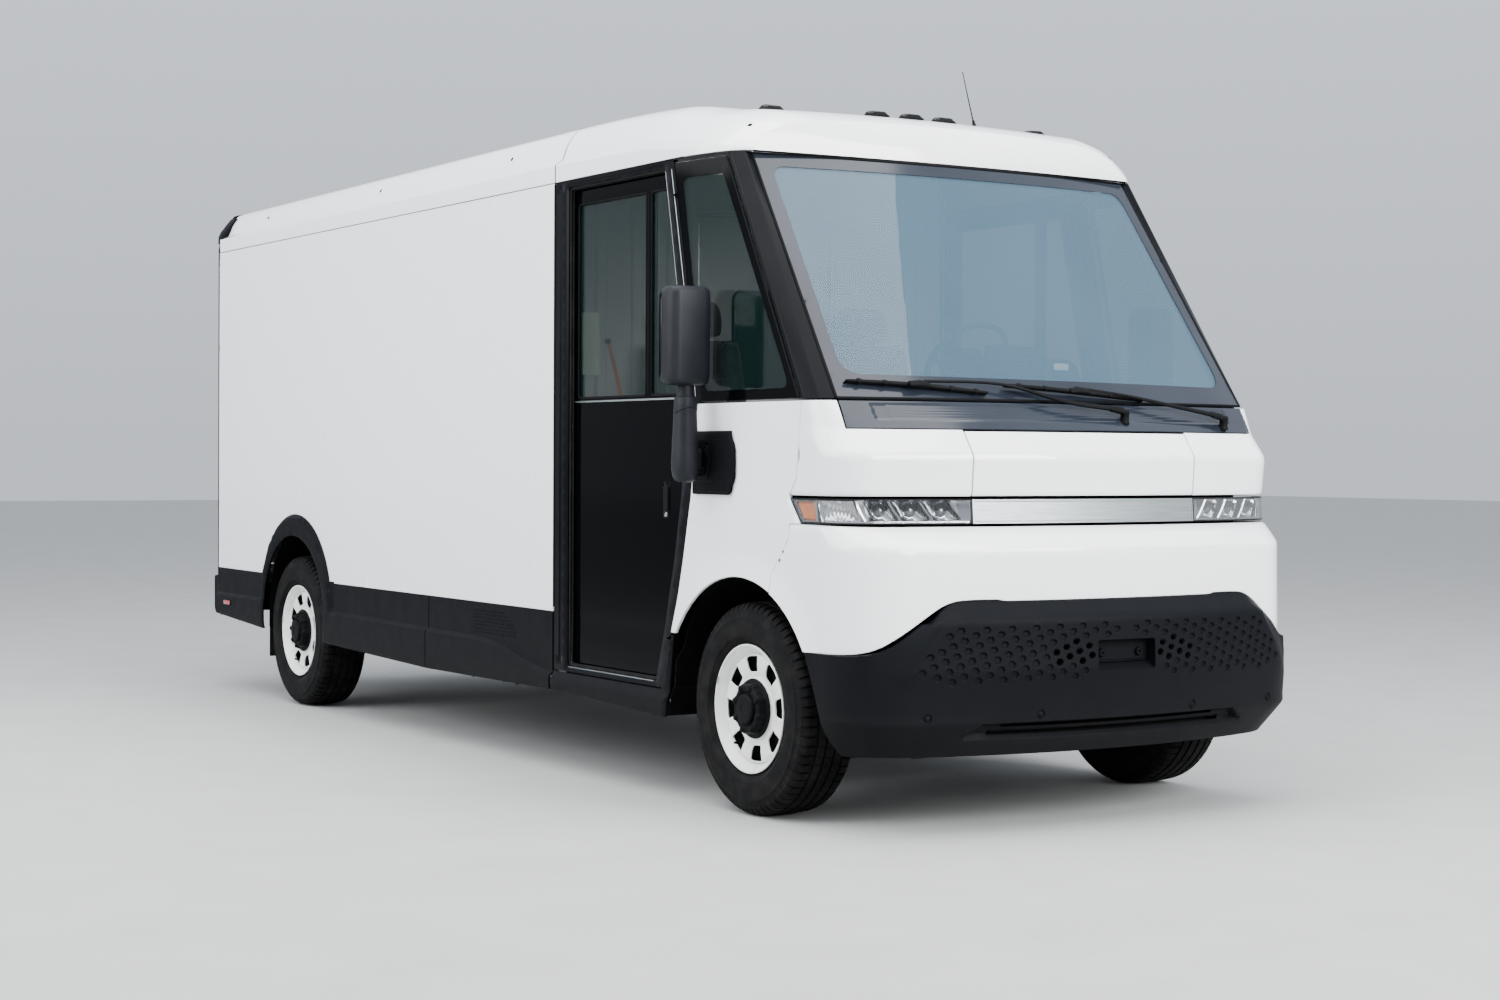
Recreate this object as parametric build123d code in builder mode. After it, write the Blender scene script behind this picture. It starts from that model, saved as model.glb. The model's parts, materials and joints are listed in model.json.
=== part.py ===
from build123d import *
import math
import os

os.makedirs("parts", exist_ok=True)

# Electric delivery van. Millimetres, +Z up, wheels stand on z = 0.
# The nose points towards -Y and the van's left side is +X.
# "f(...)" below turns a distance behind the front axle into a Y position.

# ---------------------------------------------------------------- dimensions
FRONT_AXLE_Y = -2495.0
WHEELBASE = 4645.0
REAR_AXLE_Y = FRONT_AXLE_Y + WHEELBASE
HALF_W = 1060.0            # flat body side
SKIN = 30.0                # wall thickness of the body sides
DOOR_IN, DOOR_OUT = 992.0, 1022.0   # sliding leaf runs inside the wall
FLOOR_Z = 720.0            # top of the cab and load floors
FLOOR_T = 18.0
WAIST_Z = 2544.0           # top of the flat sides
TYRE_R, TYRE_W = 407.0, 262.0
WHEEL_X = 914.0            # middle of the tyre from the centre line
AXLE_Z = TYRE_R
RIM_FLANGE_R = 246.0
KINGPIN_X = 800.0
DOOR_REAR, BULKHEAD_Y = 1437.0, 1505.0
BODY_REAR = 5832.0         # behind the front axle
BOTH = (1, -1)             # left side, right side


def f(y):
    return FRONT_AXLE_Y + y


def side_pts(pts):
    """(distance behind the front axle, z) pairs -> (Y, z) pairs"""
    return [(f(y), z) for y, z in pts]


def side_plane(x):
    """sketch plane seen from the side: u = Y, v = Z, extrudes towards +X"""
    return Plane.YZ.offset(x)


def cross_plane(y):
    """sketch plane across the van: u = X, v = Z, extrudes towards the nose"""
    return Plane.XZ.offset(-y)


def nose_section(row, inset=0.0, rear=300.0):
    """plan outline of the nose at one height, moved inwards by inset"""
    z, yc, xk, yk, hw = row
    phi = 2 * math.atan((yk - yc) / xk)          # slope where the front arc ends
    x_end, y_end = xk - inset * math.sin(phi), yk + inset * math.cos(phi)
    half_w, y_mid = hw - inset, yc + inset
    turn = math.pi / 2 - phi
    y_side = y_end + (half_w - x_end) / math.tan(turn / 2)
    with BuildSketch(Plane.XY.offset(z)) as section:
        with BuildLine():
            Polyline((-half_w, f(y_side)), (-half_w, f(rear)), (half_w, f(rear)), (half_w, f(y_side)))
            TangentArc((half_w, f(y_side)), (x_end, f(y_end)), tangent=(0, -1))
            ThreePointArc((x_end, f(y_end)), (0, f(y_mid)), (-x_end, f(y_end)))
            TangentArc((-half_w, f(y_side)), (-x_end, f(y_end)), tangent=(0, -1))
        make_face()
    return section.sketch


# Plan sections: height, front at centre line, end of front arc (x, y), half width
UPPER_NOSE = [
    (1110, -778, 908, -688, 1060),
    (1219, -768, 910, -680, 1060),
    (1372, -778, 918, -690, 1060),
    (1465, -722, 935, -604, 1060),
    (1574, -622, 985, -520, 1060),
]
LOWER_NOSE = [
    (630, -916, 860, -815, 1062),
    (1040, -908, 860, -808, 1062),
    (1119, -778, 908, -688, 1060),
]
BUMPER_NOSE = [
    (290, -892, 790, -778, 1046),
    (405, -944, 835, -856, 1070),
    (600, -985, 840, -876, 1072),
    (785, -976, 838, -868, 1070),
    (858, -906, 838, -812, 1060),
]


def nose_faces(table, inset=0.0):
    return [nose_section(row, inset) for row in table]


# Wheel arches seen from the side (distances behind the front axle)
FRONT_ARCH = dict(y=20.0, z=351.0, r=557.0)
REAR_ARCH = dict(y=4628.0, z=475.0, r=450.0)
REAR_FLARE = dict(y=4610.0, z=520.0, r=523.0)

# ------------------------------------------------------------------- chassis
RAIL_X, RAIL_W, RAIL_Z0, RAIL_Z1 = 380.0, 70.0, 600.0, 698.0

with BuildPart() as frame_rails:
    with BuildSketch(Plane.XY.offset(RAIL_Z0)):
        for side in BOTH:
            with Locations((side * (RAIL_X + RAIL_W / 2), f(2555))):
                Rectangle(RAIL_W, 6390)
    extrude(amount=RAIL_Z1 - RAIL_Z0)
    with BuildSketch(Plane.XY.offset(RAIL_Z0 + 8)):
        for side in BOTH:
            with Locations((side * (RAIL_X + (RAIL_W - 8) / 2), f(2555))):
                Rectangle(RAIL_W - 8, 6388)
    extrude(amount=RAIL_Z1 - RAIL_Z0 - 16, mode=Mode.SUBTRACT)
frame_rails.part.label = "frame_rails"
export_step(frame_rails.part, "parts/frame_rails.step")

# cross members: distance behind the front axle, width along the van
CROSS_MEMBERS = [(-560, 60), (640, 70), (1540, 70), (2700, 70), (3900, 70), (5100, 70), (5690, 80)]
# outriggers that carry the load floor behind the door pocket
OUTRIGGERS = [(2700, 60), (3900, 60), (5690, 60)]
with BuildPart() as cross_members:
    for y, width in CROSS_MEMBERS:
        with Locations((0, f(y), (RAIL_Z0 + RAIL_Z1) / 2)):
            Box(2 * RAIL_X, width, RAIL_Z1 - RAIL_Z0 - 12)
    for y, width in OUTRIGGERS:
        for side in BOTH:
            with Locations((side * (RAIL_X + RAIL_W + 1028) / 2, f(y), 655)):
                Box(1028 - RAIL_X - RAIL_W, width, 86)
cross_members.part.label = "cross_members"
export_step(cross_members.part, "parts/cross_members.step")

with BuildPart() as battery_pack:
    with BuildSketch(Plane.XY.offset(340)):
        with Locations((0, f(2240))):
            RectangleRounded(1440, 2780, 60)
    extrude(amount=250)
battery_pack.part.label = "battery_pack"
export_step(battery_pack.part, "parts/battery_pack.step")

# rear axle: tube, spring seats and hub carriers
with BuildPart() as rear_axle:
    with BuildSketch(side_plane(-790)):
        with Locations((REAR_AXLE_Y, AXLE_Z)):
            Circle(52)
    extrude(amount=1580)
    for side in BOTH:
        with BuildSketch(side_plane(side * 790 if side > 0 else -812)):
            with Locations((REAR_AXLE_Y, AXLE_Z)):
                Circle(130)
        extrude(amount=22)
        with BuildSketch(side_plane(812 if side > 0 else -930)):
            with Locations((REAR_AXLE_Y, AXLE_Z)):
                Circle(34)
        extrude(amount=118)
        with Locations((side * 560, REAR_AXLE_Y, AXLE_Z + 60)):
            Box(80, 150, 34)
rear_axle.part.label = "rear_axle"
export_step(rear_axle.part, "parts/rear_axle.step")

with BuildPart() as drive_unit:
    with BuildSketch(Plane.XY.offset(300)):
        with Locations((0, REAR_AXLE_Y - 120)):
            RectangleRounded(420, 380, 50)
    extrude(amount=270)
    with BuildSketch(side_plane(-300)):
        with Locations((REAR_AXLE_Y, AXLE_Z)):
            Circle(53)
    extrude(amount=600, mode=Mode.SUBTRACT)
drive_unit.part.label = "drive_unit"
export_step(drive_unit.part, "parts/drive_unit.step")

# leaf springs: arc packs from a front eye to a rear shackle, on the axle seats
SPRING_Z = AXLE_Z + 77
with BuildPart() as leaf_springs:
    for side in BOTH:
        with BuildSketch(side_plane(side * 560 - 32)):
            with BuildLine():
                Polyline((REAR_AXLE_Y - 80, SPRING_Z + 34), (REAR_AXLE_Y - 80, SPRING_Z),
                         (REAR_AXLE_Y + 80, SPRING_Z), (REAR_AXLE_Y + 80, SPRING_Z + 34))
                Polyline((REAR_AXLE_Y + 80, SPRING_Z + 34), (REAR_AXLE_Y + 640, 590), (REAR_AXLE_Y + 640, 610),
                         (REAR_AXLE_Y, SPRING_Z + 56), (REAR_AXLE_Y - 640, 610), (REAR_AXLE_Y - 640, 590),
                         (REAR_AXLE_Y - 80, SPRING_Z + 34))
            make_face()
        extrude(amount=64)
        for end in BOTH:
            with BuildSketch(side_plane(side * 560 - 32)):
                with Locations((REAR_AXLE_Y + end * 640, 600)):
                    Circle(34)
            extrude(amount=64)
            with Locations((side * 525, REAR_AXLE_Y + end * 640, 640)):
                Box(134, 40, 20)
leaf_springs.part.label = "leaf_springs"
export_step(leaf_springs.part, "parts/leaf_springs.step")

# front suspension: cross beam, lower and upper arms that reach the kingpin
BALL_LOW_Z, BALL_HIGH_Z = 236.0, 560.0
with BuildPart() as front_suspension:
    with Locations((0, f(0), 300)):
        Box(700, 360, 70)
    for side in BOTH:
        with Locations((side * 330, f(0), 462)):
            Box(60, 300, 256)
        for z, t, y_half in ((BALL_LOW_Z - 36, 26, 150), (BALL_HIGH_Z + 14, 24, 110)):
            with BuildSketch(Plane.XY.offset(z)):
                with BuildLine():
                    Polyline((side * 320, f(-y_half)), (side * 760, f(-26)), (side * 812, f(-26)),
                             (side * 812, f(26)), (side * 760, f(26)), (side * 320, f(y_half)), close=True)
                make_face()
            extrude(amount=t)
        with Locations((side * 330, f(0), 240)):
            Box(60, 300, 100)
        with Locations((side * 330, f(0), 600)):
            Box(60, 220, 56)
front_suspension.part.label = "front_suspension"
export_step(front_suspension.part, "parts/front_suspension.step")

# steering knuckles: upright on the kingpin, spindle for the wheel, brake plate
for side, name in ((1, "knuckle_left"), (-1, "knuckle_right")):
    with BuildPart() as knuckle:
        with BuildSketch(Plane.XY.offset(BALL_LOW_Z - 5)):
            with Locations((side * KINGPIN_X, f(0))):
                Circle(22)
        extrude(amount=BALL_HIGH_Z - BALL_LOW_Z + 14)
        with BuildSketch(side_plane(KINGPIN_X - 30 if side > 0 else -930)):
            with Locations((f(0), AXLE_Z)):
                Circle(34)
        extrude(amount=960 - KINGPIN_X)
        with BuildSketch(side_plane(814 if side > 0 else -832)):
            with Locations((f(0), AXLE_Z)):
                Circle(150)
        extrude(amount=18)
        with Locations((side * KINGPIN_X, f(90), AXLE_Z - 40)):
            Box(34, 160, 30)
    knuckle.part.label = name
    export_step(knuckle.part, f"parts/{name}.step")

# -------------------------------------------------------------------- wheels
# section of the rim, outboard side positive: (offset from the tyre's middle, radius)
RIM_SECTION = [
    (116, 246), (116, 234), (104, 226), (92, 216), (84, 96), (92, 60), (80, 60), (70, 100),
    (74, 206), (20, 196), (-100, 218), (-116, 232), (-116, 246), (-110, 246), (-106, 234),
    (-96, 227), (-40, 227), (-10, 208), (60, 208), (84, 227), (104, 236), (110, 246),
]
TYRE_SECTION = [
    (-104, 240), (-106, 250), (-124, 268), (-131, 318), (-124, 368), (-104, 398), (-80, 405), (0, 407),
    (80, 405), (104, 398), (124, 368), (131, 318), (124, 268), (106, 250), (104, 240), (84, 228.5), (-94, 228.5),
]
HUB_R, HUB_BORE_R = 74.0, 34.06
WHEELS = [("front_left", 1, 0.0), ("front_right", -1, 0.0), ("rear_left", 1, WHEELBASE), ("rear_right", -1, WHEELBASE)]
for corner, side, y_back in WHEELS:
    hub_plane = Plane(origin=(side * WHEEL_X, f(y_back), AXLE_Z), x_dir=(side, 0, 0), z_dir=(0, -side, 0))
    face_plane = Plane(origin=(side * (WHEEL_X + 60), f(y_back), AXLE_Z), x_dir=(0, side, 0), z_dir=(side, 0, 0))
    axis = Axis((side * WHEEL_X, f(y_back), AXLE_Z), (1, 0, 0))
    with BuildPart() as rim:
        with BuildSketch(hub_plane):
            Polygon(*RIM_SECTION, align=None)
        revolve(axis=axis, revolution_arc=360)
        with BuildSketch(face_plane):
            with PolarLocations(158, 8, start_angle=22.5):
                SlotCenterToCenter(46, 52, rotation=90)
        extrude(amount=40, mode=Mode.SUBTRACT)
        with BuildSketch(hub_plane):
            Polygon((-66, HUB_BORE_R), (-66, 64), (70, 64), (70, HUB_R), (84, HUB_R), (84, 98), (104, 98), (112, 76), (138, 66), (138, 0), (26, 0),
                    (26, HUB_BORE_R), align=None)
        revolve(axis=axis, revolution_arc=360)
    rim.part.label = f"wheel_{corner}"
    export_step(rim.part, f"parts/wheel_{corner}.step")
    with BuildPart() as tyre:
        with BuildSketch(hub_plane):
            Polygon(*TYRE_SECTION, align=None)
        revolve(axis=axis, revolution_arc=360)
    tyre.part.label = f"tyre_{corner}"
    export_step(tyre.part, f"parts/tyre_{corner}.step")

# ---------------------------------------------------------------- cab floor
WELL_X, WELL_TOP = 566.0, 940.0       # front wheel house
STEP_X, STEP_Z = 770.0, 420.0         # entry step inside each door
with BuildPart() as cab_floor:
    with BuildSketch(Plane.XY.offset(FLOOR_Z - FLOOR_T)):
        with BuildLine():
            Polyline((-STEP_X, f(BULKHEAD_Y - 5)), (STEP_X, f(BULKHEAD_Y - 5)), (STEP_X, f(560)), (WELL_X, f(560)),
                     (WELL_X, f(-480)), (-WELL_X, f(-480)), (-WELL_X, f(560)), (-STEP_X, f(560)), close=True)
        make_face()
    extrude(amount=FLOOR_T)
    for side in BOTH:
        # (x from, x to, y from, y to, z from, z to)
        for x0, x1, y0, y1, z0, z1 in (
            (WELL_X, WELL_X + 14, -480, 560, FLOOR_Z - FLOOR_T, WELL_TOP),
            (WELL_X, DOOR_IN - 8, -480, 560, WELL_TOP, WELL_TOP + 14),
            (WELL_X, DOOR_IN - 8, 546, 560, STEP_Z + 14, WELL_TOP),
            (STEP_X - 14, STEP_X, 560, BULKHEAD_Y - 5, STEP_Z, FLOOR_Z),
            (STEP_X - 14, 1026, 546, BULKHEAD_Y - 5, STEP_Z, STEP_Z + 14),
        ):
            with Locations((side * (x0 + x1) / 2, f((y0 + y1) / 2), (z0 + z1) / 2)):
                Box(x1 - x0, y1 - y0, z1 - z0)
    # firewall under the windshield
    with Locations((0, f(-487), 1150)):
        Box(1960, 14, 896)
cab_floor.part.label = "cab_floor"
export_step(cab_floor.part, "parts/cab_floor.step")

# --------------------------------------------------------------- load floor
BAY_X = 980.0                          # load floor stops short of the door pocket
REAR_WELL_X, REAR_WELL_TOP, REAR_WELL_HALF = 715.0, 945.0, 500.0
with BuildPart() as cargo_floor:
    with Locations((0, f((1560 + 5770) / 2), FLOOR_Z - FLOOR_T / 2)):
        Box(2 * BAY_X, 5770 - 1560, FLOOR_T)
    for side in BOTH:
        with Locations((side * (REAR_WELL_X + 1080) / 2, REAR_AXLE_Y, FLOOR_Z)):
            Box(1080 - REAR_WELL_X, 2 * REAR_WELL_HALF, 100, mode=Mode.SUBTRACT)
        for x0, x1, y0, y1, z0, z1 in (
            (REAR_WELL_X, REAR_WELL_X + 14, -500, 500, FLOOR_Z - FLOOR_T, REAR_WELL_TOP),
            (REAR_WELL_X, BAY_X, -514, 514, REAR_WELL_TOP, REAR_WELL_TOP + 14),
            (REAR_WELL_X, BAY_X, -514, -500, FLOOR_Z - FLOOR_T, REAR_WELL_TOP),
            (REAR_WELL_X, BAY_X, 500, 514, FLOOR_Z - FLOOR_T, REAR_WELL_TOP),
        ):
            with Locations((side * (x0 + x1) / 2, REAR_AXLE_Y + (y0 + y1) / 2, (z0 + z1) / 2)):
                Box(x1 - x0, y1 - y0, z1 - z0)
cargo_floor.part.label = "cargo_floor"
export_step(cargo_floor.part, "parts/cargo_floor.step")

# -------------------------------------------------------------- cargo sides
RIBS = [2400, 3150, 3900, 5300]        # posts inside the wall, behind the door pocket
WALL_SIDE = [(1560, 690), (5845, 704), (BODY_REAR, WAIST_Z), (1560, WAIST_Z)]
with BuildPart() as cargo_walls:
    for side in BOTH:
        with BuildSketch(side_plane(HALF_W - SKIN if side > 0 else -HALF_W)):
            Polygon(*side_pts(WALL_SIDE), align=None)
            with Locations((f(REAR_FLARE["y"]), REAR_FLARE["z"])):
                Circle(REAR_FLARE["r"], mode=Mode.SUBTRACT)
        extrude(amount=SKIN)
        for y in RIBS:
            with Locations((side * (BAY_X + 6 + HALF_W - SKIN) / 2, f(y), 1632)):
                Box(HALF_W - SKIN - BAY_X - 6, 50, 1816)
cargo_walls.part.label = "cargo_walls"
export_step(cargo_walls.part, "parts/cargo_walls.step")

# --------------------------------------------------------------------- roofs
# half profile of the roof at one place along the van: (x, z) from the side up
# to the crown, then the inner face back down
ROOF_REAR = [(1058, 2546), (1058, 2622), (1022, 2640), (998, 2704), (950, 2768), (868, 2794)]
ROOF_MID = [(1058, 2546), (1058, 2624), (1022, 2646), (998, 2716), (950, 2783), (868, 2808)]
ROOF_CAB = [(1058, 2546), (1058, 2604), (1046, 2640), (1000, 2704), (940, 2764), (850, 2796)]
ROOF_SHOULDER = [(1057, 2546), (1054, 2576), (1034, 2614), (982, 2672), (918, 2722), (810, 2752)]
ROOF_BROW = [(1036, 2546), (1033, 2570), (1010, 2604), (960, 2655), (888, 2702), (775, 2736)]
ROOF_CORNER = [(1003, 2546), (1000, 2565), (974, 2596), (914, 2642), (846, 2680), (735, 2708)]
ROOF_FRONT = [(940, 2546), (936, 2560), (908, 2586), (856, 2626), (788, 2658), (670, 2682)]


def roof_section(y, half, crown, t=SKIN):
    """closed roof profile t thick, standing across the van"""
    outer_l, outer_r = half, [(-x, z) for x, z in half]
    inner = [(x - t, z) if i == 0 else (x - t, z - t * 0.5) if i < 3 else (x - t * 0.7, z - t * 0.8)
             for i, (x, z) in enumerate(half)]
    inner_r = [(-x, z) for x, z in inner]
    with BuildSketch(cross_plane(f(y))) as section:
        with BuildLine():
            Polyline(*outer_l)
            ThreePointArc(outer_l[-1], (0, crown), outer_r[-1])
            Polyline(*outer_r)
            Line(outer_r[0], inner_r[0])
            Polyline(*inner_r)
            ThreePointArc(inner_r[-1], (0, crown - t), inner[-1])
            Polyline(*inner)
            Line(inner[0], outer_l[0])
        make_face()
    return section.sketch


with BuildPart() as cargo_roof:
    loft([roof_section(1562, ROOF_MID, 2826), roof_section(BODY_REAR, ROOF_REAR, 2812)], ruled=True)
cargo_roof.part.label = "cargo_roof"
export_step(cargo_roof.part, "parts/cargo_roof.step")

# brow between the glass and the crown: z, centre y, corner x, corner y
BROW = [(2546, 82, 934, 132), (2636, 96, 838, 136), (2692, 122, 640, 140)]


def brow_section(z, yc, xk, yk, t=46.0):
    with BuildSketch(Plane.XY.offset(z)) as section:
        with BuildLine():
            ThreePointArc((-xk, f(yk)), (0, f(yc)), (xk, f(yk)))
            Line((xk, f(yk)), (xk, f(yk) + t))
            ThreePointArc((xk, f(yk) + t), (0, f(yc) + t), (-xk, f(yk) + t))
            Line((-xk, f(yk) + t), (-xk, f(yk)))
        make_face()
    return section.sketch


with BuildPart() as cab_roof:
    loft([roof_section(132, ROOF_FRONT, 2700), roof_section(192, ROOF_CORNER, 2724), roof_section(300, ROOF_BROW, 2752),
          roof_section(450, ROOF_SHOULDER, 2768), roof_section(760, ROOF_CAB, 2806), roof_section(1556, ROOF_MID, 2826)],
         ruled=True)
    loft([brow_section(*row) for row in BROW], ruled=True)
cab_roof.part.label = "cab_roof"
export_step(cab_roof.part, "parts/cab_roof.step")

# --------------------------------------------------- windshield and surround
# glass outline at one height: centre y, corner x, corner y
GLASS_LOW, GLASS_HIGH = (1574, -618, 984, -520), (2540, 84, 930, 158)


def glass_section(row, t=6.0, lift=0.0):
    z, yc, xk, yk = row
    with BuildSketch(Plane.XY.offset(z + lift)) as section:
        with BuildLine():
            ThreePointArc((-xk, f(yk)), (0, f(yc)), (xk, f(yk)))
            Line((xk, f(yk)), (xk, f(yk) + t))
            ThreePointArc((xk, f(yk) + t), (0, f(yc) + t), (-xk, f(yk) + t))
            Line((-xk, f(yk) + t), (-xk, f(yk)))
        make_face()
    return section.sketch


with BuildPart() as windshield:
    loft([glass_section(GLASS_LOW, 7), glass_section(GLASS_HIGH, 7)], ruled=True)
windshield.part.label = "windshield"
export_step(windshield.part, "parts/windshield.step")

# A-pillars from the cowl to the roof, with a header beam over the glass
with BuildPart() as windshield_frame:
    for side in BOTH:
        with BuildSketch(Plane.XY.offset(1576)) as pillar_low:
            Polygon((side * 986, f(-520)), (side * 1030, f(-480)), (side * 1060, f(-420)), (side * 1060, f(-395)),
                    (side * 1022, f(-395)), (side * 986, f(-470)), align=None)
        with BuildSketch(Plane.XY.offset(2542)) as pillar_high:
            Polygon((side * 932, f(158)), (side * 966, f(148)), (side * 1000, f(186)), (side * 1004, f(210)),
                    (side * 976, f(222)), (side * 932, f(205)), align=None)
        loft([pillar_low.sketch, pillar_high.sketch], ruled=True)
windshield_frame.part.label = "windshield_frame"
export_step(windshield_frame.part, "parts/windshield_frame.step")

with BuildPart() as cowl_panel:
    loft(nose_faces(UPPER_NOSE[3:]), ruled=True)
    loft(nose_faces(UPPER_NOSE[3:], 22), ruled=True, mode=Mode.SUBTRACT)
    with BuildSketch(cross_plane(f(-300))):
        Polygon((-982, 1470), (982, 1470), (978, 1570), (-978, 1570), align=None)
    extrude(amount=500, mode=Mode.INTERSECT)
cowl_panel.part.label = "cowl_panel"
export_step(cowl_panel.part, "parts/cowl_panel.step")

# quarter glass between the A-pillar and the door frame
# height, front edge (x, y) and rear edge (x, y) of its outer face: it turns in at the top
QUARTER_GLASS = [(1577, 1057, -388, 1057, 312), (2530, 1004, 216, 1056, 528)]
QUARTER_T = 7.0
with BuildPart() as quarter_glass:
    for side in BOTH:
        edges = []
        for z, x_front, y_front, x_rear, y_rear in QUARTER_GLASS:
            with BuildSketch(Plane.XY.offset(z)) as edge:
                Polygon((side * x_front, f(y_front)), (side * x_rear, f(y_rear)), (side * (x_rear - QUARTER_T), f(y_rear)),
                        (side * (x_front - QUARTER_T), f(y_front)), align=None)
            edges.append(edge.sketch)
        loft(edges, ruled=True)
quarter_glass.part.label = "quarter_glass"
export_step(quarter_glass.part, "parts/quarter_glass.step")

# ---------------------------------------------------------------- nose skin
NOSE_T = 20.0
SEAM_X = 536.0                         # hood edge
with BuildPart() as front_corners:
    loft(nose_faces(UPPER_NOSE[1:]), ruled=True)
    loft(nose_faces(UPPER_NOSE[1:], NOSE_T), ruled=True, mode=Mode.SUBTRACT)
    with BuildSketch(side_plane(-1100)):
        Polygon(*side_pts([(-900, 1222), (-330, 1222), (-378, 1290), (-408, 1574), (-900, 1574)]), align=None)
    extrude(amount=2200, mode=Mode.INTERSECT)
    with BuildSketch(cross_plane(f(-400))):
        Rectangle(2 * SEAM_X + 4, 4000)
        Polygon((-985, 1466), (985, 1466), (982, 1600), (-982, 1600), align=None)
    extrude(amount=700, mode=Mode.SUBTRACT)
front_corners.part.label = "front_corners"
export_step(front_corners.part, "parts/front_corners.step")

HOOD_T = 15.0
with BuildPart() as hood:
    loft(nose_faces(UPPER_NOSE[1:4]), ruled=True)
    loft(nose_faces(UPPER_NOSE[1:4], HOOD_T), ruled=True, mode=Mode.SUBTRACT)
    with BuildSketch(cross_plane(f(-560))):
        with Locations((0, (1223 + 1462) / 2)):
            Rectangle(2 * (SEAM_X - 4), 1462 - 1223)
    extrude(amount=400, mode=Mode.INTERSECT)
hood.part.label = "hood"
export_step(hood.part, "parts/hood.step")

LAMP_LOW, LAMP_HIGH = 1124.0, 1214.0
# lamp tip on the body side, seen from the side
LAMP_TIP = [(-900, LAMP_LOW), (-404, LAMP_LOW), (-330, LAMP_HIGH), (-900, LAMP_HIGH)]
with BuildPart() as light_bar:
    loft(nose_faces(UPPER_NOSE[:2]), ruled=True)
    loft(nose_faces(UPPER_NOSE[:2], 40), ruled=True, mode=Mode.SUBTRACT)
    with BuildSketch(cross_plane(f(-560))):
        with Locations((0, (LAMP_LOW + LAMP_HIGH) / 2)):
            Rectangle(2 * SEAM_X - 4, LAMP_HIGH - LAMP_LOW)
    extrude(amount=400, mode=Mode.INTERSECT)
light_bar.part.label = "light_bar"
export_step(light_bar.part, "parts/light_bar.step")

for name, outer_in, inner_in in (("headlamp_lenses", 0, 6), ("headlamp_housings", 46, 70)):
    with BuildPart() as lamp:
        loft(nose_faces(UPPER_NOSE[:2], outer_in), ruled=True)
        loft(nose_faces(UPPER_NOSE[:2], inner_in), ruled=True, mode=Mode.SUBTRACT)
        with BuildSketch(side_plane(-1100)):
            Polygon(*side_pts(LAMP_TIP), align=None)
        extrude(amount=2200, mode=Mode.INTERSECT)
        with BuildSketch(cross_plane(f(-300))):
            Rectangle(2 * SEAM_X + 4, 4000)
        extrude(amount=700, mode=Mode.SUBTRACT)
    lamp.part.label = name
    export_step(lamp.part, f"parts/{name}.step")

# top edge of the bumper across the front: (x, z)
BUMPER_TOP = [(-1120, 648), (-990, 664), (-720, 846), (-640, 853), (640, 853), (720, 846), (990, 664), (1120, 648)]
with BuildPart() as front_panel:
    loft(nose_faces(LOWER_NOSE), ruled=True)
    loft(nose_faces(LOWER_NOSE, NOSE_T), ruled=True, mode=Mode.SUBTRACT)
    with BuildSketch(side_plane(-1100)):
        Polygon(*side_pts([(-1000, 640), (-210, 640), (-215, 930), (-330, 1074), (-330, 1120), (-1000, 1120)]), align=None)
        with Locations((f(FRONT_ARCH["y"]), FRONT_ARCH["z"])):
            Circle(FRONT_ARCH["r"], mode=Mode.SUBTRACT)
    extrude(amount=2200, mode=Mode.INTERSECT)
    with BuildSketch(cross_plane(f(-100))):
        Polygon(*[(x, z + 3) for x, z in BUMPER_TOP], (1120, 200), (-1120, 200), align=None)
    extrude(amount=1000, mode=Mode.SUBTRACT)
front_panel.part.label = "front_panel"
export_step(front_panel.part, "parts/front_panel.step")

# plate pocket, plate screws and lower intake in the bumper
PLATE_Z, PLATE_W, PLATE_H, PLATE_SCREW = 645.0, 272.0, 112.0, 177.8
with BuildPart() as front_bumper:
    loft(nose_faces(BUMPER_NOSE), ruled=True)
    loft(nose_faces(BUMPER_NOSE, 28), ruled=True, mode=Mode.SUBTRACT)
    with BuildSketch(side_plane(-1100)):
        Polygon(*side_pts([(-1000, 290), (-600, 290), (-560, 405), (-448, 655), (-448, 880), (-1000, 880)]), align=None)
        with Locations((f(FRONT_ARCH["y"]), FRONT_ARCH["z"])):
            Circle(FRONT_ARCH["r"], mode=Mode.SUBTRACT)
    extrude(amount=2200, mode=Mode.INTERSECT)
    with BuildSketch(cross_plane(f(-100))):
        Polygon(*BUMPER_TOP, (1120, 200), (-1120, 200), align=None)
    extrude(amount=1000, mode=Mode.INTERSECT)
    with BuildSketch(cross_plane(f(-900))):
        with Locations((0, PLATE_Z)):
            Rectangle(PLATE_W, PLATE_H)
        with Locations((0, 385)):
            Rectangle(1080, 26)
    extrude(amount=200, mode=Mode.SUBTRACT)
    with BuildSketch(cross_plane(f(-916))):
        with Locations((0, PLATE_Z)):
            Rectangle(PLATE_W + 20, PLATE_H + 20)
    extrude(amount=40)
    with BuildSketch(cross_plane(f(-924))):
        with Locations((0, PLATE_Z)):
            Rectangle(PLATE_W, PLATE_H)
    extrude(amount=100, mode=Mode.SUBTRACT)
    with BuildSketch(cross_plane(f(-900))):
        with Locations((-PLATE_SCREW / 2, PLATE_Z), (PLATE_SCREW / 2, PLATE_Z)):
            Circle(3.5)
    extrude(amount=60, mode=Mode.SUBTRACT)
front_bumper.part.label = "front_bumper"
export_step(front_bumper.part, "parts/front_bumper.step")

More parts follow.
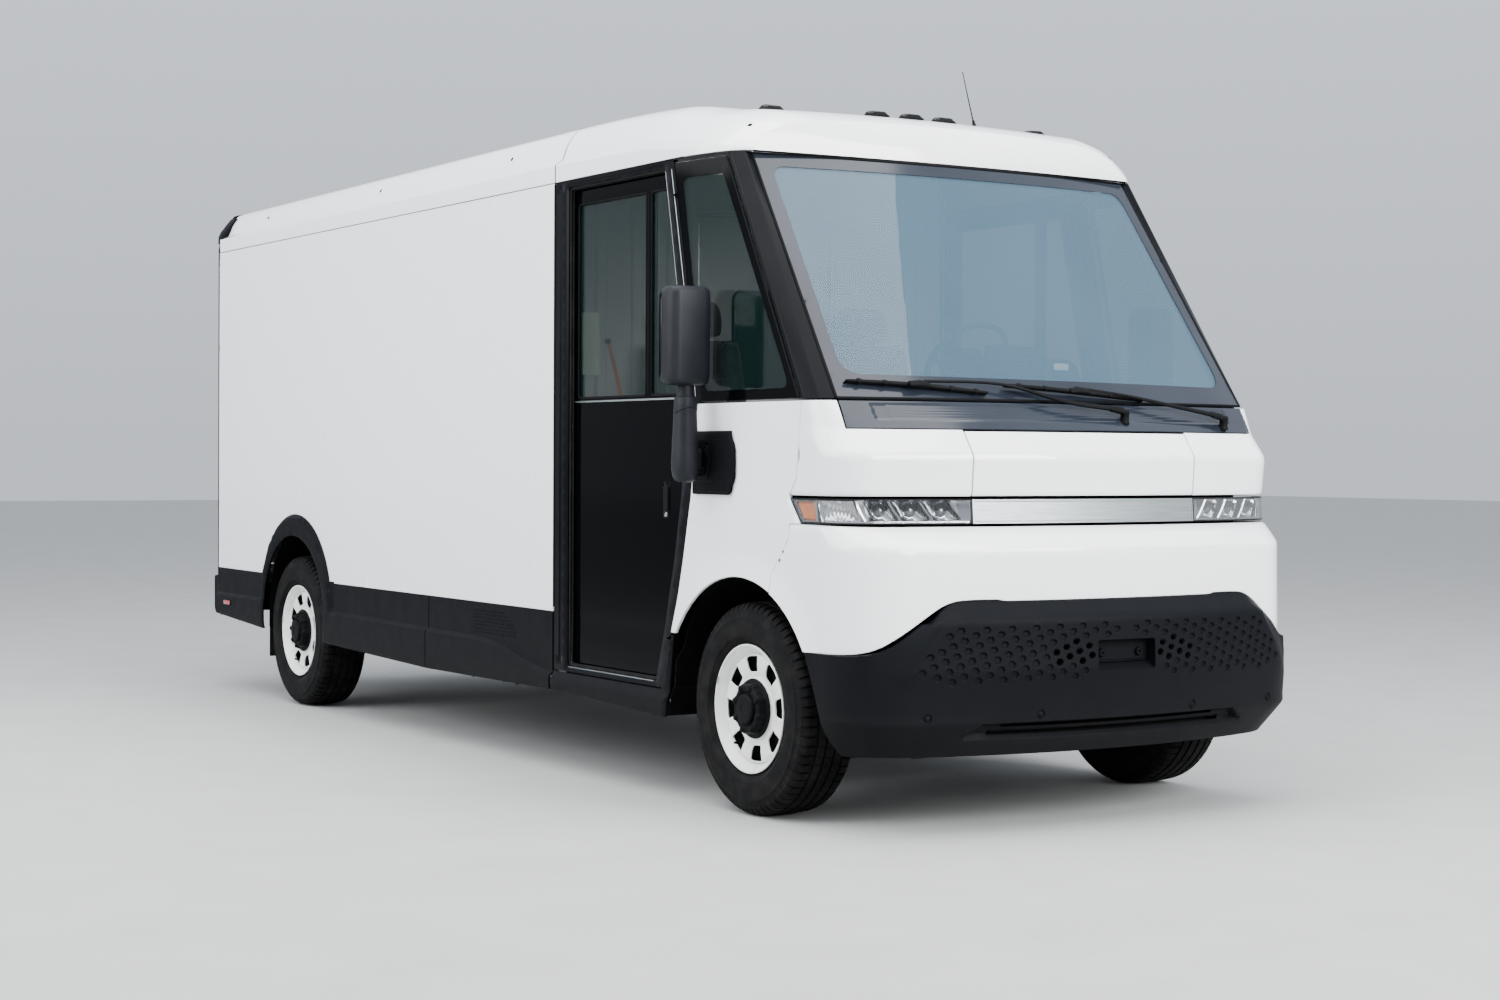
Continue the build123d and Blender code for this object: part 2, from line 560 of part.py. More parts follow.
# fenders: side panels from the nose seam to the door frame
FENDER_SIDE = [(-404, 1571), (338, 1571), (388, 1210), (448, 950), (526, 664), (400, 664), (-205, 664), (-205, 932),
               (-326, 1072), (-326, 1120), (-398, 1122), (-325, 1216), (-325, 1224), (-372, 1290)]
with BuildPart() as fenders:
    for side in BOTH:
        with BuildSketch(side_plane(HALF_W - SKIN if side > 0 else -HALF_W)):
            Polygon(*side_pts(FENDER_SIDE), align=None)
            with Locations((f(FRONT_ARCH["y"]), FRONT_ARCH["z"])):
                Circle(FRONT_ARCH["r"], mode=Mode.SUBTRACT)
        extrude(amount=SKIN)
fenders.part.label = "fenders"
export_step(fenders.part, "parts/fenders.step")

# ------------------------------------------------- door frames and side sills
FRAME_OUTER = [(318, 1575), (342, 1571), (392, 1210), (452, 950), (532, 660), (610, 437), (1556, 437), (1556, 2543), (535, 2543)]
DOOR_OPENING = [(418, 1575), (470, 1210), (524, 950), (590, 700), (668, 460), (1437, 460), (1437, 2516), (612, 2516)]
with BuildPart() as door_frames:
    for side in BOTH:
        with BuildSketch(side_plane(1028 if side > 0 else -1058)):
            Polygon(*side_pts(FRAME_OUTER), align=None)
            Polygon(*side_pts(DOOR_OPENING), align=None, mode=Mode.SUBTRACT)
        extrude(amount=30)
door_frames.part.label = "door_frames"
export_step(door_frames.part, "parts/door_frames.step")

# skirts: cross section (x, z) of the dark lower panels, and their side outline
SKIRT_SECTION = [(1030, 712), (1062, 712), (1064, 556), (1082, 538), (1078, 330), (1030, 318)]
SKIRT_SIDE = [(1562, 688), (5850, 702), (5850, 436), (5080, 393), (2850, 342), (1562, 350)]
SILL_SIDE = [(508, 655), (530, 655), (606, 432), (1558, 432), (1558, 350), (1440, 352), (552, 322)]
with BuildPart() as side_skirts:
    for side in BOTH:
        with BuildSketch(cross_plane(f(5850))):
            Polygon(*[(side * x, z) for x, z in SKIRT_SECTION], align=None)
        extrude(amount=5850 - 1562)
    with BuildSketch(side_plane(-1100)):
        Polygon(*side_pts(SKIRT_SIDE), align=None)
        with Locations((f(REAR_ARCH["y"]), REAR_ARCH["z"])):
            Circle(REAR_ARCH["r"], mode=Mode.SUBTRACT)
    extrude(amount=2200, mode=Mode.INTERSECT)
    for side in BOTH:
        with BuildSketch(side_plane(1030 if side > 0 else -1074)):
            with Locations((f(REAR_FLARE["y"]), REAR_FLARE["z"])):
                Circle(REAR_FLARE["r"] - 2)
            with Locations((f(REAR_ARCH["y"]), REAR_ARCH["z"])):
                Circle(REAR_ARCH["r"], mode=Mode.SUBTRACT)
            with Locations((f(4600), 180)):
                Rectangle(1400, 840, mode=Mode.SUBTRACT)
        extrude(amount=44)
        with BuildSketch(side_plane(1030 if side > 0 else -1078)):
            Polygon(*side_pts(SILL_SIDE), align=None)
        extrude(amount=48)
side_skirts.part.label = "side_skirts"
export_step(side_skirts.part, "parts/side_skirts.step")

with BuildPart() as mud_flaps:
    for side in BOTH:
        with Locations((side * 905, REAR_AXLE_Y + 470, 415)):
            Box(230, 10, 370)
mud_flaps.part.label = "mud_flaps"
export_step(mud_flaps.part, "parts/mud_flaps.step")

# ------------------------------------------------------------- sliding doors
LEAF_SIDE = [(395, 1575), (446, 1210), (500, 950), (566, 700), (650, 446), (1462, 446), (1462, 2522), (590, 2522)]
# window opening cut in the leaf, with a fixed bar between the panes
LEAF_WINDOWS = [
    [(450, 1610), (770, 1610), (770, 2440), (641, 2440)],
    [(812, 1610), (1400, 1610), (1400, 2440), (812, 2440)],
]
for side, word in ((1, "left"), (-1, "right")):
    inner = DOOR_IN if side > 0 else -DOOR_OUT
    with BuildPart() as sliding_door:
        with BuildSketch(side_plane(inner)):
            Polygon(*side_pts(LEAF_SIDE), align=None)
            for pane in LEAF_WINDOWS:
                Polygon(*side_pts(pane), align=None, mode=Mode.SUBTRACT)
        extrude(amount=DOOR_OUT - DOOR_IN)
    sliding_door.part.label = f"sliding_door_{word}"
    export_step(sliding_door.part, f"parts/sliding_door_{word}.step")
    with BuildPart() as door_glass:
        with BuildSketch(side_plane(side * 1014 - 3)):
            for pane in LEAF_WINDOWS:
                Polygon(*side_pts(pane), align=None)
        extrude(amount=6)
    door_glass.part.label = f"door_glass_{word}"
    export_step(door_glass.part, f"parts/door_glass_{word}.step")

# ------------------------------------------------------------------ bulkhead
PASSAGE_W, PASSAGE_TOP = 700.0, 2440.0
with BuildPart() as bulkhead:
    with BuildSketch(cross_plane(f(BULKHEAD_Y + 24))):
        Polygon((-975, FLOOR_Z), (975, FLOOR_Z), (975, 2600), (900, 2730), (840, 2752), (-840, 2752), (-900, 2730), (-975, 2600), align=None)
        with Locations((0, (FLOOR_Z + PASSAGE_TOP) / 2)):
            Rectangle(PASSAGE_W, PASSAGE_TOP - FLOOR_Z, mode=Mode.SUBTRACT)
    extrude(amount=24)
bulkhead.part.label = "bulkhead"
export_step(bulkhead.part, "parts/bulkhead.step")

with BuildPart() as bulkhead_door:
    with BuildSketch(cross_plane(f(BULKHEAD_Y + 60))):
        with Locations((0, (FLOOR_Z + 8 + 2480) / 2)):
            Rectangle(780, 2480 - FLOOR_Z - 8)
        with Locations((0, 1900)):
            RectangleRounded(320, 420, 40, mode=Mode.SUBTRACT)
    extrude(amount=28)
bulkhead_door.part.label = "bulkhead_door"
export_step(bulkhead_door.part, "parts/bulkhead_door.step")

# ----------------------------------------------------------------- rear end
with BuildPart() as rear_frame:
    with BuildSketch(cross_plane(f(5872))):
        Polygon((-1056, 500), (1056, 500), (1054, 2560), (1040, 2660), (960, 2768), (860, 2796), (-860, 2796), (-960, 2768), (-1040, 2660), (-1054, 2560), align=None)
        with Locations((0, (705 + 2560) / 2)):
            Rectangle(1840, 2560 - 705, mode=Mode.SUBTRACT)
    extrude(amount=5872 - 5854)
    with BuildSketch(cross_plane(f(5853))):
        with Locations((-950, 1640), (950, 1640)):
            Rectangle(60, 1820)
        with Locations((0, 2590)):
            Rectangle(1960, 60)
        with Locations((0, 600)):
            Rectangle(1960, 180)
    extrude(amount=5853 - 5775)
rear_frame.part.label = "rear_frame"
export_step(rear_frame.part, "parts/rear_frame.step")

SLAT_COUNT, SLAT_Z0, SLAT_PITCH = 9, 722.0, 204.0
with BuildPart() as rear_door:
    for i in range(SLAT_COUNT):
        with BuildSketch(cross_plane(f(5842))):
            with Locations((0, SLAT_Z0 + (i + 0.5) * SLAT_PITCH)):
                Rectangle(1832, SLAT_PITCH)
        extrude(amount=26)
    for i in range(1, SLAT_COUNT):
        with BuildSketch(cross_plane(f(5842))):
            with Locations((0, SLAT_Z0 + i * SLAT_PITCH)):
                Rectangle(1832, 5)
        extrude(amount=5, mode=Mode.SUBTRACT)
rear_door.part.label = "rear_door"
export_step(rear_door.part, "parts/rear_door.step")

REAR_PLATE_X, REAR_PLATE_Z = 0.0, 545.0
with BuildPart() as rear_bumper:
    with BuildSketch(side_plane(-1040)):
        Polygon(*side_pts([(5874, 440), (5940, 440), (5975, 470), (5975, 640), (5965, 650), (5874, 650), (5874, 620),
                           (5950, 620), (5950, 470), (5874, 460)]), align=None)
    extrude(amount=2080)
    with BuildSketch(cross_plane(f(5990))):
        with Locations((REAR_PLATE_X, REAR_PLATE_Z)):
            with GridLocations(PLATE_SCREW, 120.65, 2, 2):
                Circle(3.5)
    extrude(amount=60, mode=Mode.SUBTRACT)
rear_bumper.part.label = "rear_bumper"
export_step(rear_bumper.part, "parts/rear_bumper.step")

with BuildPart() as tail_lamps:
    for side in BOTH:
        with BuildSketch(cross_plane(f(5886))):
            with Locations((side * 1000, 1480)):
                RectangleRounded(70, 520, 12)
            with Locations((side * 880, 2690)):
                RectangleRounded(150, 44, 10)
        extrude(amount=13)
tail_lamps.part.label = "tail_lamps"
export_step(tail_lamps.part, "parts/tail_lamps.step")

# --------------------------------------------------------------- roof lamps
# small lamps on the brow: x, distance behind the front axle, z of the base
MARKERS = [(-669, 425, 2742), (669, 425, 2742), (-170, 405, 2756), (0, 400, 2757), (170, 405, 2756)]
with BuildPart() as marker_lamps:
    for x, y, z in MARKERS:
        with BuildSketch(Plane.XY.offset(z)) as foot:
            with Locations((x, f(y))):
                RectangleRounded(124, 64, 26)
        with BuildSketch(Plane.XY.offset(z + 32)) as top:
            with Locations((x, f(y + 8))):
                RectangleRounded(84, 38, 16)
        loft([foot.sketch, top.sketch], ruled=True)
    add(cab_roof.part, mode=Mode.SUBTRACT)
marker_lamps.part.label = "marker_lamps"
export_step(marker_lamps.part, "parts/marker_lamps.step")

ANTENNA_FOOT, ANTENNA_TIP = (335.0, 400.0, 2750.0), (324.0, 478.0, 3012.0)
with BuildPart() as antenna:
    with BuildSketch(Plane.XY.offset(ANTENNA_FOOT[2])):
        with Locations((ANTENNA_FOOT[0], f(ANTENNA_FOOT[1]))):
            Circle(16)
    extrude(amount=32)
    mast = Plane(origin=(ANTENNA_FOOT[0], f(ANTENNA_FOOT[1]), ANTENNA_FOOT[2] + 24),
                 z_dir=(ANTENNA_TIP[0] - ANTENNA_FOOT[0], ANTENNA_TIP[1] - ANTENNA_FOOT[1], ANTENNA_TIP[2] - ANTENNA_FOOT[2]))
    with BuildSketch(mast):
        Circle(3)
    extrude(amount=240)
    add(cab_roof.part, mode=Mode.SUBTRACT)
antenna.part.label = "antenna"
export_step(antenna.part, "parts/antenna.step")

# ------------------------------------------------------------------- mirrors
# head and stem stand close beside the base plate and fold on a short bracket
PIVOT_X, PIVOT_Y = 1100.0, 268.0
MIRROR_X, MIRROR_Y = 1175.0, 232.0
EAR_R, EAR_Z = 18.0, (1290.0, 1396.0)
with BuildPart() as mirror_mounts:
    for side in BOTH:
        with BuildSketch(side_plane(1061 if side > 0 else -1077)):
            Polygon(*side_pts([(76, 1218), (352, 1218), (352, 1463), (76, 1463), (42, 1390), (42, 1294)]), align=None)
        extrude(amount=16)
        for z in EAR_Z:
            with BuildSketch(Plane.XY.offset(z)):
                with Locations((side * PIVOT_X, f(PIVOT_Y))):
                    Circle(EAR_R)
                with Locations((side * (1068 + PIVOT_X) / 2, f(PIVOT_Y))):
                    Rectangle(PIVOT_X - 1068, 2 * EAR_R)
            extrude(amount=30)
mirror_mounts.part.label = "mirror_mounts"
export_step(mirror_mounts.part, "parts/mirror_mounts.step")

# stem and head sections: height, middle x, width, depth, corner radius
STEM_ROWS = [(1265, 1176, 84, 92, 36), (1350, 1178, 98, 104, 40), (1590, 1175, 78, 84, 30)]
HEAD_ROWS = [(1636, 1179, 186, 124, 46), (2018, MIRROR_X, 184, 120, 44)]
for side, word in ((1, "left"), (-1, "right")):
    with BuildPart() as mirror_head:
        with BuildSketch(Plane.XY.offset(EAR_Z[0] + 36)):
            with Locations((side * PIVOT_X, f(PIVOT_Y))):
                Circle(EAR_R)
            with BuildLine():
                Polyline((side * (PIVOT_X - 6), f(PIVOT_Y - 17)), (side * 1170, f(MIRROR_Y - 30)), (side * 1190, f(MIRROR_Y + 20)),
                         (side * PIVOT_X, f(PIVOT_Y + 18)), close=True)
            make_face()
        extrude(amount=EAR_Z[1] - EAR_Z[0] - 42)
        for rows in (STEM_ROWS, HEAD_ROWS):
            cuts = []
            for z, x, width, depth, corner in rows:
                with BuildSketch(Plane.XY.offset(z)) as cut:
                    with Locations((side * x, f(MIRROR_Y))):
                        RectangleRounded(width, depth, corner)
                cuts.append(cut.sketch)
            loft(cuts, ruled=True)
        with BuildSketch(Plane.XY.offset(1586)):
            with Locations((side * MIRROR_X, f(MIRROR_Y))):
                Circle(36)
        extrude(amount=60)
    mirror_head.part.label = f"mirror_{word}"
    export_step(mirror_head.part, f"parts/mirror_{word}.step")

# -------------------------------------------------------------------- wipers
# arms and blades along the lower edge of the glass, as straight runs:
# (x, distance behind the front axle, z) from and to, then width and height
WIPER_PIVOTS = [(240, -676, 1502), (800, -622, 1486)]
WIPER_RUNS = [
    ((240, -676, 1534), (-40, -660, 1574), 26, 14), ((-40, -660, 1574), (-300, -600, 1636), 18, 12), ((-300, -600, 1636), (-620, -556, 1638), 12, 10),
    ((-935, -500, 1643), (-650, -556, 1628), 14, 22), ((-654, -556, 1628), (-365, -606, 1606), 14, 22),
    ((800, -622, 1520), (540, -640, 1562), 26, 14), ((540, -640, 1562), (290, -622, 1602), 18, 12), ((290, -622, 1602), (50, -606, 1626), 12, 10),
    ((-277, -588, 1637), (60, -606, 1616), 14, 22), ((56, -606, 1616), (392, -610, 1593), 14, 22),
]
with BuildPart() as wipers:
    for x, y, z in WIPER_PIVOTS:
        with BuildSketch(Plane.XY.offset(z)):
            with Locations((x, f(y))):
                Circle(17)
        extrude(amount=46)
    for start, end, width, height in WIPER_RUNS:
        run = Vector(end[0] - start[0], end[1] - start[1], end[2] - start[2])
        with BuildSketch(Plane(origin=(start[0], f(start[1]), start[2]), x_dir=(0, 0, 1), z_dir=(run.X, run.Y, run.Z))):
            Rectangle(height, width)
        extrude(amount=run.length)
    add(cowl_panel.part, mode=Mode.SUBTRACT)
wipers.part.label = "wipers"
export_step(wipers.part, "parts/wipers.step")

# ------------------------------------------------------------------ interior
SEATS = [(450, 1040), (-450, 1040)]      # x and y of each cushion's middle
PEDESTAL_H = 440.0
SEAT_Z = FLOOR_Z + PEDESTAL_H
with BuildPart() as seat_bases:
    for x, y in SEATS:
        with Locations((x, f(y), FLOOR_Z + PEDESTAL_H / 2)):
            Box(360, 380, PEDESTAL_H)
seat_bases.part.label = "seat_bases"
export_step(seat_bases.part, "parts/seat_bases.step")

with BuildPart() as seats:
    for x, y in SEATS:
        with BuildSketch(Plane.XY.offset(SEAT_Z + 1)):
            with Locations((x, f(y))):
                RectangleRounded(500, 500, 60)
        extrude(amount=130)
        with BuildSketch(side_plane(x - 240)):
            Polygon(*side_pts([(y + 180, SEAT_Z + 110), (y + 290, SEAT_Z + 110), (y + 400, SEAT_Z + 730), (y + 310, SEAT_Z + 730)]), align=None)
        extrude(amount=480)
        with BuildSketch(side_plane(x - 140)):
            Polygon(*side_pts([(y + 310, SEAT_Z + 725), (y + 400, SEAT_Z + 725), (y + 425, SEAT_Z + 900), (y + 340, SEAT_Z + 900)]), align=None)
        extrude(amount=280)
seats.part.label = "seats"
export_step(seats.part, "parts/seats.step")

# steering wheel and its column, leaning towards the driver
WHEEL_HUB = (450.0, 600.0, 1785.0)
WHEEL_LEAN = math.radians(50)
COLUMN_DIR = (0.0, math.sin(WHEEL_LEAN), math.cos(WHEEL_LEAN))
hub_origin = (WHEEL_HUB[0], f(WHEEL_HUB[1]), WHEEL_HUB[2])
rim_plane = Plane(origin=hub_origin, x_dir=(1, 0, 0), z_dir=COLUMN_DIR)
with BuildPart() as steering_column:
    with BuildSketch(rim_plane.offset(-620)):
        Circle(38)
    extrude(amount=578)
steering_column.part.label = "steering_column"
export_step(steering_column.part, "parts/steering_column.step")

# dashboard profile from the side, run across the cab, with the driver's display
# on its neck and a low status housing behind the glass
DASH_SIDE = [(-470, 1180), (-150, 1120), (60, 1180), (180, 1320), (176, 1440), (90, 1535), (-250, 1556), (-470, 1556)]
DISPLAY_SIDE = [(60, 1525), (150, 1460), (216, 1700), (212, 1836), (190, 1836), (176, 1700)]
STATUS_FRONT = [(80, 1545), (80, 1752), (88, 1758), (204, 1757), (246, 1736), (330, 1545)]
with BuildPart() as dashboard:
    with BuildSketch(side_plane(-960)):
        Polygon(*side_pts(DASH_SIDE), align=None)
    extrude(amount=1920)
    with BuildSketch(side_plane(240)):
        Polygon(*side_pts(DISPLAY_SIDE), align=None)
    extrude(amount=330)
    with BuildSketch(cross_plane(f(-300))):
        Polygon(*STATUS_FRONT, align=None)
    extrude(amount=90)
    with BuildSketch(rim_plane.offset(-630)):
        Circle(38.4)
    extrude(amount=600, mode=Mode.SUBTRACT)
dashboard.part.label = "dashboard"
export_step(dashboard.part, "parts/dashboard.step")

with BuildPart() as steering_wheel:
    with BuildSketch(rim_plane.offset(-12)):
        Circle(205)
        Circle(176, mode=Mode.SUBTRACT)
    extrude(amount=28)
    with BuildSketch(rim_plane.offset(-8)):
        Rectangle(370, 46)
        with Locations((0, -90)):
            Rectangle(46, 180)
    extrude(amount=16)
    with BuildSketch(rim_plane.offset(-36)):
        Circle(70)
    extrude(amount=56)
steering_wheel.part.label = "steering_wheel"
export_step(steering_wheel.part, "parts/steering_wheel.step")
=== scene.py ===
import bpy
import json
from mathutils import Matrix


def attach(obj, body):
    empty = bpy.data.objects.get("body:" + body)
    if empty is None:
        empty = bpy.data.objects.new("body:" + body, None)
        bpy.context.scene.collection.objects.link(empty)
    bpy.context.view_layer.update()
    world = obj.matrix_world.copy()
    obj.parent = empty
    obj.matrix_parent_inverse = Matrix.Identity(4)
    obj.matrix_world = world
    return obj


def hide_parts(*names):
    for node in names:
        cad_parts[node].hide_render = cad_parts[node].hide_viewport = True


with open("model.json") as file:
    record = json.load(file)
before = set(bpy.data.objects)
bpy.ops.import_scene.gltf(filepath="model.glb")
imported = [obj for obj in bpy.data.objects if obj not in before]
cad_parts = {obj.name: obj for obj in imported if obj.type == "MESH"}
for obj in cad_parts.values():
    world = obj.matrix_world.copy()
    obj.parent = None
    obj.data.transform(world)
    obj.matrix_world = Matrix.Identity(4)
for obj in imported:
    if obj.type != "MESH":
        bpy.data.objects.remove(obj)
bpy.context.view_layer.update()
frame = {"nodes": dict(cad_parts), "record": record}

import bmesh
import bpy
import json
import math
import random
from mathutils import Matrix, Vector

FA = -2.495            # front axle Y
RA = 2.150             # rear axle Y

# ------------------------------------------------------------------ camera
cam_data = bpy.data.cameras.new("camera")
cam_data.sensor_width = 36.0
cam_data.lens = 56.945
cam_data.clip_end = 200.0
cam = bpy.data.objects.new("camera", cam_data)
bpy.context.collection.objects.link(cam)
yaw, pitch, roll = 0.5574, -0.0176, 0.0051
fwd = Vector((math.sin(yaw) * math.cos(pitch), math.cos(yaw) * math.cos(pitch), math.sin(pitch)))
right0 = Vector((math.cos(yaw), -math.sin(yaw), 0.0))
up0 = right0.cross(fwd)
right = right0 * math.cos(roll) + up0 * math.sin(roll)
up = up0 * math.cos(roll) - right0 * math.sin(roll)
cam.matrix_world = Matrix((
    (right.x, up.x, -fwd.x, -5.7853),
    (right.y, up.y, -fwd.y, -10.130),
    (right.z, up.z, -fwd.z, 1.3587),
    (0, 0, 0, 1)))
bpy.context.scene.camera = cam

# ------------------------------------------------------------------ studio
world = bpy.data.worlds.new("studio")
bpy.context.scene.world = world
world.use_nodes = True
world.node_tree.nodes["Background"].inputs["Color"].default_value = (0.80, 0.87, 0.95, 1)
world.node_tree.nodes["Background"].inputs["Strength"].default_value = 1.0
# sky: soft grey at the horizon, brighter overhead
sky_co = world.node_tree.nodes.new("ShaderNodeTexCoord")
sky_sep = world.node_tree.nodes.new("ShaderNodeSeparateXYZ")
sky_ramp = world.node_tree.nodes.new("ShaderNodeValToRGB")
sky_ramp.color_ramp.elements[0].position = 0.0
sky_ramp.color_ramp.elements[0].color = (0.72, 0.77, 0.83, 1)
sky_ramp.color_ramp.elements[1].position = 0.55
sky_ramp.color_ramp.elements[1].color = (1.25, 1.34, 1.46, 1)
world.node_tree.links.new(sky_co.outputs["Generated"], sky_sep.inputs["Vector"])
world.node_tree.links.new(sky_sep.outputs["Z"], sky_ramp.inputs["Fac"])
world.node_tree.links.new(sky_ramp.outputs["Color"], world.node_tree.nodes["Background"].inputs["Color"])


def area(name, loc, target, size, power, color=(1, 1, 1)):
    data = bpy.data.lights.new(name, "AREA")
    data.shape = "RECTANGLE"
    data.size, data.size_y = size
    data.energy = power
    data.color = color
    lamp = bpy.data.objects.new(name, data)
    bpy.context.collection.objects.link(lamp)
    lamp.location = loc
    lamp.rotation_euler = (Vector(target) - Vector(loc)).to_track_quat("-Z", "Y").to_euler()
    return lamp


area("top_softbox", (-2, -3, 9), (0, 0, 1), (12, 10), 2300)
area("front_softbox", (2.5, -12, 5), (0, -2, 1.2), (7, 5), 2100)
area("side_softbox", (-10, 1, 5), (0, 0, 1.2), (10, 5), 1050)

floor_mesh = bpy.data.meshes.new("floor")
floor_mesh.from_pydata([(-60, -60, 0), (60, -60, 0), (60, 60, 0), (-60, 60, 0)], [], [(0, 1, 2, 3)])
floor = bpy.data.objects.new("floor", floor_mesh)
bpy.context.collection.objects.link(floor)

# --------------------------------------------------------------- materials
def new_mat(name, color, rough, metal=0.0, coat=0.0, coat_rough=0.05, spec=0.5, sheen=0.0, alpha=1.0, trans=0.0, ior=1.5, emit=None):
    m = bpy.data.materials.new(name)
    m.use_nodes = True
    b = m.node_tree.nodes["Principled BSDF"]
    b.inputs["Base Color"].default_value = (*color, 1)
    b.inputs["Roughness"].default_value = rough
    b.inputs["Metallic"].default_value = metal
    b.inputs["Coat Weight"].default_value = coat
    b.inputs["Coat Roughness"].default_value = coat_rough
    b.inputs["Specular IOR Level"].default_value = spec
    b.inputs["Sheen Weight"].default_value = sheen
    b.inputs["Alpha"].default_value = alpha
    b.inputs["Transmission Weight"].default_value = trans
    b.inputs["IOR"].default_value = ior
    if emit:
        b.inputs["Emission Color"].default_value = (*emit[:3], 1)
        b.inputs["Emission Strength"].default_value = emit[3]
    return m


def node(m, kind, **sockets):
    n = m.node_tree.nodes.new(kind)
    for key, value in sockets.items():
        n.inputs[key.replace("_", " ")].default_value = value
    return n


def link(m, a, b):
    m.node_tree.links.new(a, b)


def coords(m, scale=(1, 1, 1)):
    t = m.node_tree.nodes.new("ShaderNodeTexCoord")
    g = m.node_tree.nodes.new("ShaderNodeMapping")
    g.inputs["Scale"].default_value = scale
    link(m, t.outputs["Object"], g.inputs["Vector"])
    return g.outputs["Vector"]


def mottle(m, color_a, color_b, scale, detail=4.0, lo=0.35, hi=0.65, co=None):
    """base colour that drifts between two tones"""
    vec = co or coords(m)
    n = node(m, "ShaderNodeTexNoise", Scale=scale, Detail=detail)
    link(m, vec, n.inputs["Vector"])
    r = m.node_tree.nodes.new("ShaderNodeValToRGB")
    r.color_ramp.elements[0].position, r.color_ramp.elements[1].position = lo, hi
    r.color_ramp.elements[0].color = (*color_a, 1)
    r.color_ramp.elements[1].color = (*color_b, 1)
    link(m, n.outputs["Fac"], r.inputs["Fac"])
    link(m, r.outputs["Color"], m.node_tree.nodes["Principled BSDF"].inputs["Base Color"])
    return r


def rough_noise(m, lo, hi, scale, vec=None):
    n = node(m, "ShaderNodeTexNoise", Scale=scale, Detail=5.0)
    link(m, vec or coords(m), n.inputs["Vector"])
    r = m.node_tree.nodes.new("ShaderNodeMapRange")
    r.inputs["To Min"].default_value, r.inputs["To Max"].default_value = lo, hi
    link(m, n.outputs["Fac"], r.inputs["Value"])
    link(m, r.outputs["Result"], m.node_tree.nodes["Principled BSDF"].inputs["Roughness"])


def bump(m, height, strength, distance, edge=0.0):
    b = node(m, "ShaderNodeBump", Strength=strength, Distance=distance)
    if height is not None:
        link(m, height, b.inputs["Height"])
    if edge:
        bev = m.node_tree.nodes.new("ShaderNodeBevel")
        bev.samples = 4
        bev.inputs["Radius"].default_value = edge
        link(m, bev.outputs["Normal"], b.inputs["Normal"])
    link(m, b.outputs["Normal"], m.node_tree.nodes["Principled BSDF"].inputs["Normal"])
    return b


def noise_bump(m, scale, strength, distance, edge=0.0, vec=None):
    n = node(m, "ShaderNodeTexNoise", Scale=scale, Detail=3.0)
    link(m, vec or coords(m), n.inputs["Vector"])
    bump(m, n.outputs["Fac"], strength, distance, edge)


def grain_bump(m, scale, strength, distance, edge=0.0):
    v = node(m, "ShaderNodeTexVoronoi", Scale=scale)
    link(m, coords(m), v.inputs["Vector"])
    bump(m, v.outputs["Distance"], strength, distance, edge)


def low_dirt(m, clean, dirty, z0=0.35, z1=1.2, scale=6.0, amount=0.5):
    """colour that dulls towards the road, broken up by noise"""
    nt = m.node_tree
    t = nt.nodes.new("ShaderNodeTexCoord")
    sep = nt.nodes.new("ShaderNodeSeparateXYZ")
    link(m, t.outputs["Object"], sep.inputs["Vector"])
    mr = nt.nodes.new("ShaderNodeMapRange")
    mr.inputs["From Min"].default_value, mr.inputs["From Max"].default_value = z1, z0
    link(m, sep.outputs["Z"], mr.inputs["Value"])
    n = node(m, "ShaderNodeTexNoise", Scale=scale, Detail=8.0, Roughness=0.7)
    link(m, t.outputs["Object"], n.inputs["Vector"])
    mul = nt.nodes.new("ShaderNodeMath")
    mul.operation = "MULTIPLY"
    link(m, mr.outputs["Result"], mul.inputs[0])
    link(m, n.outputs["Fac"], mul.inputs[1])
    mul2 = nt.nodes.new("ShaderNodeMath")
    mul2.operation = "MULTIPLY"
    mul2.inputs[1].default_value = amount
    link(m, mul.outputs[0], mul2.inputs[0])
    mix = nt.nodes.new("ShaderNodeMix")
    mix.data_type = "RGBA"
    mix.inputs["A"].default_value = (*clean, 1)
    mix.inputs["B"].default_value = (*dirty, 1)
    link(m, mul2.outputs[0], mix.inputs["Factor"])
    link(m, mix.outputs["Result"], nt.nodes["Principled BSDF"].inputs["Base Color"])


MATS = {}

m = MATS["white_paint"] = new_mat("white_paint", (0.90, 0.91, 0.925), 0.28, coat=0.9, coat_rough=0.04)
low_dirt(m, (0.90, 0.91, 0.925), (0.66, 0.66, 0.64), 0.6, 1.3, 5.0, 0.30)
noise_bump(m, 900.0, 0.06, 0.0002, edge=0.006)
rough_noise(m, 0.24, 0.34, 3.0)

m = MATS["black_gloss"] = new_mat("black_gloss", (0.0010, 0.0012, 0.0016), 0.06, spec=0.03)
noise_bump(m, 1.2, 0.02, 0.002, edge=0.003)
rough_noise(m, 0.05, 0.12, 30.0)

m = MATS["glazed_black"] = new_mat("glazed_black", (0.012, 0.0155, 0.0225), 0.10, spec=0.30)
mottle(m, (0.0105, 0.0135, 0.0200), (0.0160, 0.0200, 0.0285), 2.2)
rough_noise(m, 0.07, 0.16, 14.0)

m = MATS["dark_trim"] = new_mat("dark_trim", (0.004, 0.0044, 0.0060), 0.5, spec=0.05)
low_dirt(m, (0.0030, 0.0034, 0.0046), (0.018, 0.0175, 0.017), 0.25, 0.7, 7.0, 0.40)
grain_bump(m, 700.0, 0.35, 0.0006, edge=0.006)
rough_noise(m, 0.44, 0.60, 12.0)

# lit copy of the dark trim for the mirror head and arm: about twice as light, a painted highlight for the light falling
# on the mirror
m = MATS["mirror_shell"] = new_mat("mirror_shell", (0.009, 0.0102, 0.0130), 0.42, spec=0.14)
mottle(m, (0.0075, 0.0086, 0.0112), (0.0120, 0.0134, 0.0168), 7.0)
grain_bump(m, 700.0, 0.30, 0.0006, edge=0.006)

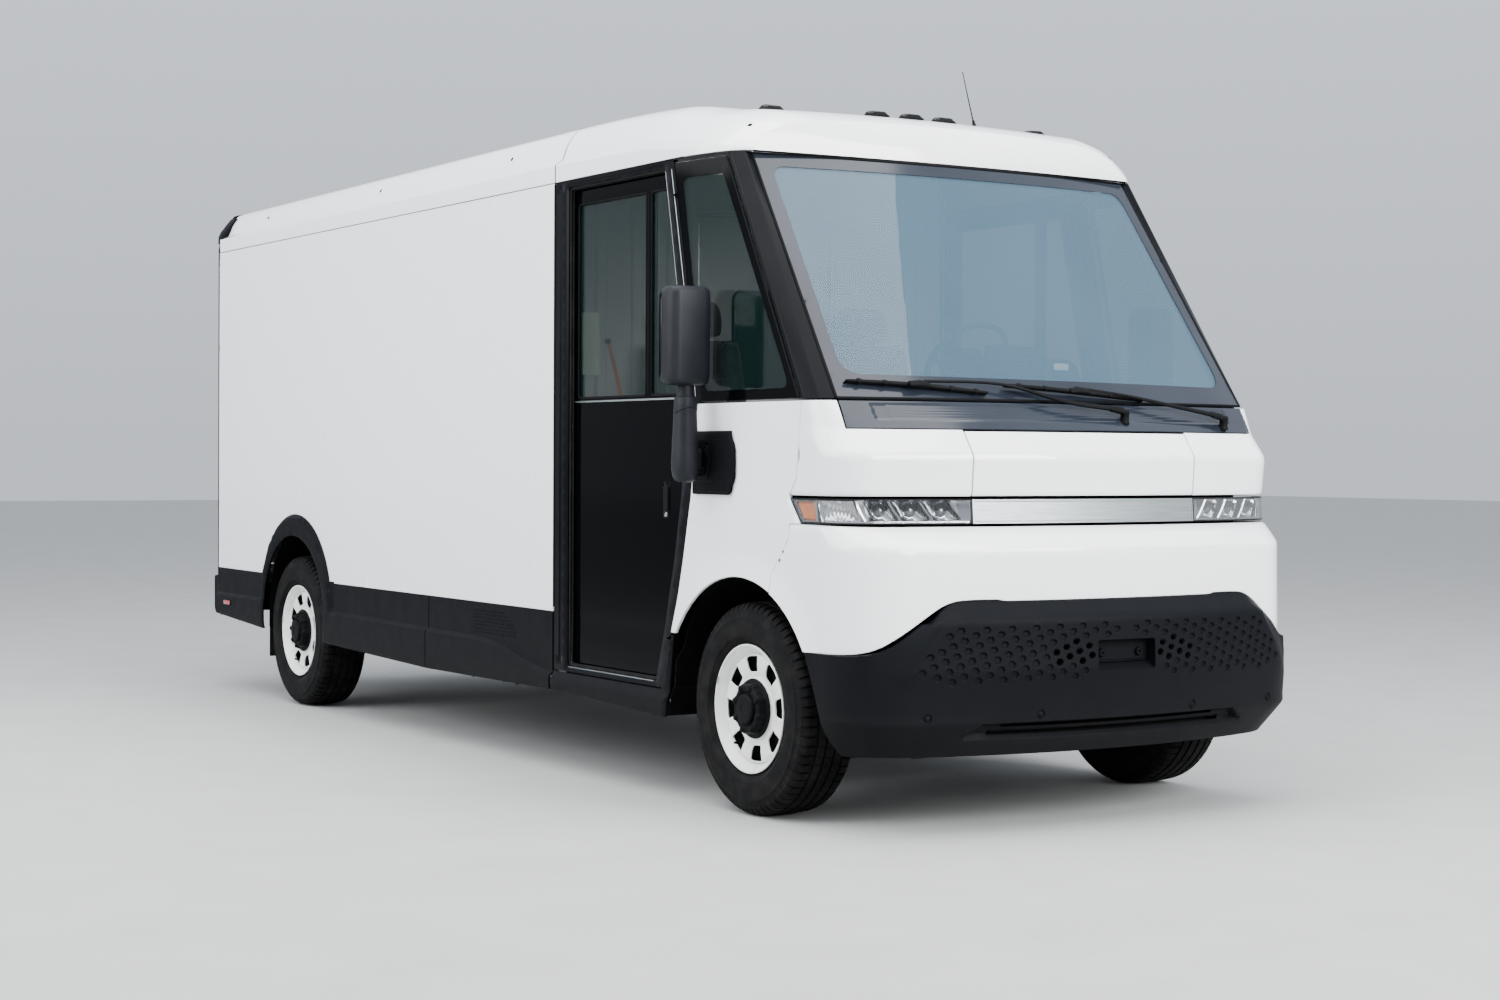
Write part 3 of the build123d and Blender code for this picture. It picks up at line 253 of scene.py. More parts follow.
m = MATS["frame_steel"] = new_mat("frame_steel", (0.018, 0.018, 0.019), 0.5)
mottle(m, (0.014, 0.014, 0.015), (0.05, 0.045, 0.04), 9.0, 8.0, 0.45, 0.8)
noise_bump(m, 120.0, 0.3, 0.001)

m = MATS["axle_iron"] = new_mat("axle_iron", (0.05, 0.048, 0.045), 0.65, metal=0.4)
mottle(m, (0.03, 0.03, 0.03), (0.11, 0.085, 0.065), 14.0, 8.0, 0.4, 0.75)
noise_bump(m, 200.0, 0.5, 0.001)

m = MATS["pack_case"] = new_mat("pack_case", (0.10, 0.105, 0.11), 0.5, metal=0.5)
mottle(m, (0.08, 0.084, 0.09), (0.14, 0.14, 0.14), 5.0)
noise_bump(m, 60.0, 0.2, 0.001, edge=0.004)

m = MATS["wheel_paint"] = new_mat("wheel_paint", (0.72, 0.72, 0.71), 0.35, coat=0.3)
mottle(m, (0.74, 0.74, 0.73), (0.55, 0.53, 0.49), 18.0, 8.0, 0.55, 0.85)
noise_bump(m, 260.0, 0.1, 0.0006, edge=0.004)

m = MATS["tyre"] = new_mat("tyre_rubber", (0.003, 0.003, 0.0033), 0.72, spec=0.10)
mottle(m, (0.0026, 0.0026, 0.0030), (0.010, 0.0095, 0.009), 16.0, 8.0, 0.45, 0.8)
noise_bump(m, 420.0, 0.25, 0.0006)
rough_noise(m, 0.6, 0.85, 24.0)


def glass(name, tint_and_sky, alpha, rough=0.02, streak=0.0):
    """thin pane with a tint: clearer face on, with faint smears in its polish. On the windshield the tint colour is a
    painted reflection of the sky.
    """
    g = new_mat(name, tint_and_sky, rough, coat=0.0, spec=0.5, alpha=alpha)
    n = node(g, "ShaderNodeTexNoise", Scale=1.7, Detail=6.0)
    link(g, coords(g, (1.0, 1.0, 0.35)), n.inputs["Vector"])
    r = g.node_tree.nodes.new("ShaderNodeMapRange")
    r.inputs["From Min"].default_value, r.inputs["From Max"].default_value = 0.35, 0.75
    r.inputs["To Min"].default_value, r.inputs["To Max"].default_value = alpha - streak, alpha + streak
    link(g, n.outputs["Fac"], r.inputs["Value"])
    # opacity rises towards grazing angles; on the windshield this strengthens the painted sky reflection there
    lw = g.node_tree.nodes.new("ShaderNodeLayerWeight")
    lw.inputs["Blend"].default_value = 0.35
    mr = g.node_tree.nodes.new("ShaderNodeMapRange")
    mr.inputs["To Min"].default_value, mr.inputs["To Max"].default_value = 0.0, 0.40
    link(g, lw.outputs["Fresnel"], mr.inputs["Value"])
    add = g.node_tree.nodes.new("ShaderNodeMath")
    add.use_clamp = True
    link(g, r.outputs["Result"], add.inputs[0])
    link(g, mr.outputs["Result"], add.inputs[1])
    link(g, add.outputs[0], g.node_tree.nodes["Principled BSDF"].inputs["Alpha"])
    rough_noise(g, rough * 0.6, rough * 1.8, 2.5)
    return g


MATS["clear_glass"] = glass("clear_glass", (0.004, 0.013, 0.012), 0.38, 0.015, 0.05)
# windshield: its pale blue colour is a painted reflection of the sky, not a tint of the glass
MATS["windshield_painted_sky_glass"] = glass("windshield_painted_sky_glass", (0.064, 0.118, 0.165), 0.30, 0.006, 0.06)
MATS["privacy_glass"] = glass("privacy_glass", (0.004, 0.006, 0.006), 0.62, 0.015, 0.05)
MATS["lamp_lens"] = glass("lamp_lens", (0.16, 0.17, 0.18), 0.05, 0.02, 0.01)

m = MATS["pillar_satin"] = new_mat("pillar_satin", (0.0022, 0.0024, 0.0032), 0.24, spec=0.06)
mottle(m, (0.0014, 0.0017, 0.0026), (0.0026, 0.0030, 0.0042), 5.0)
noise_bump(m, 600.0, 0.08, 0.0003, edge=0.003)

m = MATS["mirror_silver"] = new_mat("mirror_silver", (0.80, 0.82, 0.83), 0.03, metal=1.0)
mottle(m, (0.78, 0.80, 0.81), (0.84, 0.86, 0.87), 3.0)

# near-black matte; also used as painted shade behind the wheel windows
m = MATS["pit_black"] = new_mat("pit_black", (0.004, 0.004, 0.005), 0.9, spec=0.2)
mottle(m, (0.003, 0.003, 0.003), (0.008, 0.008, 0.009), 12.0)

m = MATS["projector_glass"] = new_mat("projector_glass", (0.02, 0.025, 0.035), 0.05, coat=1.0, spec=0.8)
mottle(m, (0.012, 0.016, 0.024), (0.05, 0.055, 0.07), 40.0)

m = MATS["amber_lens"] = new_mat("amber_lens", (0.85, 0.20, 0.01), 0.12, coat=0.9)
v = node(m, "ShaderNodeTexVoronoi", Scale=220.0)
link(m, coords(m), v.inputs["Vector"])
bump(m, v.outputs["Distance"], 0.4, 0.001)
mottle(m, (0.80, 0.17, 0.008), (0.95, 0.30, 0.02), 60.0)

m = MATS["lamp_chrome"] = new_mat("lamp_chrome", (0.62, 0.63, 0.65), 0.12, metal=1.0)
noise_bump(m, 40.0, 0.1, 0.002)

m = MATS["bar_metal"] = new_mat("bar_metal", (0.30, 0.33, 0.34), 0.32, metal=0.85, coat=0.3)
streak = coords(m, (0.6, 1.0, 60.0))
mottle(m, (0.24, 0.27, 0.28), (0.42, 0.45, 0.46), 12.0, 6.0, 0.3, 0.7, co=streak)
noise_bump(m, 40.0, 0.12, 0.0005, vec=streak)

m = MATS["red_lens"] = new_mat("red_lens", (0.35, 0.012, 0.012), 0.12, coat=0.8)
v = node(m, "ShaderNodeTexVoronoi", Scale=160.0)
link(m, coords(m), v.inputs["Vector"])
bump(m, v.outputs["Distance"], 0.4, 0.001)

m = MATS["cab_plastic"] = new_mat("cab_plastic", (0.0028, 0.0029, 0.0034), 0.5, spec=0.06)
mottle(m, (0.0022, 0.0023, 0.0027), (0.0042, 0.0043, 0.0049), 6.0)
grain_bump(m, 500.0, 0.3, 0.0006, edge=0.008)

m = MATS["seat_cloth"] = new_mat("seat_cloth", (0.035, 0.036, 0.040), 0.85, sheen=0.4)
w1 = m.node_tree.nodes.new("ShaderNodeTexWave")
w1.inputs["Scale"].default_value = 180.0
w2 = m.node_tree.nodes.new("ShaderNodeTexWave")
w2.bands_direction = "Z"
w2.inputs["Scale"].default_value = 180.0
co = coords(m)
link(m, co, w1.inputs["Vector"])
link(m, co, w2.inputs["Vector"])
mx = m.node_tree.nodes.new("ShaderNodeMath")
mx.operation = "MULTIPLY"
link(m, w1.outputs["Fac"], mx.inputs[0])
link(m, w2.outputs["Fac"], mx.inputs[1])
bump(m, mx.outputs[0], 0.5, 0.001)
mottle(m, (0.028, 0.029, 0.033), (0.055, 0.056, 0.06), 30.0)

m = MATS["floor_metal"] = new_mat("floor_metal", (0.35, 0.36, 0.37), 0.4, metal=0.8)
mottle(m, (0.28, 0.29, 0.30), (0.42, 0.43, 0.44), 5.0)
w = m.node_tree.nodes.new("ShaderNodeTexWave")
w.inputs["Scale"].default_value = 8.0
link(m, coords(m), w.inputs["Vector"])
bump(m, w.outputs["Fac"], 0.5, 0.004)

m = MATS["liner_grey"] = new_mat("liner_grey", (0.50, 0.51, 0.52), 0.5)
mottle(m, (0.47, 0.48, 0.49), (0.54, 0.55, 0.56), 4.0)
noise_bump(m, 300.0, 0.15, 0.0006, edge=0.004)

m = MATS["floor_pale"] = new_mat("floor_pale", (0.36, 0.36, 0.355), 0.85, spec=0.3)
mottle(m, (0.345, 0.345, 0.34), (0.375, 0.375, 0.37), 2.4, 8.0, 0.3, 0.7)
noise_bump(m, 160.0, 0.12, 0.001)
floor.data.materials.append(m)

m = MATS["paper_green"] = new_mat("paper_green", (0.78, 0.92, 0.72), 0.7)
mottle(m, (0.80, 0.93, 0.74), (0.70, 0.84, 0.65), 9.0, 6.0, 0.3, 0.75)
noise_bump(m, 240.0, 0.12, 0.0004)

m = MATS["paper_white"] = new_mat("paper_white", (0.74, 0.74, 0.72), 0.7)
mottle(m, (0.76, 0.76, 0.74), (0.66, 0.66, 0.64), 9.0, 6.0, 0.3, 0.75)
noise_bump(m, 240.0, 0.12, 0.0004)

m = MATS["strap_orange"] = new_mat("strap_orange", (0.80, 0.22, 0.03), 0.7, sheen=0.3)
mottle(m, (0.82, 0.23, 0.03), (0.62, 0.15, 0.02), 60.0, 6.0, 0.4, 0.7)
grain_bump(m, 900.0, 0.5, 0.0008)

m = MATS["screen_glass"] = new_mat("screen_glass", (0.004, 0.005, 0.006), 0.08, spec=0.5)
noise_bump(m, 2.0, 0.02, 0.001)
rough_noise(m, 0.05, 0.14, 20.0)

m = MATS["rubber_mat"] = new_mat("rubber_mat", (0.005, 0.005, 0.0055), 0.7, spec=0.12)
mottle(m, (0.0045, 0.0045, 0.005), (0.014, 0.013, 0.012), 12.0, 8.0, 0.45, 0.8)
noise_bump(m, 320.0, 0.4, 0.0008)

# ------------------------------------------------------------- mesh helpers
from mathutils.geometry import delaunay_2d_cdt


def f(y):
    """distance behind the front axle -> row Y"""
    return FA + y


def put(name, me, mats, body="body", swap=(), slot=None, angle=35.0, mods=()):
    """links a mesh as a finished piece that rides on a body"""
    for mat in (mats if isinstance(mats, (list, tuple)) else [mats]):
        me.materials.append(MATS[mat])
    me.shade_smooth()
    me.set_sharp_from_angle(angle=math.radians(angle))
    if any(kind == "SOLIDIFY" for kind, _ in mods):
        # open borders stay crisp once the sheet has its thickness
        uses = [0] * len(me.edges)
        for loop in me.loops:
            uses[loop.edge_index] += 1
        for edge, n in zip(me.edges, uses):
            if n == 1:
                edge.use_edge_sharp = True
    obj = bpy.data.objects.new(name, me)
    bpy.context.collection.objects.link(obj)
    for kind, values in mods:
        mod = obj.modifiers.new(kind.lower(), kind)
        for key, value in values.items():
            setattr(mod, key, value)
    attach(obj, body)
    if swap:
        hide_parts(*swap)
    slot or (mats if isinstance(mats, str) else mats[0])
    return obj


SHELL = lambda t: ("SOLIDIFY", dict(thickness=t, offset=-1.0, use_even_offset=False))
SOFT = lambda w, n=2, a=40: ("BEVEL", dict(width=w, segments=n, limit_method="ANGLE", angle_limit=math.radians(a), harden_normals=True))


class Shape:
    """collects faces from several simple forms into one mesh"""

    def __init__(self):
        self.v, self.f, self.m = [], [], []

    def add(self, verts, faces, m=0):
        n = len(self.v)
        self.v += [tuple(p) for p in verts]
        self.f += [tuple(n + i for i in face) for face in faces]
        self.m += [m] * len(faces)
        return self

    def grid(self, rows, m=0, wrap_u=False, wrap_v=False):
        nu, nv = len(rows), len(rows[0])
        faces = []
        for i in range(nu if wrap_u else nu - 1):
            for j in range(nv if wrap_v else nv - 1):
                a, b = i * nv + j, i * nv + (j + 1) % nv
                c, d = ((i + 1) % nu) * nv + (j + 1) % nv, ((i + 1) % nu) * nv + j
                faces.append((a, b, c, d))
        return self.add([p for row in rows for p in row], faces, m)

    def loft(self, rings, m=0, cap=True, close=False):
        """closed rings of points joined one after another"""
        n = len(rings[0])
        faces = []
        count = len(rings) if close else len(rings) - 1
        for i in range(count):
            k = (i + 1) % len(rings)
            for j in range(n):
                faces.append((i * n + j, i * n + (j + 1) % n, k * n + (j + 1) % n, k * n + j))
        if cap and not close:
            faces.append(tuple(range(n - 1, -1, -1)))
            faces.append(tuple((len(rings) - 1) * n + j for j in range(n)))
        return self.add([p for ring in rings for p in ring], faces, m)

    def lathe(self, profile, origin, axis, segs=48, m=0, close=False, cap=False, start=0.0):
        """profile of (along axis, radius) turned about axis through origin"""
        q = Vector((0, 0, 1)).rotation_difference(Vector(axis).normalized())
        o = Vector(origin)
        rows = []
        for along, r in profile:
            rows.append([o + q @ Vector((r * math.cos(start + 2 * math.pi * k / segs), r * math.sin(start + 2 * math.pi * k / segs), along)) for k in range(segs)])
        self.grid(rows, m, wrap_u=close, wrap_v=True)
        if cap:
            base = len(self.v) - len(profile) * segs
            self.f += [tuple(base + k for k in range(segs - 1, -1, -1)), tuple(base + (len(profile) - 1) * segs + k for k in range(segs))]
            self.m += [m, m]
        return self

    def tube(self, pts, r, segs=12, m=0):
        """round bar along a path, r one radius or one for each point"""
        pts = [Vector(p) for p in pts]
        rings = []
        ref = Vector((0.123, 0.077, 0.99))
        for i, p in enumerate(pts):
            d = (pts[min(i + 1, len(pts) - 1)] - pts[max(i - 1, 0)]).normalized()
            u = d.cross(ref).normalized()
            w = d.cross(u).normalized()
            ri = r[i] if isinstance(r, (list, tuple)) else r
            rings.append([p + ri * (u * math.cos(2 * math.pi * k / segs) + w * math.sin(2 * math.pi * k / segs)) for k in range(segs)])
        return self.loft(rings, m)

    def block(self, lo, hi, r=0.004, m=0, n=3, at=None):
        """box with rounded edges, at an optional matrix"""
        lo, hi = Vector(lo), Vector(hi)
        c, h = (lo + hi) / 2, (hi - lo) / 2
        r = min(r, h.x * 0.999, h.y * 0.999, h.z * 0.999)
        levels = []
        for k in range(n + 1):
            a = math.pi / 2 * k / n
            levels.append((-h.z + r * (1 - math.sin(a)), r * (1 - math.cos(a))))
        levels = levels[0:] + [(-z, d) for z, d in reversed(levels)]
        rings = []
        for z, d in levels:
            ring = []
            rr = max(r - d, 1e-5)
            for qx, qy, a0 in ((1, 1, 0), (-1, 1, 90), (-1, -1, 180), (1, -1, 270)):
                for k in range(n + 1):
                    a = math.radians(a0 + 90 * k / n)
                    ring.append(c + Vector((qx * (h.x - d - rr) + rr * math.cos(a), qy * (h.y - d - rr) + rr * math.sin(a), z)))
            rings.append([at @ p for p in ring] if at else ring)
        return self.loft(rings, m)

    def prism(self, outline, depth, at, r=0.0, m=0, n=2):
        """flat outline (u, v) pushed along w of a matrix, front edge eased by r"""
        cx = sum(p[0] for p in outline) / len(outline)
        cy = sum(p[1] for p in outline) / len(outline)
        size = max(max(abs(p[0] - cx), abs(p[1] - cy)) for p in outline)
        rings = [[at @ Vector((u, v, 0)) for u, v in outline]]
        if r:
            for k in range(n + 1):
                a = math.pi / 2 * k / n
                s = 1 - r * (1 - math.cos(a)) / size
                rings.append([at @ Vector((cx + (u - cx) * s, cy + (v - cy) * s, depth - r + r * math.sin(a))) for u, v in outline])
        else:
            rings.append([at @ Vector((u, v, depth)) for u, v in outline])
        return self.loft(rings, m)

    def mesh(self, name):
        me = bpy.data.meshes.new(name)
        me.from_pydata(self.v, [], self.f)
        me.polygons.foreach_set("material_index", self.m)
        bm = bmesh.new()
        bm.from_mesh(me)
        bmesh.ops.remove_doubles(bm, verts=bm.verts, dist=1e-6)
        bmesh.ops.recalc_face_normals(bm, faces=bm.faces)
        bm.to_mesh(me)
        bm.free()
        me.update()
        return me

    def obj(self, name, mats, **kw):
        return put(name, self.mesh(name), mats, **kw)


def frame_at(origin, u, v):
    """matrix whose x and y run along u and v"""
    u = Vector(u).normalized()
    w = u.cross(Vector(v)).normalized()
    v = w.cross(u)
    o = Vector(origin)
    return Matrix(((u.x, v.x, w.x, o.x), (u.y, v.y, w.y, o.y), (u.z, v.z, w.z, o.z), (0, 0, 0, 1)))


def ngon(n, r, phase=0.0, sx=1.0, sy=1.0):
    return [(sx * r * math.cos(phase + 2 * math.pi * k / n), sy * r * math.sin(phase + 2 * math.pi * k / n)) for k in range(n)]


def rrect(w, h, r, n=4):
    out = []
    for qx, qy, a0 in ((1, 1, 0), (-1, 1, 90), (-1, -1, 180), (1, -1, 270)):
        for k in range(n + 1):
            a = math.radians(a0 + 90 * k / n)
            out.append((qx * (w / 2 - r) + r * math.cos(a), qy * (h / 2 - r) + r * math.sin(a)))
    return out


def resample(poly, step):
    """closed outline cut into runs no longer than step"""
    out = []
    for i, a in enumerate(poly):
        b = poly[(i + 1) % len(poly)]
        n = max(1, int(math.ceil(math.dist(a, b) / step)))
        out += [(a[0] + (b[0] - a[0]) * k / n, a[1] + (b[1] - a[1]) * k / n) for k in range(n)]
    return out


def rounded(poly, radii):
    """closed outline with its corners turned into short arcs"""
    out = []
    n = len(poly)
    for i, p in enumerate(poly):
        r = radii[i] if isinstance(radii, (list, tuple)) else radii
        p = Vector(p)
        a, b = Vector(poly[i - 1]) - p, Vector(poly[(i + 1) % n]) - p
        if r <= 0:
            out.append(tuple(p))
            continue
        ang = a.angle(b)
        d = min(r / max(math.tan(ang / 2), 1e-3), 0.45 * a.length, 0.45 * b.length)
        p0, p1 = p + a.normalized() * d, p + b.normalized() * d
        for k in range(6):
            t = k / 5
            out.append(tuple(p0 * (1 - t) ** 2 + p * 2 * t * (1 - t) + p1 * t ** 2))
    return out


def inside(p, poly):
    x, y = p
    hit = False
    for i in range(len(poly)):
        (x0, y0), (x1, y1) = poly[i - 1], poly[i]
        if (y0 > y) != (y1 > y) and x < x0 + (y - y0) * (x1 - x0) / (y1 - y0):
            hit = not hit
    return hit


def smooth01(t):
    t = max(0.0, min(1.0, t))
    return t * t * (3 - 2 * t)


def edge_dist(p, poly, closed=True):
    """distance from a point to an outline"""
    best = 1e9
    px, py = p
    for i in range(0 if closed else 1, len(poly)):
        ax, ay = poly[i - 1]
        bx, by = poly[i]
        dx, dy = bx - ax, by - ay
        q = dx * dx + dy * dy
        t = 0.0 if q == 0 else max(0.0, min(1.0, ((px - ax) * dx + (py - ay) * dy) / q))
        d = math.hypot(px - ax - t * dx, py - ay - t * dy)
        best = min(best, d)
    return best


def skin(outline, surf, step, holes=(), rim=None, lines=()):
    """open mesh over a flat outline (u, v), carried onto surf(u, v).

    Points fill the outline on a staggered grid; holes are left open, lines are kept as edges.
    """
    rim = rim or step
    loops = [resample(outline, rim)] + [resample(h, rim) for h in holes]
    pts, edges = [], []
    marks = [resample(q, rim) for q in lines]
    for loop in loops + marks:
        n = len(pts)
        pts += [Vector(p) for p in loop]
        edges += [(n + i, n + (i + 1) % len(loop)) for i in range(len(loop))]
    us, vs = [p[0] for p in loops[0]], [p[1] for p in loops[0]]
    cell = {}
    for loop in loops + marks:
        for p in loop:
            cell.setdefault((int(p[0] // rim), int(p[1] // rim)), []).append(p)

    def near(p, d):
        cx, cy = int(p[0] // rim), int(p[1] // rim)
        for i in (cx - 1, cx, cx + 1):
            for j in (cy - 1, cy, cy + 1):
                for q in cell.get((i, j), ()):
                    if math.dist(p, q) < d:
                        return True
        return False

    row, v = 0, min(vs) + step * 0.43
    while v < max(vs):
        cuts = []
        for loop in loops:
            for i in range(len(loop)):
                (x0, y0), (x1, y1) = loop[i - 1], loop[i]
                if (y0 > v) != (y1 > v):
                    cuts.append(x0 + (v - y0) * (x1 - x0) / (y1 - y0))
        cuts.sort()
        for a, b in zip(cuts[::2], cuts[1::2]):
            k = math.ceil(a / step - 0.5 * (row % 2))
            while (k + 0.5 * (row % 2)) * step < b:
                p = ((k + 0.5 * (row % 2)) * step, v)
                if not near(p, min(step, rim) * 0.55):
                    pts.append(Vector(p))
                k += 1
        v += step * 0.8
        row += 1
    out_v, _, out_f = delaunay_2d_cdt(pts, edges, [], 0, 1e-7)[:3]
    keep = []
    for face in out_f:
        c = (sum(out_v[i][0] for i in face) / len(face), sum(out_v[i][1] for i in face) / len(face))
        if inside(c, loops[0]) and not any(inside(c, h) for h in loops[1:]):
            keep.append(tuple(face))
    return [surf(p[0], p[1]) for p in out_v], keep


def skin_mesh(name, parts, outward):
    """joins (verts, faces) pairs and turns every face to outward(centre)"""
    me = bpy.data.meshes.new(name)
    verts, faces, mi = [], [], []
    for part in parts:
        vs, fs = part[0], part[1]
        n = len(verts)
        verts += [tuple(p) for p in vs]
        faces += [tuple(n + i for i in q) for q in fs]
        mi += [part[2] if len(part) > 2 else 0] * len(fs)
    me.from_pydata(verts, [], faces)
    me.polygons.foreach_set("material_index", mi)
    bm = bmesh.new()
    bm.from_mesh(me)
    bmesh.ops.delete(bm, geom=[v for v in bm.verts if not v.link_faces], context="VERTS")
    bmesh.ops.remove_doubles(bm, verts=bm.verts, dist=1e-5)
    flip = [q for q in bm.faces if q.normal.dot(outward(q.calc_center_median())) < 0]
    bmesh.ops.reverse_faces(bm, faces=flip)
    bm.to_mesh(me)
    bm.free()
    me.update()
    return me


# ------------------------------------------------------------ nose surfaces
# rows: height, front at centre line, end of front arc (x, y), half width
UPPER_NOSE = [(1.110, -0.778, 0.908, -0.688, 1.060), (1.219, -0.768, 0.910, -0.680, 1.060), (1.372, -0.778, 0.918, -0.690, 1.060),
              (1.465, -0.722, 0.935, -0.604, 1.060), (1.574, -0.622, 0.985, -0.520, 1.060)]
LOWER_NOSE = [(0.630, -0.916, 0.860, -0.815, 1.062), (1.040, -0.908, 0.860, -0.808, 1.062), (1.119, -0.778, 0.908, -0.688, 1.060)]
BUMPER_NOSE = [(0.290, -0.892, 0.790, -0.778, 1.046), (0.405, -0.944, 0.835, -0.856, 1.070), (0.600, -0.985, 0.840, -0.876, 1.072),
               (0.785, -0.976, 0.838, -0.868, 1.070), (0.858, -0.906, 0.838, -0.812, 1.060)]


def row_at(table, z, soft=0.012):
    acc = [0.0] * 4
    n = 7
    for k in range(n):
        zz = z + soft * (2 * k / (n - 1) - 1)
        i = 0
        while i < len(table) - 2 and zz > table[i + 1][0]:
            i += 1
        a, b = table[i], table[i + 1]
        t = (zz - a[0]) / (b[0] - a[0])
        for j in range(4):
            acc[j] += (a[j + 1] + (b[j + 1] - a[j + 1]) * t) / n
    return acc


_row_cache = {}


def nose_row(table, z, soft=0.012):
    key = (id(table), round(z, 5), soft)
    if key not in _row_cache:
        yc, xk, yk, hw = row_at(table, z, soft)
        phi = 2 * math.atan((yk - yc) / xk)
        r0 = xk / math.sin(phi)
        r1 = (hw - xk) / (1 - math.sin(phi))
        _row_cache[key] = (yc, xk, yk, hw, phi, r0, r1, yk + r1 * math.cos(phi))
    return _row_cache[key]


def nose_at(table, s, z, inset=0.0, soft=0.012):
    """point at plan parameter s: 0 centre, 1 end of front arc, 2 side, then metres"""
    yc, xk, yk, hw, phi, r0, r1, y_side = nose_row(table, z, soft)
    a, sg = abs(s), (1 if s >= 0 else -1)
    if a <= 1:
        t = a * phi
        x, y, nx, ny = (r0 - inset) * math.sin(t), yc + r0 - (r0 - inset) * math.cos(t), math.sin(t), -math.cos(t)
    elif a <= 2:
        t = phi + (a - 1) * (math.pi / 2 - phi)
        x, y, nx, ny = hw - r1 + (r1 - inset) * math.sin(t), y_side - (r1 - inset) * math.cos(t), math.sin(t), -math.cos(t)
    else:
        x, y, nx, ny = hw - inset, y_side + a - 2, 1.0, 0.0
    return Vector((sg * x, f(y), z)), Vector((sg * nx, ny, 0))


# the flat domain of the nose: front arc and corner arc unrolled to metres
ARC_M, CORNER_M = 0.92, 0.24


def s_of_t(t):
    a, sg = abs(t), (1 if t >= 0 else -1)
    if a < ARC_M:
        return sg * a / ARC_M
    if a < ARC_M + CORNER_M:
        return sg * (1 + (a - ARC_M) / CORNER_M)
    return sg * (2 + a - ARC_M - CORNER_M)


def t_of_s(s):
    a, sg = abs(s), (1 if s >= 0 else -1)
    if a < 1:
        return sg * a * ARC_M
    if a < 2:
        return sg * (ARC_M + (a - 1) * CORNER_M)
    return sg * (ARC_M + CORNER_M + a - 2)


def t_from_x(table, x, z):
    lo, hi = 0.0, 2.0
    for _ in range(30):
        mid = (lo + hi) / 2
        if nose_at(table, mid, z)[0].x < abs(x):
            lo = mid
        else:
            hi = mid
    return t_of_s(lo) * (1 if x >= 0 else -1)


def t_from_y(table, y, z, side=1):
    y_side = nose_row(table, z)[7]
    if y >= y_side:
        return side * t_of_s(2 + y - y_side)
    lo, hi = 0.0, 2.0
    for _ in range(30):
        mid = (lo + hi) / 2
        if nose_at(table, mid, z)[0].y < f(y):
            lo = mid
        else:
            hi = mid
    return side * t_of_s(lo)


def nose_surf(table, push=None, soft=0.012):
    """surface function over (t, z), pushed outward by push(t, z, point)"""
    def surf(t, z):
        s = s_of_t(t)
        p, n = nose_at(table, s, z, 0.0, soft)
        d = push(t, z, p) if push else 0.0
        if d:
            up = nose_at(table, s, z + 0.004, 0.0, soft)[0] - nose_at(table, s, z - 0.004, 0.0, soft)[0]
            side = Vector((-n.y, n.x, 0))
            nn = side.cross(up)
            if nn.dot(n) < 0:
                nn = -nn
            p = p + nn.normalized() * d
        return p
    return surf

# ------------------------------------------------------------- nose panels
ARCH_Y, ARCH_Z, ARCH_R = 0.020, 0.351, 0.557


def arch_pts(z_from, y_to, n=18, r=ARCH_R):
    """points on the front arch from its front foot up to y_to"""
    a0 = math.pi - math.asin((z_from - ARCH_Z) / r)
    a1 = math.acos((y_to - ARCH_Y) / r)
    return [(ARCH_Y + r * math.cos(a0 + (a1 - a0) * k / n), ARCH_Z + r * math.sin(a0 + (a1 - a0) * k / n)) for k in range(n + 1)]


def flare(y, z, width=0.105, height=0.011):
    """soft swelling round the front arch with a firmer lip"""
    d = math.hypot(y - ARCH_Y, z - ARCH_Z) - ARCH_R
    d = max(d, 0.0)
    return height * (1 - smooth01(d / width)) + 0.003 * (1 - smooth01((d - 0.012) / 0.012))


def bumper_top(x):
    """height of the bumper's upper edge across the front"""
    pts = [(0, 0.847), (0.498, 0.847), (0.512, 0.853), (0.640, 0.853), (0.720, 0.846), (0.990, 0.664), (1.120, 0.648)]

    def at(q):
        q = abs(q)
        for (xa, za), (xb, zb) in zip(pts, pts[1:]):
            if q <= xb:
                return za + (zb - za) * (q - xa) / (xb - xa)
        return pts[-1][1]
    soft = 0.006 if abs(x) < 0.56 else 0.045
    return sum(at(abs(x) + soft * k / 4) for k in range(-4, 5)) / 9


def mirror_outline(half):
    """half outline from the centre bottom round to the centre top -> closed outline"""
    return half + [(-t, z) for t, z in reversed(half) if abs(t) > 1e-6]


# front panel: from the bumper and the arches up to the lamps
half = []
for k in range(60):
    x = 1.0605 * k / 59
    half.append((t_from_x(LOWER_NOSE, x, bumper_top(x) + 0.003) if k else 0.0, bumper_top(x) + 0.003))
z_foot = bumper_top(1.07) + 0.003
for y, z in arch_pts(z_foot, -0.215):
    half.append((t_from_y(LOWER_NOSE, y, z), z))
for y, z in ((-0.215, 0.89), (-0.215, 0.930), (-0.253, 0.978), (-0.292, 1.026), (-0.330, 1.074), (-0.330, 1.119)):
    half.append((t_from_y(LOWER_NOSE, y, z), z))
for k in range(1, 30):
    t = half[-1][0] if k == 0 else t_from_y(LOWER_NOSE, -0.330, 1.119) * (1 - k / 29)
    half.append((t, 1.119))


def panel_push(t, z, p):
    w = smooth01((abs(p.x) - 0.97) / 0.07)
    return w * flare(p.y - FA, z) - 0.006 * smooth01((z - 1.106) / 0.012)


front_surf = nose_surf(LOWER_NOSE, panel_push, soft=0.011)
nose_out = lambda c: Vector((c.x * 0.55, c.y - f(0.2), 0))
side_out = lambda c: Vector((c.x, 0, 0))
me = skin_mesh("front_panel_skin", [skin(mirror_outline(half), front_surf, 0.022, rim=0.012)], nose_out)
put("front_panel_skin", me, "white_paint", swap=["front_panel"], mods=[SHELL(0.014), SOFT(0.003)])

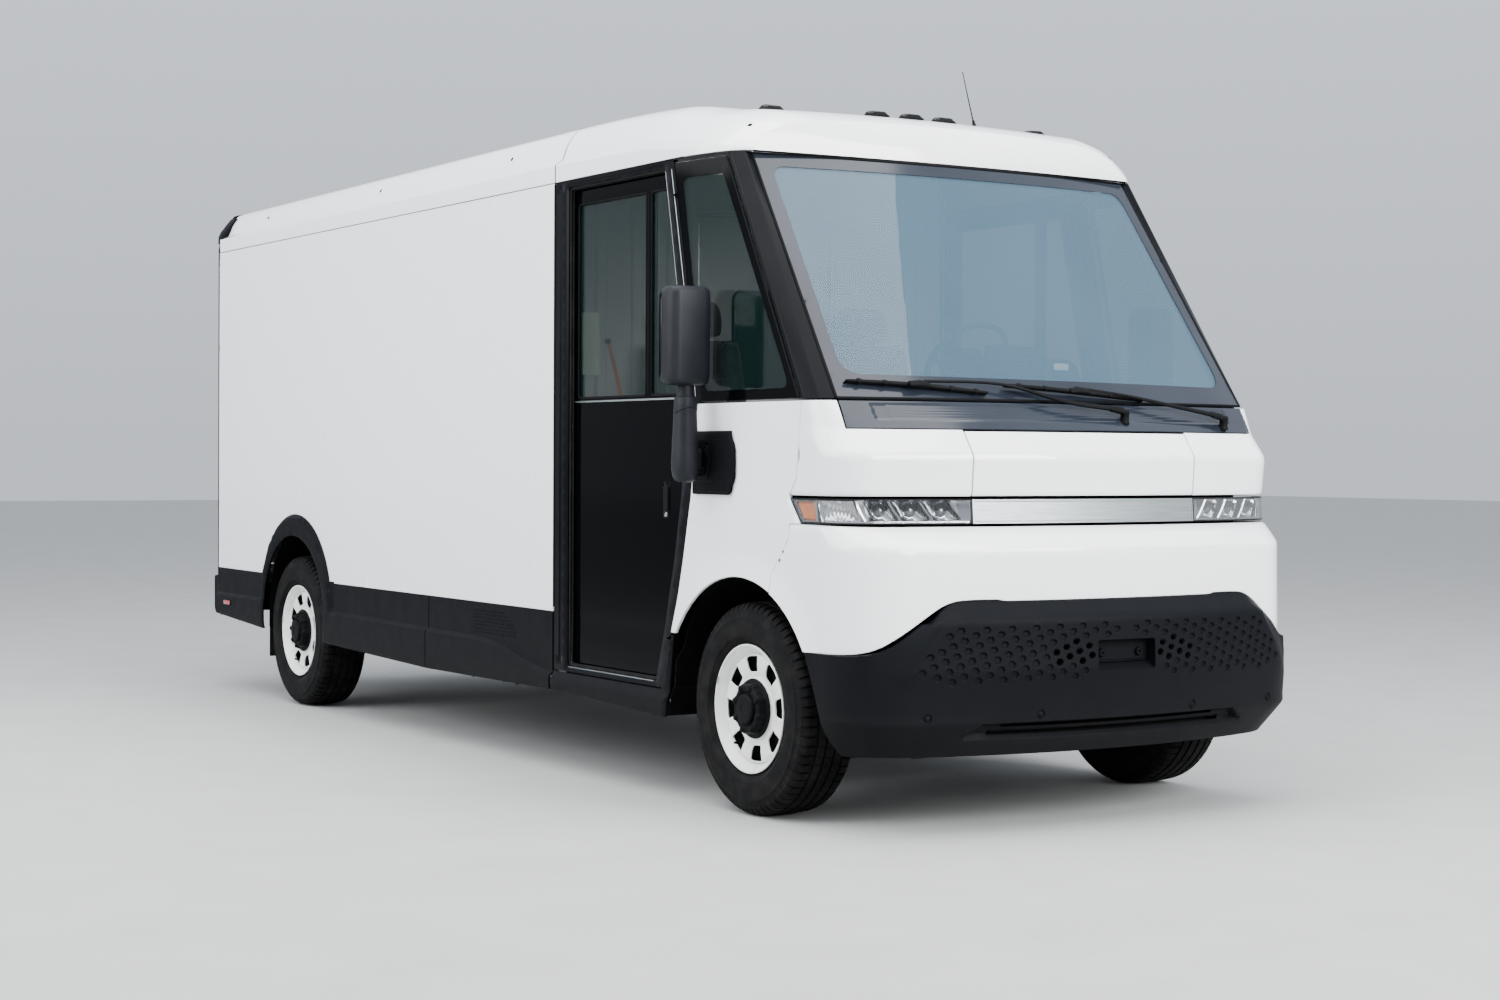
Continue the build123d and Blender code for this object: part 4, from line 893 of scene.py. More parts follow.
# hood
hood_half = [(t_from_x(UPPER_NOSE, 0.532 * k / 20, 1.225) if k else 0.0, 1.225) for k in range(21)]
hood_half += [(t_from_x(UPPER_NOSE, 0.532, 1.225 + 0.236 * k / 12), 1.225 + 0.236 * k / 12) for k in range(1, 13)]
hood_half += [(t_from_x(UPPER_NOSE, 0.532 * (1 - k / 20), 1.461) if k < 20 else 0.0, 1.461) for k in range(1, 21)]


def upper_push(t, z, p):
    return -0.006 * (1 - smooth01((z - 1.223) / 0.013))


me = skin_mesh("hood_skin", [skin(mirror_outline(hood_half), nose_surf(UPPER_NOSE, upper_push, 0.013), 0.020, rim=0.012)], nose_out)
put("hood_skin", me, "white_paint", body="hood", swap=["hood"], mods=[SHELL(0.012), SOFT(0.003)])

# corners beside the hood, wrapping round to the fenders
parts = []
for side in (1, -1):
    line = [(t_from_x(UPPER_NOSE, 0.538, 1.224), 1.224)]
    t_end = t_from_y(UPPER_NOSE, -0.331, 1.224)
    line += [(line[0][0] + (t_end - line[0][0]) * k / 24, 1.224) for k in range(1, 25)]
    line += [(t_from_y(UPPER_NOSE, y, z), z) for y, z in ((-0.354, 1.256), (-0.376, 1.288), (-0.380, 1.33), (-0.387, 1.40), (-0.395, 1.47), (-0.402, 1.53), (-0.407, 1.570))]
    t_top = t_from_x(UPPER_NOSE, 0.986, 1.570)
    line += [(line[-1][0] + (t_top - line[-1][0]) * k / 8, 1.570) for k in range(1, 9)]
    line += [(t_from_x(UPPER_NOSE, 0.986, 1.570 - 0.104 * k / 8), 1.570 - 0.104 * k / 8) for k in range(1, 9)]
    t_low = t_from_x(UPPER_NOSE, 0.538, 1.466)
    t_now = line[-1][0]
    line += [(t_now + (t_low - t_now) * k / 20, 1.466) for k in range(1, 21)]
    line += [(t_from_x(UPPER_NOSE, 0.538, 1.466 - 0.242 * k / 12), 1.466 - 0.242 * k / 12) for k in range(1, 12)]
    parts.append(skin([(side * t, z) for t, z in line], nose_surf(UPPER_NOSE, upper_push, 0.013), 0.020, rim=0.012))
me = skin_mesh("front_corner_skin", parts, nose_out)
put("front_corner_skin", me, "white_paint", swap=["front_corners"], mods=[SHELL(0.014), SOFT(0.003)])

# fenders from the nose seam back to the door frame
FENDER = [(-0.403, 1.570), (0.337, 1.570), (0.387, 1.210), (0.447, 0.950), (0.525, 0.665)]
a0, a1 = math.asin((0.665 - ARCH_Z) / ARCH_R), math.acos((-0.206 - ARCH_Y) / ARCH_R)
FENDER += [(ARCH_Y + ARCH_R * math.cos(a0 + (a1 - a0) * k / 40), ARCH_Z + ARCH_R * math.sin(a0 + (a1 - a0) * k / 40)) for k in range(41)]
FENDER += [(-0.2100, 0.9320), (-0.3275, 1.0755), (-0.326, 1.119), (-0.396, 1.121), (-0.325, 1.216), (-0.325, 1.226), (-0.371, 1.290)]
parts = []
for side in (1, -1):
    def fender_surf(y, z, side=side):
        # the edge beside the lamp tip rolls in
        roll = 0.006 * (1 - smooth01((edge_dist((y, z), [(-0.396, 1.121), (-0.325, 1.216)], closed=False) - 0.002) / 0.012))
        return Vector((side * (1.060 + flare(y, z) - roll), f(y), z))
    parts.append(skin(FENDER, fender_surf, 0.018, rim=0.010))
me = skin_mesh("fender_skin", parts, side_out)
put("fender_skin", me, "white_paint", swap=["fenders"], mods=[SHELL(0.014), SOFT(0.003)])

# brushed bar between the lamps: a raised rim round a sunk face
bar_half = [(t_from_x(UPPER_NOSE, 0.533 * k / 20, 1.125) if k else 0.0, 1.125) for k in range(21)]
bar_half += [(t_from_x(UPPER_NOSE, 0.533, 1.125 + 0.088 * k / 6), 1.125 + 0.088 * k / 6) for k in range(1, 7)]
bar_half += [(t_from_x(UPPER_NOSE, 0.533 * (1 - k / 20), 1.213) if k < 20 else 0.0, 1.213) for k in range(1, 21)]


def bar_ring(d):
    t1 = t_from_x(UPPER_NOSE, 0.533 - d, 1.17)
    return [(-t1, 1.125 + d), (t1, 1.125 + d), (t1, 1.213 - d), (-t1, 1.213 - d)]


def bar_push(t, z, p):
    d = min(z - 1.125, 1.213 - z, 0.533 - abs(p.x))
    return -0.004 if d > 0.0085 else 0.0


me = skin_mesh("light_bar_face", [skin(mirror_outline(bar_half), nose_surf(UPPER_NOSE, bar_push), 0.02, rim=0.012, lines=[bar_ring(0.007), bar_ring(0.0095)])], nose_out)
put("light_bar_face", me, "bar_metal", swap=["light_bar"], mods=[SHELL(0.010), SOFT(0.0015)])

# ------------------------------------------------------------ front bumper
CREASE = [(-1.2, 0.30), (-0.965, 0.45), (-0.915, 0.560), (-0.772, 0.768), (-0.735, 0.783), (-0.69, 0.787), (0.69, 0.787), (0.735, 0.783), (0.772, 0.768), (0.915, 0.560), (0.965, 0.45), (1.2, 0.30)]
TOP_LINE = [(x / 100 * 1.12, bumper_top(x / 100 * 1.12)) for x in range(-100, 101, 4)]
SLOT_EDGE = [(-0.60, 0.409), (0.60, 0.409), (0.70, 0.346), (-0.70, 0.346)]


def crease_side(x, z):
    """how far a point has gone from the crease to the top edge, 0 to 1"""
    x = abs(x)
    line = CREASE[6:]
    zc = line[-1][1]
    for (xa, za), (xb, zb) in zip(line, line[1:]):
        if x <= xb:
            zc = za + (zb - za) * (x - max(xa, 0)) / (xb - max(xa, 0)) if x > xa else za
            break
    if x < 0.69:
        zc = 0.787
    if z <= zc and x < 0.99:
        return 0.0
    dc = edge_dist((x, z), line, closed=False)
    de = edge_dist((x, z), TOP_LINE, closed=False)
    return dc / (dc + de + 1e-6)


def step_out(x):
    """how far the bare bumper surface stands proud of the panel at its top edge"""
    z = bumper_top(x)
    p, n = nose_at(BUMPER_NOSE, s_of_t(t_from_x(BUMPER_NOSE, x, z)), z)
    panel = nose_at(LOWER_NOSE, s_of_t(t_from_x(LOWER_NOSE, min(x, 1.055), z)), z)[0]
    return max(0.0, (p - panel).dot(n) - 0.007)


STEP_OUT = [step_out(0.02 * k) for k in range(53)]


def bumper_push(t, z, p):
    x = p.x
    q = crease_side(x, z)
    k = min(abs(x) / 0.02, 51.999)
    gap = STEP_OUT[int(k)] + (STEP_OUT[int(k) + 1] - STEP_OUT[int(k)]) * (k - int(k))
    gap *= (1 - smooth01((abs(x) - 0.97) / 0.06)) * smooth01((z - 0.50) / 0.10)
    d = -q * gap
    # intake recess in the lower lip
    if abs(x) < 0.8 and 0.30 < z < 0.45:
        w = 0.0
        if inside((x, z), SLOT_EDGE):
            w = smooth01(edge_dist((x, z), SLOT_EDGE) / 0.014)
        d -= 0.026 * w
    # soft ridge where the face turns under
    d += 0.003 * math.exp(-((z - 0.418) / 0.012) ** 2) * (1 if abs(x) > 0.62 else 0.4)
    return d


bumper_surf = nose_surf(BUMPER_NOSE, bumper_push, soft=0.010)


def bx(x, z):
    return (t_from_x(BUMPER_NOSE, x, z), z)


half = [(0.0, 0.291)]
half += [(t_from_y(BUMPER_NOSE, -0.600, 0.291) * k / 30, 0.291) for k in range(1, 31)]
for y, z in ((-0.587, 0.33), (-0.573, 0.37), (-0.560, 0.405), (-0.540, 0.45), (-0.520, 0.50), (-0.507, 0.53), (-0.490, 0.57), (-0.470, 0.61), (-0.4485, 0.6545)):
    half.append((t_from_y(BUMPER_NOSE, y, z), z))
for k in range(72):
    x = 1.069 * (1 - k / 72)
    z = bumper_top(x)
    if k and t_from_x(BUMPER_NOSE, x, z) < half[-1][0] - 0.004:
        half.append((t_from_x(BUMPER_NOSE, x, z), z))
half.append((0.0, bumper_top(0)))
bumper_outline = mirror_outline(half)

# rounded pads sunk in a slanted lattice, mirrored about the middle
FIELD = [(-0.765, 0.765), (-0.735, 0.776), (0.735, 0.776), (0.765, 0.765), (0.902, 0.560), (0.890, 0.553), (-0.890, 0.553), (-0.902, 0.560)]
STEP_A, STEP_B = (0.0435, 0.0187), (0.0565, -0.0173)
POCKET = (-0.136, 0.136, 0.589, 0.701)
pads, vents = [], []
for i in range(-40, 41):
    for j in range(-40, 41):
        x = -0.020 + i * STEP_A[0] + j * STEP_B[0]
        z = 0.668 + i * STEP_A[1] + j * STEP_B[1]
        if x > -0.022:
            continue
        for sx in (1, -1):
            c = (sx * x, z)
            if not inside(c, FIELD) or edge_dist(c, FIELD) < 0.014:
                continue
            if POCKET[0] - 0.024 < c[0] < POCKET[1] + 0.024 and POCKET[2] - 0.020 < z < POCKET[3] + 0.020:
                continue
            if (0.150 < abs(c[0]) < 0.355) and 0.618 < z < 0.712 and abs(z - 0.665) + 0.35 * abs(abs(c[0]) - 0.25) < 0.058:
                vents.append(c)
            else:
                pads.append(c)


def pad_ring(c, scale, drop=0.0):
    out = []
    for u, v in rounded(ngon(6, 0.0168 * scale, 0.0, 1.0, 0.86), 0.004):
        out.append((t_from_x(BUMPER_NOSE, c[0] + u, c[1] + v) if abs(c[0] + u) > 1e-6 else 0.0, c[1] + v + drop))
    return out


pocket_loop = [bx(x, z) for x, z in rounded([(POCKET[0], POCKET[2]), (POCKET[1], POCKET[2]), (POCKET[1], POCKET[3]), (POCKET[0], POCKET[3])], 0.010)]
slot_loops = [[bx(x, z) for x, z in [(-w / 2 + w * k / 24, z0) for k in range(25)] + [(w / 2 - w * k / 24, z1) for k in range(25)]] for w, z0, z1 in ((1.02, 0.383, 0.397), (1.12, 0.357, 0.372))]
dots = [(x, z) for x in (-0.819, -0.364, 0.364, 0.819) for z in (0.4400,)]
dot_loops = [[bx(c[0] + u, c[1] + v) for u, v in ngon(16, 0.0165)] for c in dots]
holes = [pocket_loop] + slot_loops + [pad_ring(c, 1.0) for c in vents] + dot_loops
crease_lines = [[bx(x, z) for x, z in CREASE[1:-1]]]
body_part = skin(bumper_outline, bumper_surf, 0.016, holes=holes + [pad_ring(c, 1.0) for c in pads], rim=0.012)

# the sunk pads: a sloped wall and a floor
cups = Shape()


def carried(ring, push):
    out = []
    for t, z in ring:
        p = bumper_surf(t, z)
        n = nose_at(BUMPER_NOSE, s_of_t(t), z)[1]
        out.append(p - n * push)
    return out


for c in pads:
    big, mid = pad_ring(c, 1.0), pad_ring(c, 0.80, 0.0004)
    a, b = carried(big, 0.0), carried(mid, 0.0062)
    n = len(cups.v)
    k = len(a)
    cups.v += [tuple(p) for p in a + b]
    cups.f += [(n + i, n + (i + 1) % k, n + k + (i + 1) % k, n + k + i) for i in range(k)]
    cups.f.append(tuple(n + k + i for i in range(k)))
    cups.m += [0] * (k + 1)
for c in vents:
    big, mid, deep = pad_ring(c, 1.0), pad_ring(c, 0.90), pad_ring(c, 0.86)
    rings = [carried(big, 0.0), carried(mid, 0.004), carried(deep, 0.030)]
    n = len(cups.v)
    k = len(rings[0])
    for r in rings:
        cups.v += [tuple(p) for p in r]
    for q in range(2):
        cups.f += [(n + q * k + i, n + q * k + (i + 1) % k, n + (q + 1) * k + (i + 1) % k, n + (q + 1) * k + i) for i in range(k)]
        cups.m += [0] * k
    cups.f.append(tuple(n + 2 * k + i for i in range(k)))
    cups.m.append(1)
# turned-in edge along the top
edge_line = [p for p in resample(bumper_outline, 0.02) if p[1] > 0.652 and p[1] > bumper_top(nose_at(BUMPER_NOSE, s_of_t(p[0]), p[1])[0].x) - 0.004]
edge_line.sort()
ev, ef = [], []
for t, z in edge_line:
    p = bumper_surf(t, z)
    n = nose_at(BUMPER_NOSE, s_of_t(t), z)[1]
    ev += [p, p - n * 0.006 + Vector((0, 0, 0.0022)), p - n * 0.040 + Vector((0, 0, 0.002))]
for k in range(len(edge_line) - 1):
    if math.dist(edge_line[k], edge_line[k + 1]) < 0.06:
        for q in range(2):
            ef.append((3 * k + q, 3 * k + 3 + q, 3 * k + 4 + q, 3 * k + 1 + q))
me = skin_mesh("front_bumper_skin", [body_part, (cups.v, cups.f), (ev, ef)], lambda c: Vector((c.x * 0.55, c.y - f(0.2), 0.8 if c.z > 0.66 else 0)))
put("front_bumper_skin", me, "dark_trim", swap=["front_bumper"], angle=28, mods=[SHELL(0.004)])

# plate pocket: tray behind the opening with a sloped lower ledge and two screw bosses
tray = Shape()
ring0 = carried([bx(x, z) for x, z in rounded([(POCKET[0] - 0.001, POCKET[2] - 0.001), (POCKET[1] + 0.001, POCKET[2] - 0.001), (POCKET[1] + 0.001, POCKET[3] + 0.001), (POCKET[0] - 0.001, POCKET[3] + 0.001)], 0.010)], 0.001)
y_back = f(-0.936)
ring1 = [Vector((p.x, p.y + 0.004, p.z)) for p in ring0]
ring2 = [Vector((p.x * 0.955, y_back, 0.645 + (p.z - 0.645) * 0.90 + (0.020 if p.z < 0.645 else 0.0))) for p in ring0]
tray.grid([ring0, ring1, ring2], wrap_v=True)
tray.f.append(tuple(len(tray.v) - len(ring2) + k for k in range(len(ring2))))
tray.m.append(0)
for sx in (-1, 1):
    tray.lathe([(0.0, 0.014), (0.010, 0.0125), (0.011, 0.006), (0.004, 0.0045)], (sx * 0.0889, y_back + 0.001, 0.652), (0, -1, 0), 20)
tray.block((-0.110, y_back - 0.003, 0.618), (0.110, y_back + 0.001, 0.623), 0.001)
tray.obj("plate_pocket", "dark_trim", angle=30, mods=[("SOLIDIFY", dict(thickness=0.002, offset=1.0))])

# bars in the lower intake and a dark duct behind the openings
duct = Shape()
for z in (0.3775, 0.3485):
    row_a, row_b = [], []
    for k in range(41):
        x = -0.60 + 1.20 * k / 40
        p = nose_at(BUMPER_NOSE, s_of_t(bx(x, z)[0]), z)[0]
        row_a.append(Vector((p.x, p.y + 0.036, z + 0.004)))
        row_b.append(Vector((p.x, p.y + 0.075, z - 0.004)))
    duct.grid([row_a, row_b], m=1)
for z0, z1 in ((0.33, 0.42),):
    rows = []
    for z in (z0, z1):
        rows.append([Vector((p.x, p.y + 0.085, z)) for p in (nose_at(BUMPER_NOSE, s_of_t(bx(-0.62 + 1.24 * k / 40, 0.385)[0]), 0.385)[0] for k in range(41))])
    duct.grid(rows, m=1)
duct.obj("bumper_duct", ["dark_trim", "pit_black"], slot="dark_trim", mods=[("SOLIDIFY", dict(thickness=0.002, offset=0.0))])

# parking sensors in rimmed seats
dotted = Shape()
for x, z in dots:
    t, _ = bx(x, z)
    p = bumper_surf(t, z)
    n = nose_at(BUMPER_NOSE, s_of_t(t), z)[1]
    dotted.lathe([(-0.012, 0.0165), (0.0005, 0.0165), (0.0015, 0.0150), (0.0005, 0.0135), (-0.0035, 0.0130)], p, n, 28)
    dotted.lathe([(-0.0035, 0.0130), (-0.004, 0.0115), (-0.0005, 0.0105), (0.0008, 0.0085), (0.0012, 0.0040), (0.0012, 0.0002)], p, n, 28, m=1)
dotted.obj("parking_sensors", ["dark_trim", "cab_plastic"])

# ------------------------------------------------------- wheels and tyres
WHEEL_X, AXLE_Z = 0.914, 0.407
# (offset outboard of the tyre's middle, radius)
TREAD = [(0.1035, 0.399), (0.099, 0.4012), (0.090, 0.4028), (0.068, 0.4048), (0.066, 0.3965), (0.058, 0.3965), (0.056, 0.4055), (0.027, 0.4066),
         (0.025, 0.3975), (0.017, 0.3975), (0.015, 0.4068)]
SIDEWALL = [(0.101, 0.2385), (0.106, 0.2445), (0.1085, 0.2500), (0.1075, 0.2535), (0.118, 0.2620), (0.1255, 0.2760), (0.1285, 0.2780), (0.1300, 0.2860),
            (0.1308, 0.3050), (0.1306, 0.3220), (0.1290, 0.3420), (0.1298, 0.3450), (0.1296, 0.3490), (0.1272, 0.3520), (0.1250, 0.3600), (0.1205, 0.3740),
            (0.1210, 0.3770), (0.1165, 0.3850), (0.1110, 0.3925)]
PITCHES = 68


def tyre_mesh(name, centre, side):
    half = SIDEWALL + TREAD
    profile = half + [(-o, r) for o, r in reversed(half)]
    rows = []
    for k in range(PITCHES):
        for frac, cut in ((0.0, 0), (0.70, 0), (0.76, 1), (0.95, 1)):
            ring = []
            for i, (o, r) in enumerate(profile):
                a = 2 * math.pi * (k + frac) / PITCHES
                ao = abs(o)
                if ao > 0.067 and r > 0.372:
                    # lateral channels through the shoulder, staggered left to right
                    shift = 0.5 if o < 0 else 0.0
                    a += 2 * math.pi * shift / PITCHES + (ao - 0.09) * 0.35
                    if cut:
                        r -= 0.0075 if r > 0.386 else 0.004
                elif 0.014 < ao < 0.060 and r > 0.40:
                    a += (0.04 - ao) * 0.5
                    if cut and frac > 0.8:
                        r -= 0.0022
                if 0.015 < ao < 0.067 and r > 0.372:
                    o = o + 0.0022 * math.sin(a * PITCHES)
                ring.append(Vector((side * o, r * math.cos(a), r * math.sin(a))) + centre)
            rows.append(ring)
    sh = Shape()
    sh.grid(rows, wrap_u=True)
    # inner face of the bead, closing the ring
    inner = []
    for k in range(PITCHES * 4):
        a = 2 * math.pi * k / (PITCHES * 4)
        inner.append([Vector((side * o, r * math.cos(a), r * math.sin(a))) + centre for o, r in ((0.101, 0.2385), (0.094, 0.231), (-0.094, 0.231), (-0.101, 0.2385))])
    sh.grid(inner, wrap_u=True)
    return sh


def disc_offset(r):
    """outboard offset of the wheel disc against radius"""
    pts = [(0.060, 0.0925), (0.098, 0.0925), (0.108, 0.0885), (0.118, 0.0800), (0.130, 0.0795), (0.142, 0.0835), (0.170, 0.0885), (0.196, 0.0900), (0.204, 0.0870), (0.2105, 0.0780)]
    for (ra, oa), (rb, ob) in zip(pts, pts[1:]):
        if r <= rb:
            t = max(0.0, (r - ra) / (rb - ra))
            return oa + (ob - oa) * smooth01(t)
    return pts[-1][1]


def wheel_parts(centre, side, turn):
    def to_world(o, u, v):
        return Vector((side * o, -u, v)) + centre          # u runs towards the nose
    holes = []
    for k in range(8):
        a = turn + math.pi / 4 * k
        ring = rounded([(0.1400, -0.0265), (0.2035, -0.0425), (0.2035, 0.0425), (0.1400, 0.0265)], [0.014, 0.016, 0.016, 0.014])
        holes.append([(r * math.cos(a) - w * math.sin(a), r * math.sin(a) + w * math.cos(a)) for r, w in ring])
    hub = [(0.060 * math.cos(2 * math.pi * k / 40), 0.060 * math.sin(2 * math.pi * k / 40)) for k in range(40)]
    outer = [(0.2105 * math.cos(2 * math.pi * k / 96), 0.2105 * math.sin(2 * math.pi * k / 96)) for k in range(96)]

    def disc_surf(u, v):
        r = math.hypot(u, v)
        o = disc_offset(r)
        # pressed lands round the windows
        d = min(edge_dist((u, v), h) for h in holes if math.dist(h[0], (u, v)) < 0.12) if 0.12 < r < 0.206 else 1.0
        o += 0.0028 * (1 - smooth01(abs(d - 0.010) / 0.008)) if d < 0.02 else 0.0
        return to_world(o, u, v)
    disc = skin(outer, disc_surf, 0.0085, holes=holes + [hub], rim=0.0085)
    return disc, to_world


RIM = [(0.1155, 0.2460), (0.1165, 0.2425), (0.1150, 0.2385), (0.1095, 0.2350), (0.1040, 0.2290), (0.1000, 0.2250), (0.0935, 0.2195), (0.0800, 0.2120), (0.066, 0.2075), (0.020, 0.1960),
       (-0.060, 0.2040), (-0.100, 0.2180), (-0.112, 0.2300), (-0.116, 0.2460), (-0.110, 0.2455), (-0.106, 0.2340), (-0.096, 0.2270), (-0.040, 0.2270), (-0.010, 0.2080),
       (0.060, 0.2110), (0.084, 0.2270), (0.104, 0.2360), (0.1100, 0.2460)]
HUB_RINGS = [(0.0860, 0.1120, 0.0), (0.0900, 0.1150, 0.0), (0.0940, 0.1135, 0.0), (0.0960, 0.1065, 0.002), (0.0975, 0.0965, 0.008), (0.1150, 0.0945, 0.0085),
             (0.1225, 0.0915, 0.0075), (0.1262, 0.0845, 0.005), (0.1270, 0.0740, 0.0025), (0.1255, 0.0675, 0.0), (0.1200, 0.0645, 0.0), (0.1200, 0.0600, 0.0),
             (0.1335, 0.0570, 0.0), (0.1368, 0.0530, 0.0), (0.1378, 0.0440, 0.0), (0.1378, 0.0200, 0.0), (0.1362, 0.0185, 0.0), (0.1362, 0.0008, 0.0)]


def hub_cover(sh, to_world, turn):
    rings = []
    n = 128
    for o, r, amp in HUB_RINGS:
        ring = []
        for k in range(n):
            a = 2 * math.pi * k / n
            lobe = max(0.0, math.cos(8 * (a - turn))) ** 0.6 if amp else 0.0
            rr = r + amp * (lobe - 0.25)
            ring.append(to_world(o, rr * math.cos(a), rr * math.sin(a)))
        rings.append(ring)
    sh.loft(rings, m=0)
    for k in range(8):
        # domed nut caps standing on the lobes
        a = turn + math.pi / 4 * k
        base = to_world(0.118, 0.083 * math.cos(a), 0.083 * math.sin(a))
        axis = to_world(1.118, 0.083 * math.cos(a), 0.083 * math.sin(a)) - base
        sh.lathe([(0.0, 0.0125), (0.0105, 0.0122), (0.0140, 0.0105), (0.0155, 0.0070), (0.0158, 0.0004)], base, axis, 18, m=0)


for corner, side, y_back, turn in (("front_left", 1, 0.0, 0.30), ("front_right", -1, 0.0, math.radians(5)), ("rear_left", 1, 4.645, 0.62), ("rear_right", -1, 4.645, math.radians(17))):
    centre = Vector((side * WHEEL_X, f(y_back), AXLE_Z))
    body = f"wheel_{corner}"
    tyre_mesh(corner, centre, side).obj(f"tread_tyre_{corner}", "tyre", body=body, swap=[f"tyre_{corner}"], angle=32)
    disc, to_world = wheel_parts(centre, side, turn)
    me = skin_mesh(f"wheel_disc_{corner}", [disc], lambda c, s=side: Vector((s, 0, 0)))
    put(f"wheel_disc_{corner}", me, "wheel_paint", body=body, swap=[f"wheel_{corner}"], angle=40, mods=[SHELL(0.0055), SOFT(0.0016, 2, 50)])
    rim = Shape()
    rows = [[to_world(o, r * math.cos(2 * math.pi * k / 96), r * math.sin(2 * math.pi * k / 96)) for k in range(96)] for o, r in RIM]
    rim.grid(rows, wrap_u=True, wrap_v=True)
    # hub bore behind the disc, and the brake drum seen through the windows
    rim.loft([[to_world(o, r * math.cos(2 * math.pi * k / 48), r * math.sin(2 * math.pi * k / 48)) for k in range(48)] for o, r in ((0.074, 0.112), (0.086, 0.110), (0.086, 0.060))], cap=False)
    rim.obj(f"wheel_rim_{corner}", "wheel_paint", body=body, angle=35)
    drum = Shape()
    rings = [[to_world(o, r * math.cos(2 * math.pi * k / 64), r * math.sin(2 * math.pi * k / 64)) for k in range(64)]
             for o, r in ((-0.040, 0.150), (-0.036, 0.163), (0.010, 0.163), (0.014, 0.158), (0.018, 0.163), (0.030, 0.160), (0.036, 0.150), (0.040, 0.110), (0.074, 0.100), (0.076, 0.062))]
    drum.loft(rings, cap=False)
    # dark sheet filling the barrel behind the windows: painted shade, so that the windows read dark
    rings = [[to_world(o, r * math.cos(2 * math.pi * k / 64), r * math.sin(2 * math.pi * k / 64)) for k in range(64)]
             for o, r in ((0.0740, 0.2078), (0.0660, 0.2058), (0.0500, 0.2012), (0.0440, 0.1990), (0.0440, 0.1970), (0.0500, 0.1940), (0.0470, 0.1800), (0.0500, 0.1700), (0.0560, 0.1200), (0.0560, 0.1130))]
    drum.loft(rings, cap=False, m=1)
    drum.obj(f"brake_drum_and_shade_disc_{corner}", ["axle_iron", "pit_black"], body=body, slot="axle_iron", angle=35)
    cover = Shape()
    hub_cover(cover, to_world, turn + math.pi / 8)
    # valve stem standing in a window
    a = turn + math.pi / 4 * 5
    foot = to_world(0.066, 0.196 * math.cos(a), 0.196 * math.sin(a))
    tip = to_world(0.104, 0.184 * math.cos(a), 0.184 * math.sin(a))
    cover.tube([foot, foot.lerp(tip, 0.7), foot.lerp(tip, 0.72), tip], [0.0045, 0.0040, 0.0052, 0.0048], 12)
    cover.obj(f"hub_cover_{corner}", "cab_plastic", body=body, angle=35)
    for k, y_off in enumerate((0.33,)):
        # balance weight clipped to the rim edge
        a = turn + 2.6
        arc = [to_world(0.1175, 0.2395 * math.cos(a + 0.018 * q), 0.2395 * math.sin(a + 0.018 * q)) for q in range(8)]
        weight = Shape()
        weight.tube(arc, [0.0015] + [0.0030] * 6 + [0.0015], 8)
        weight.obj(f"balance_weight_{corner}", "bar_metal", body=body)

# --------------------------------------------------------------- headlamps
def lamp_pt(side, t, z, inset):
    p, n = nose_at(UPPER_NOSE, s_of_t(t), z, inset)
    return Vector((side * p.x, p.y, p.z))


def tip_t(z):
    """rear end of the lamp opening on the body side"""
    y = -0.400 + (z - 1.124) / 0.090 * 0.074
    return t_from_y(UPPER_NOSE, y, z)


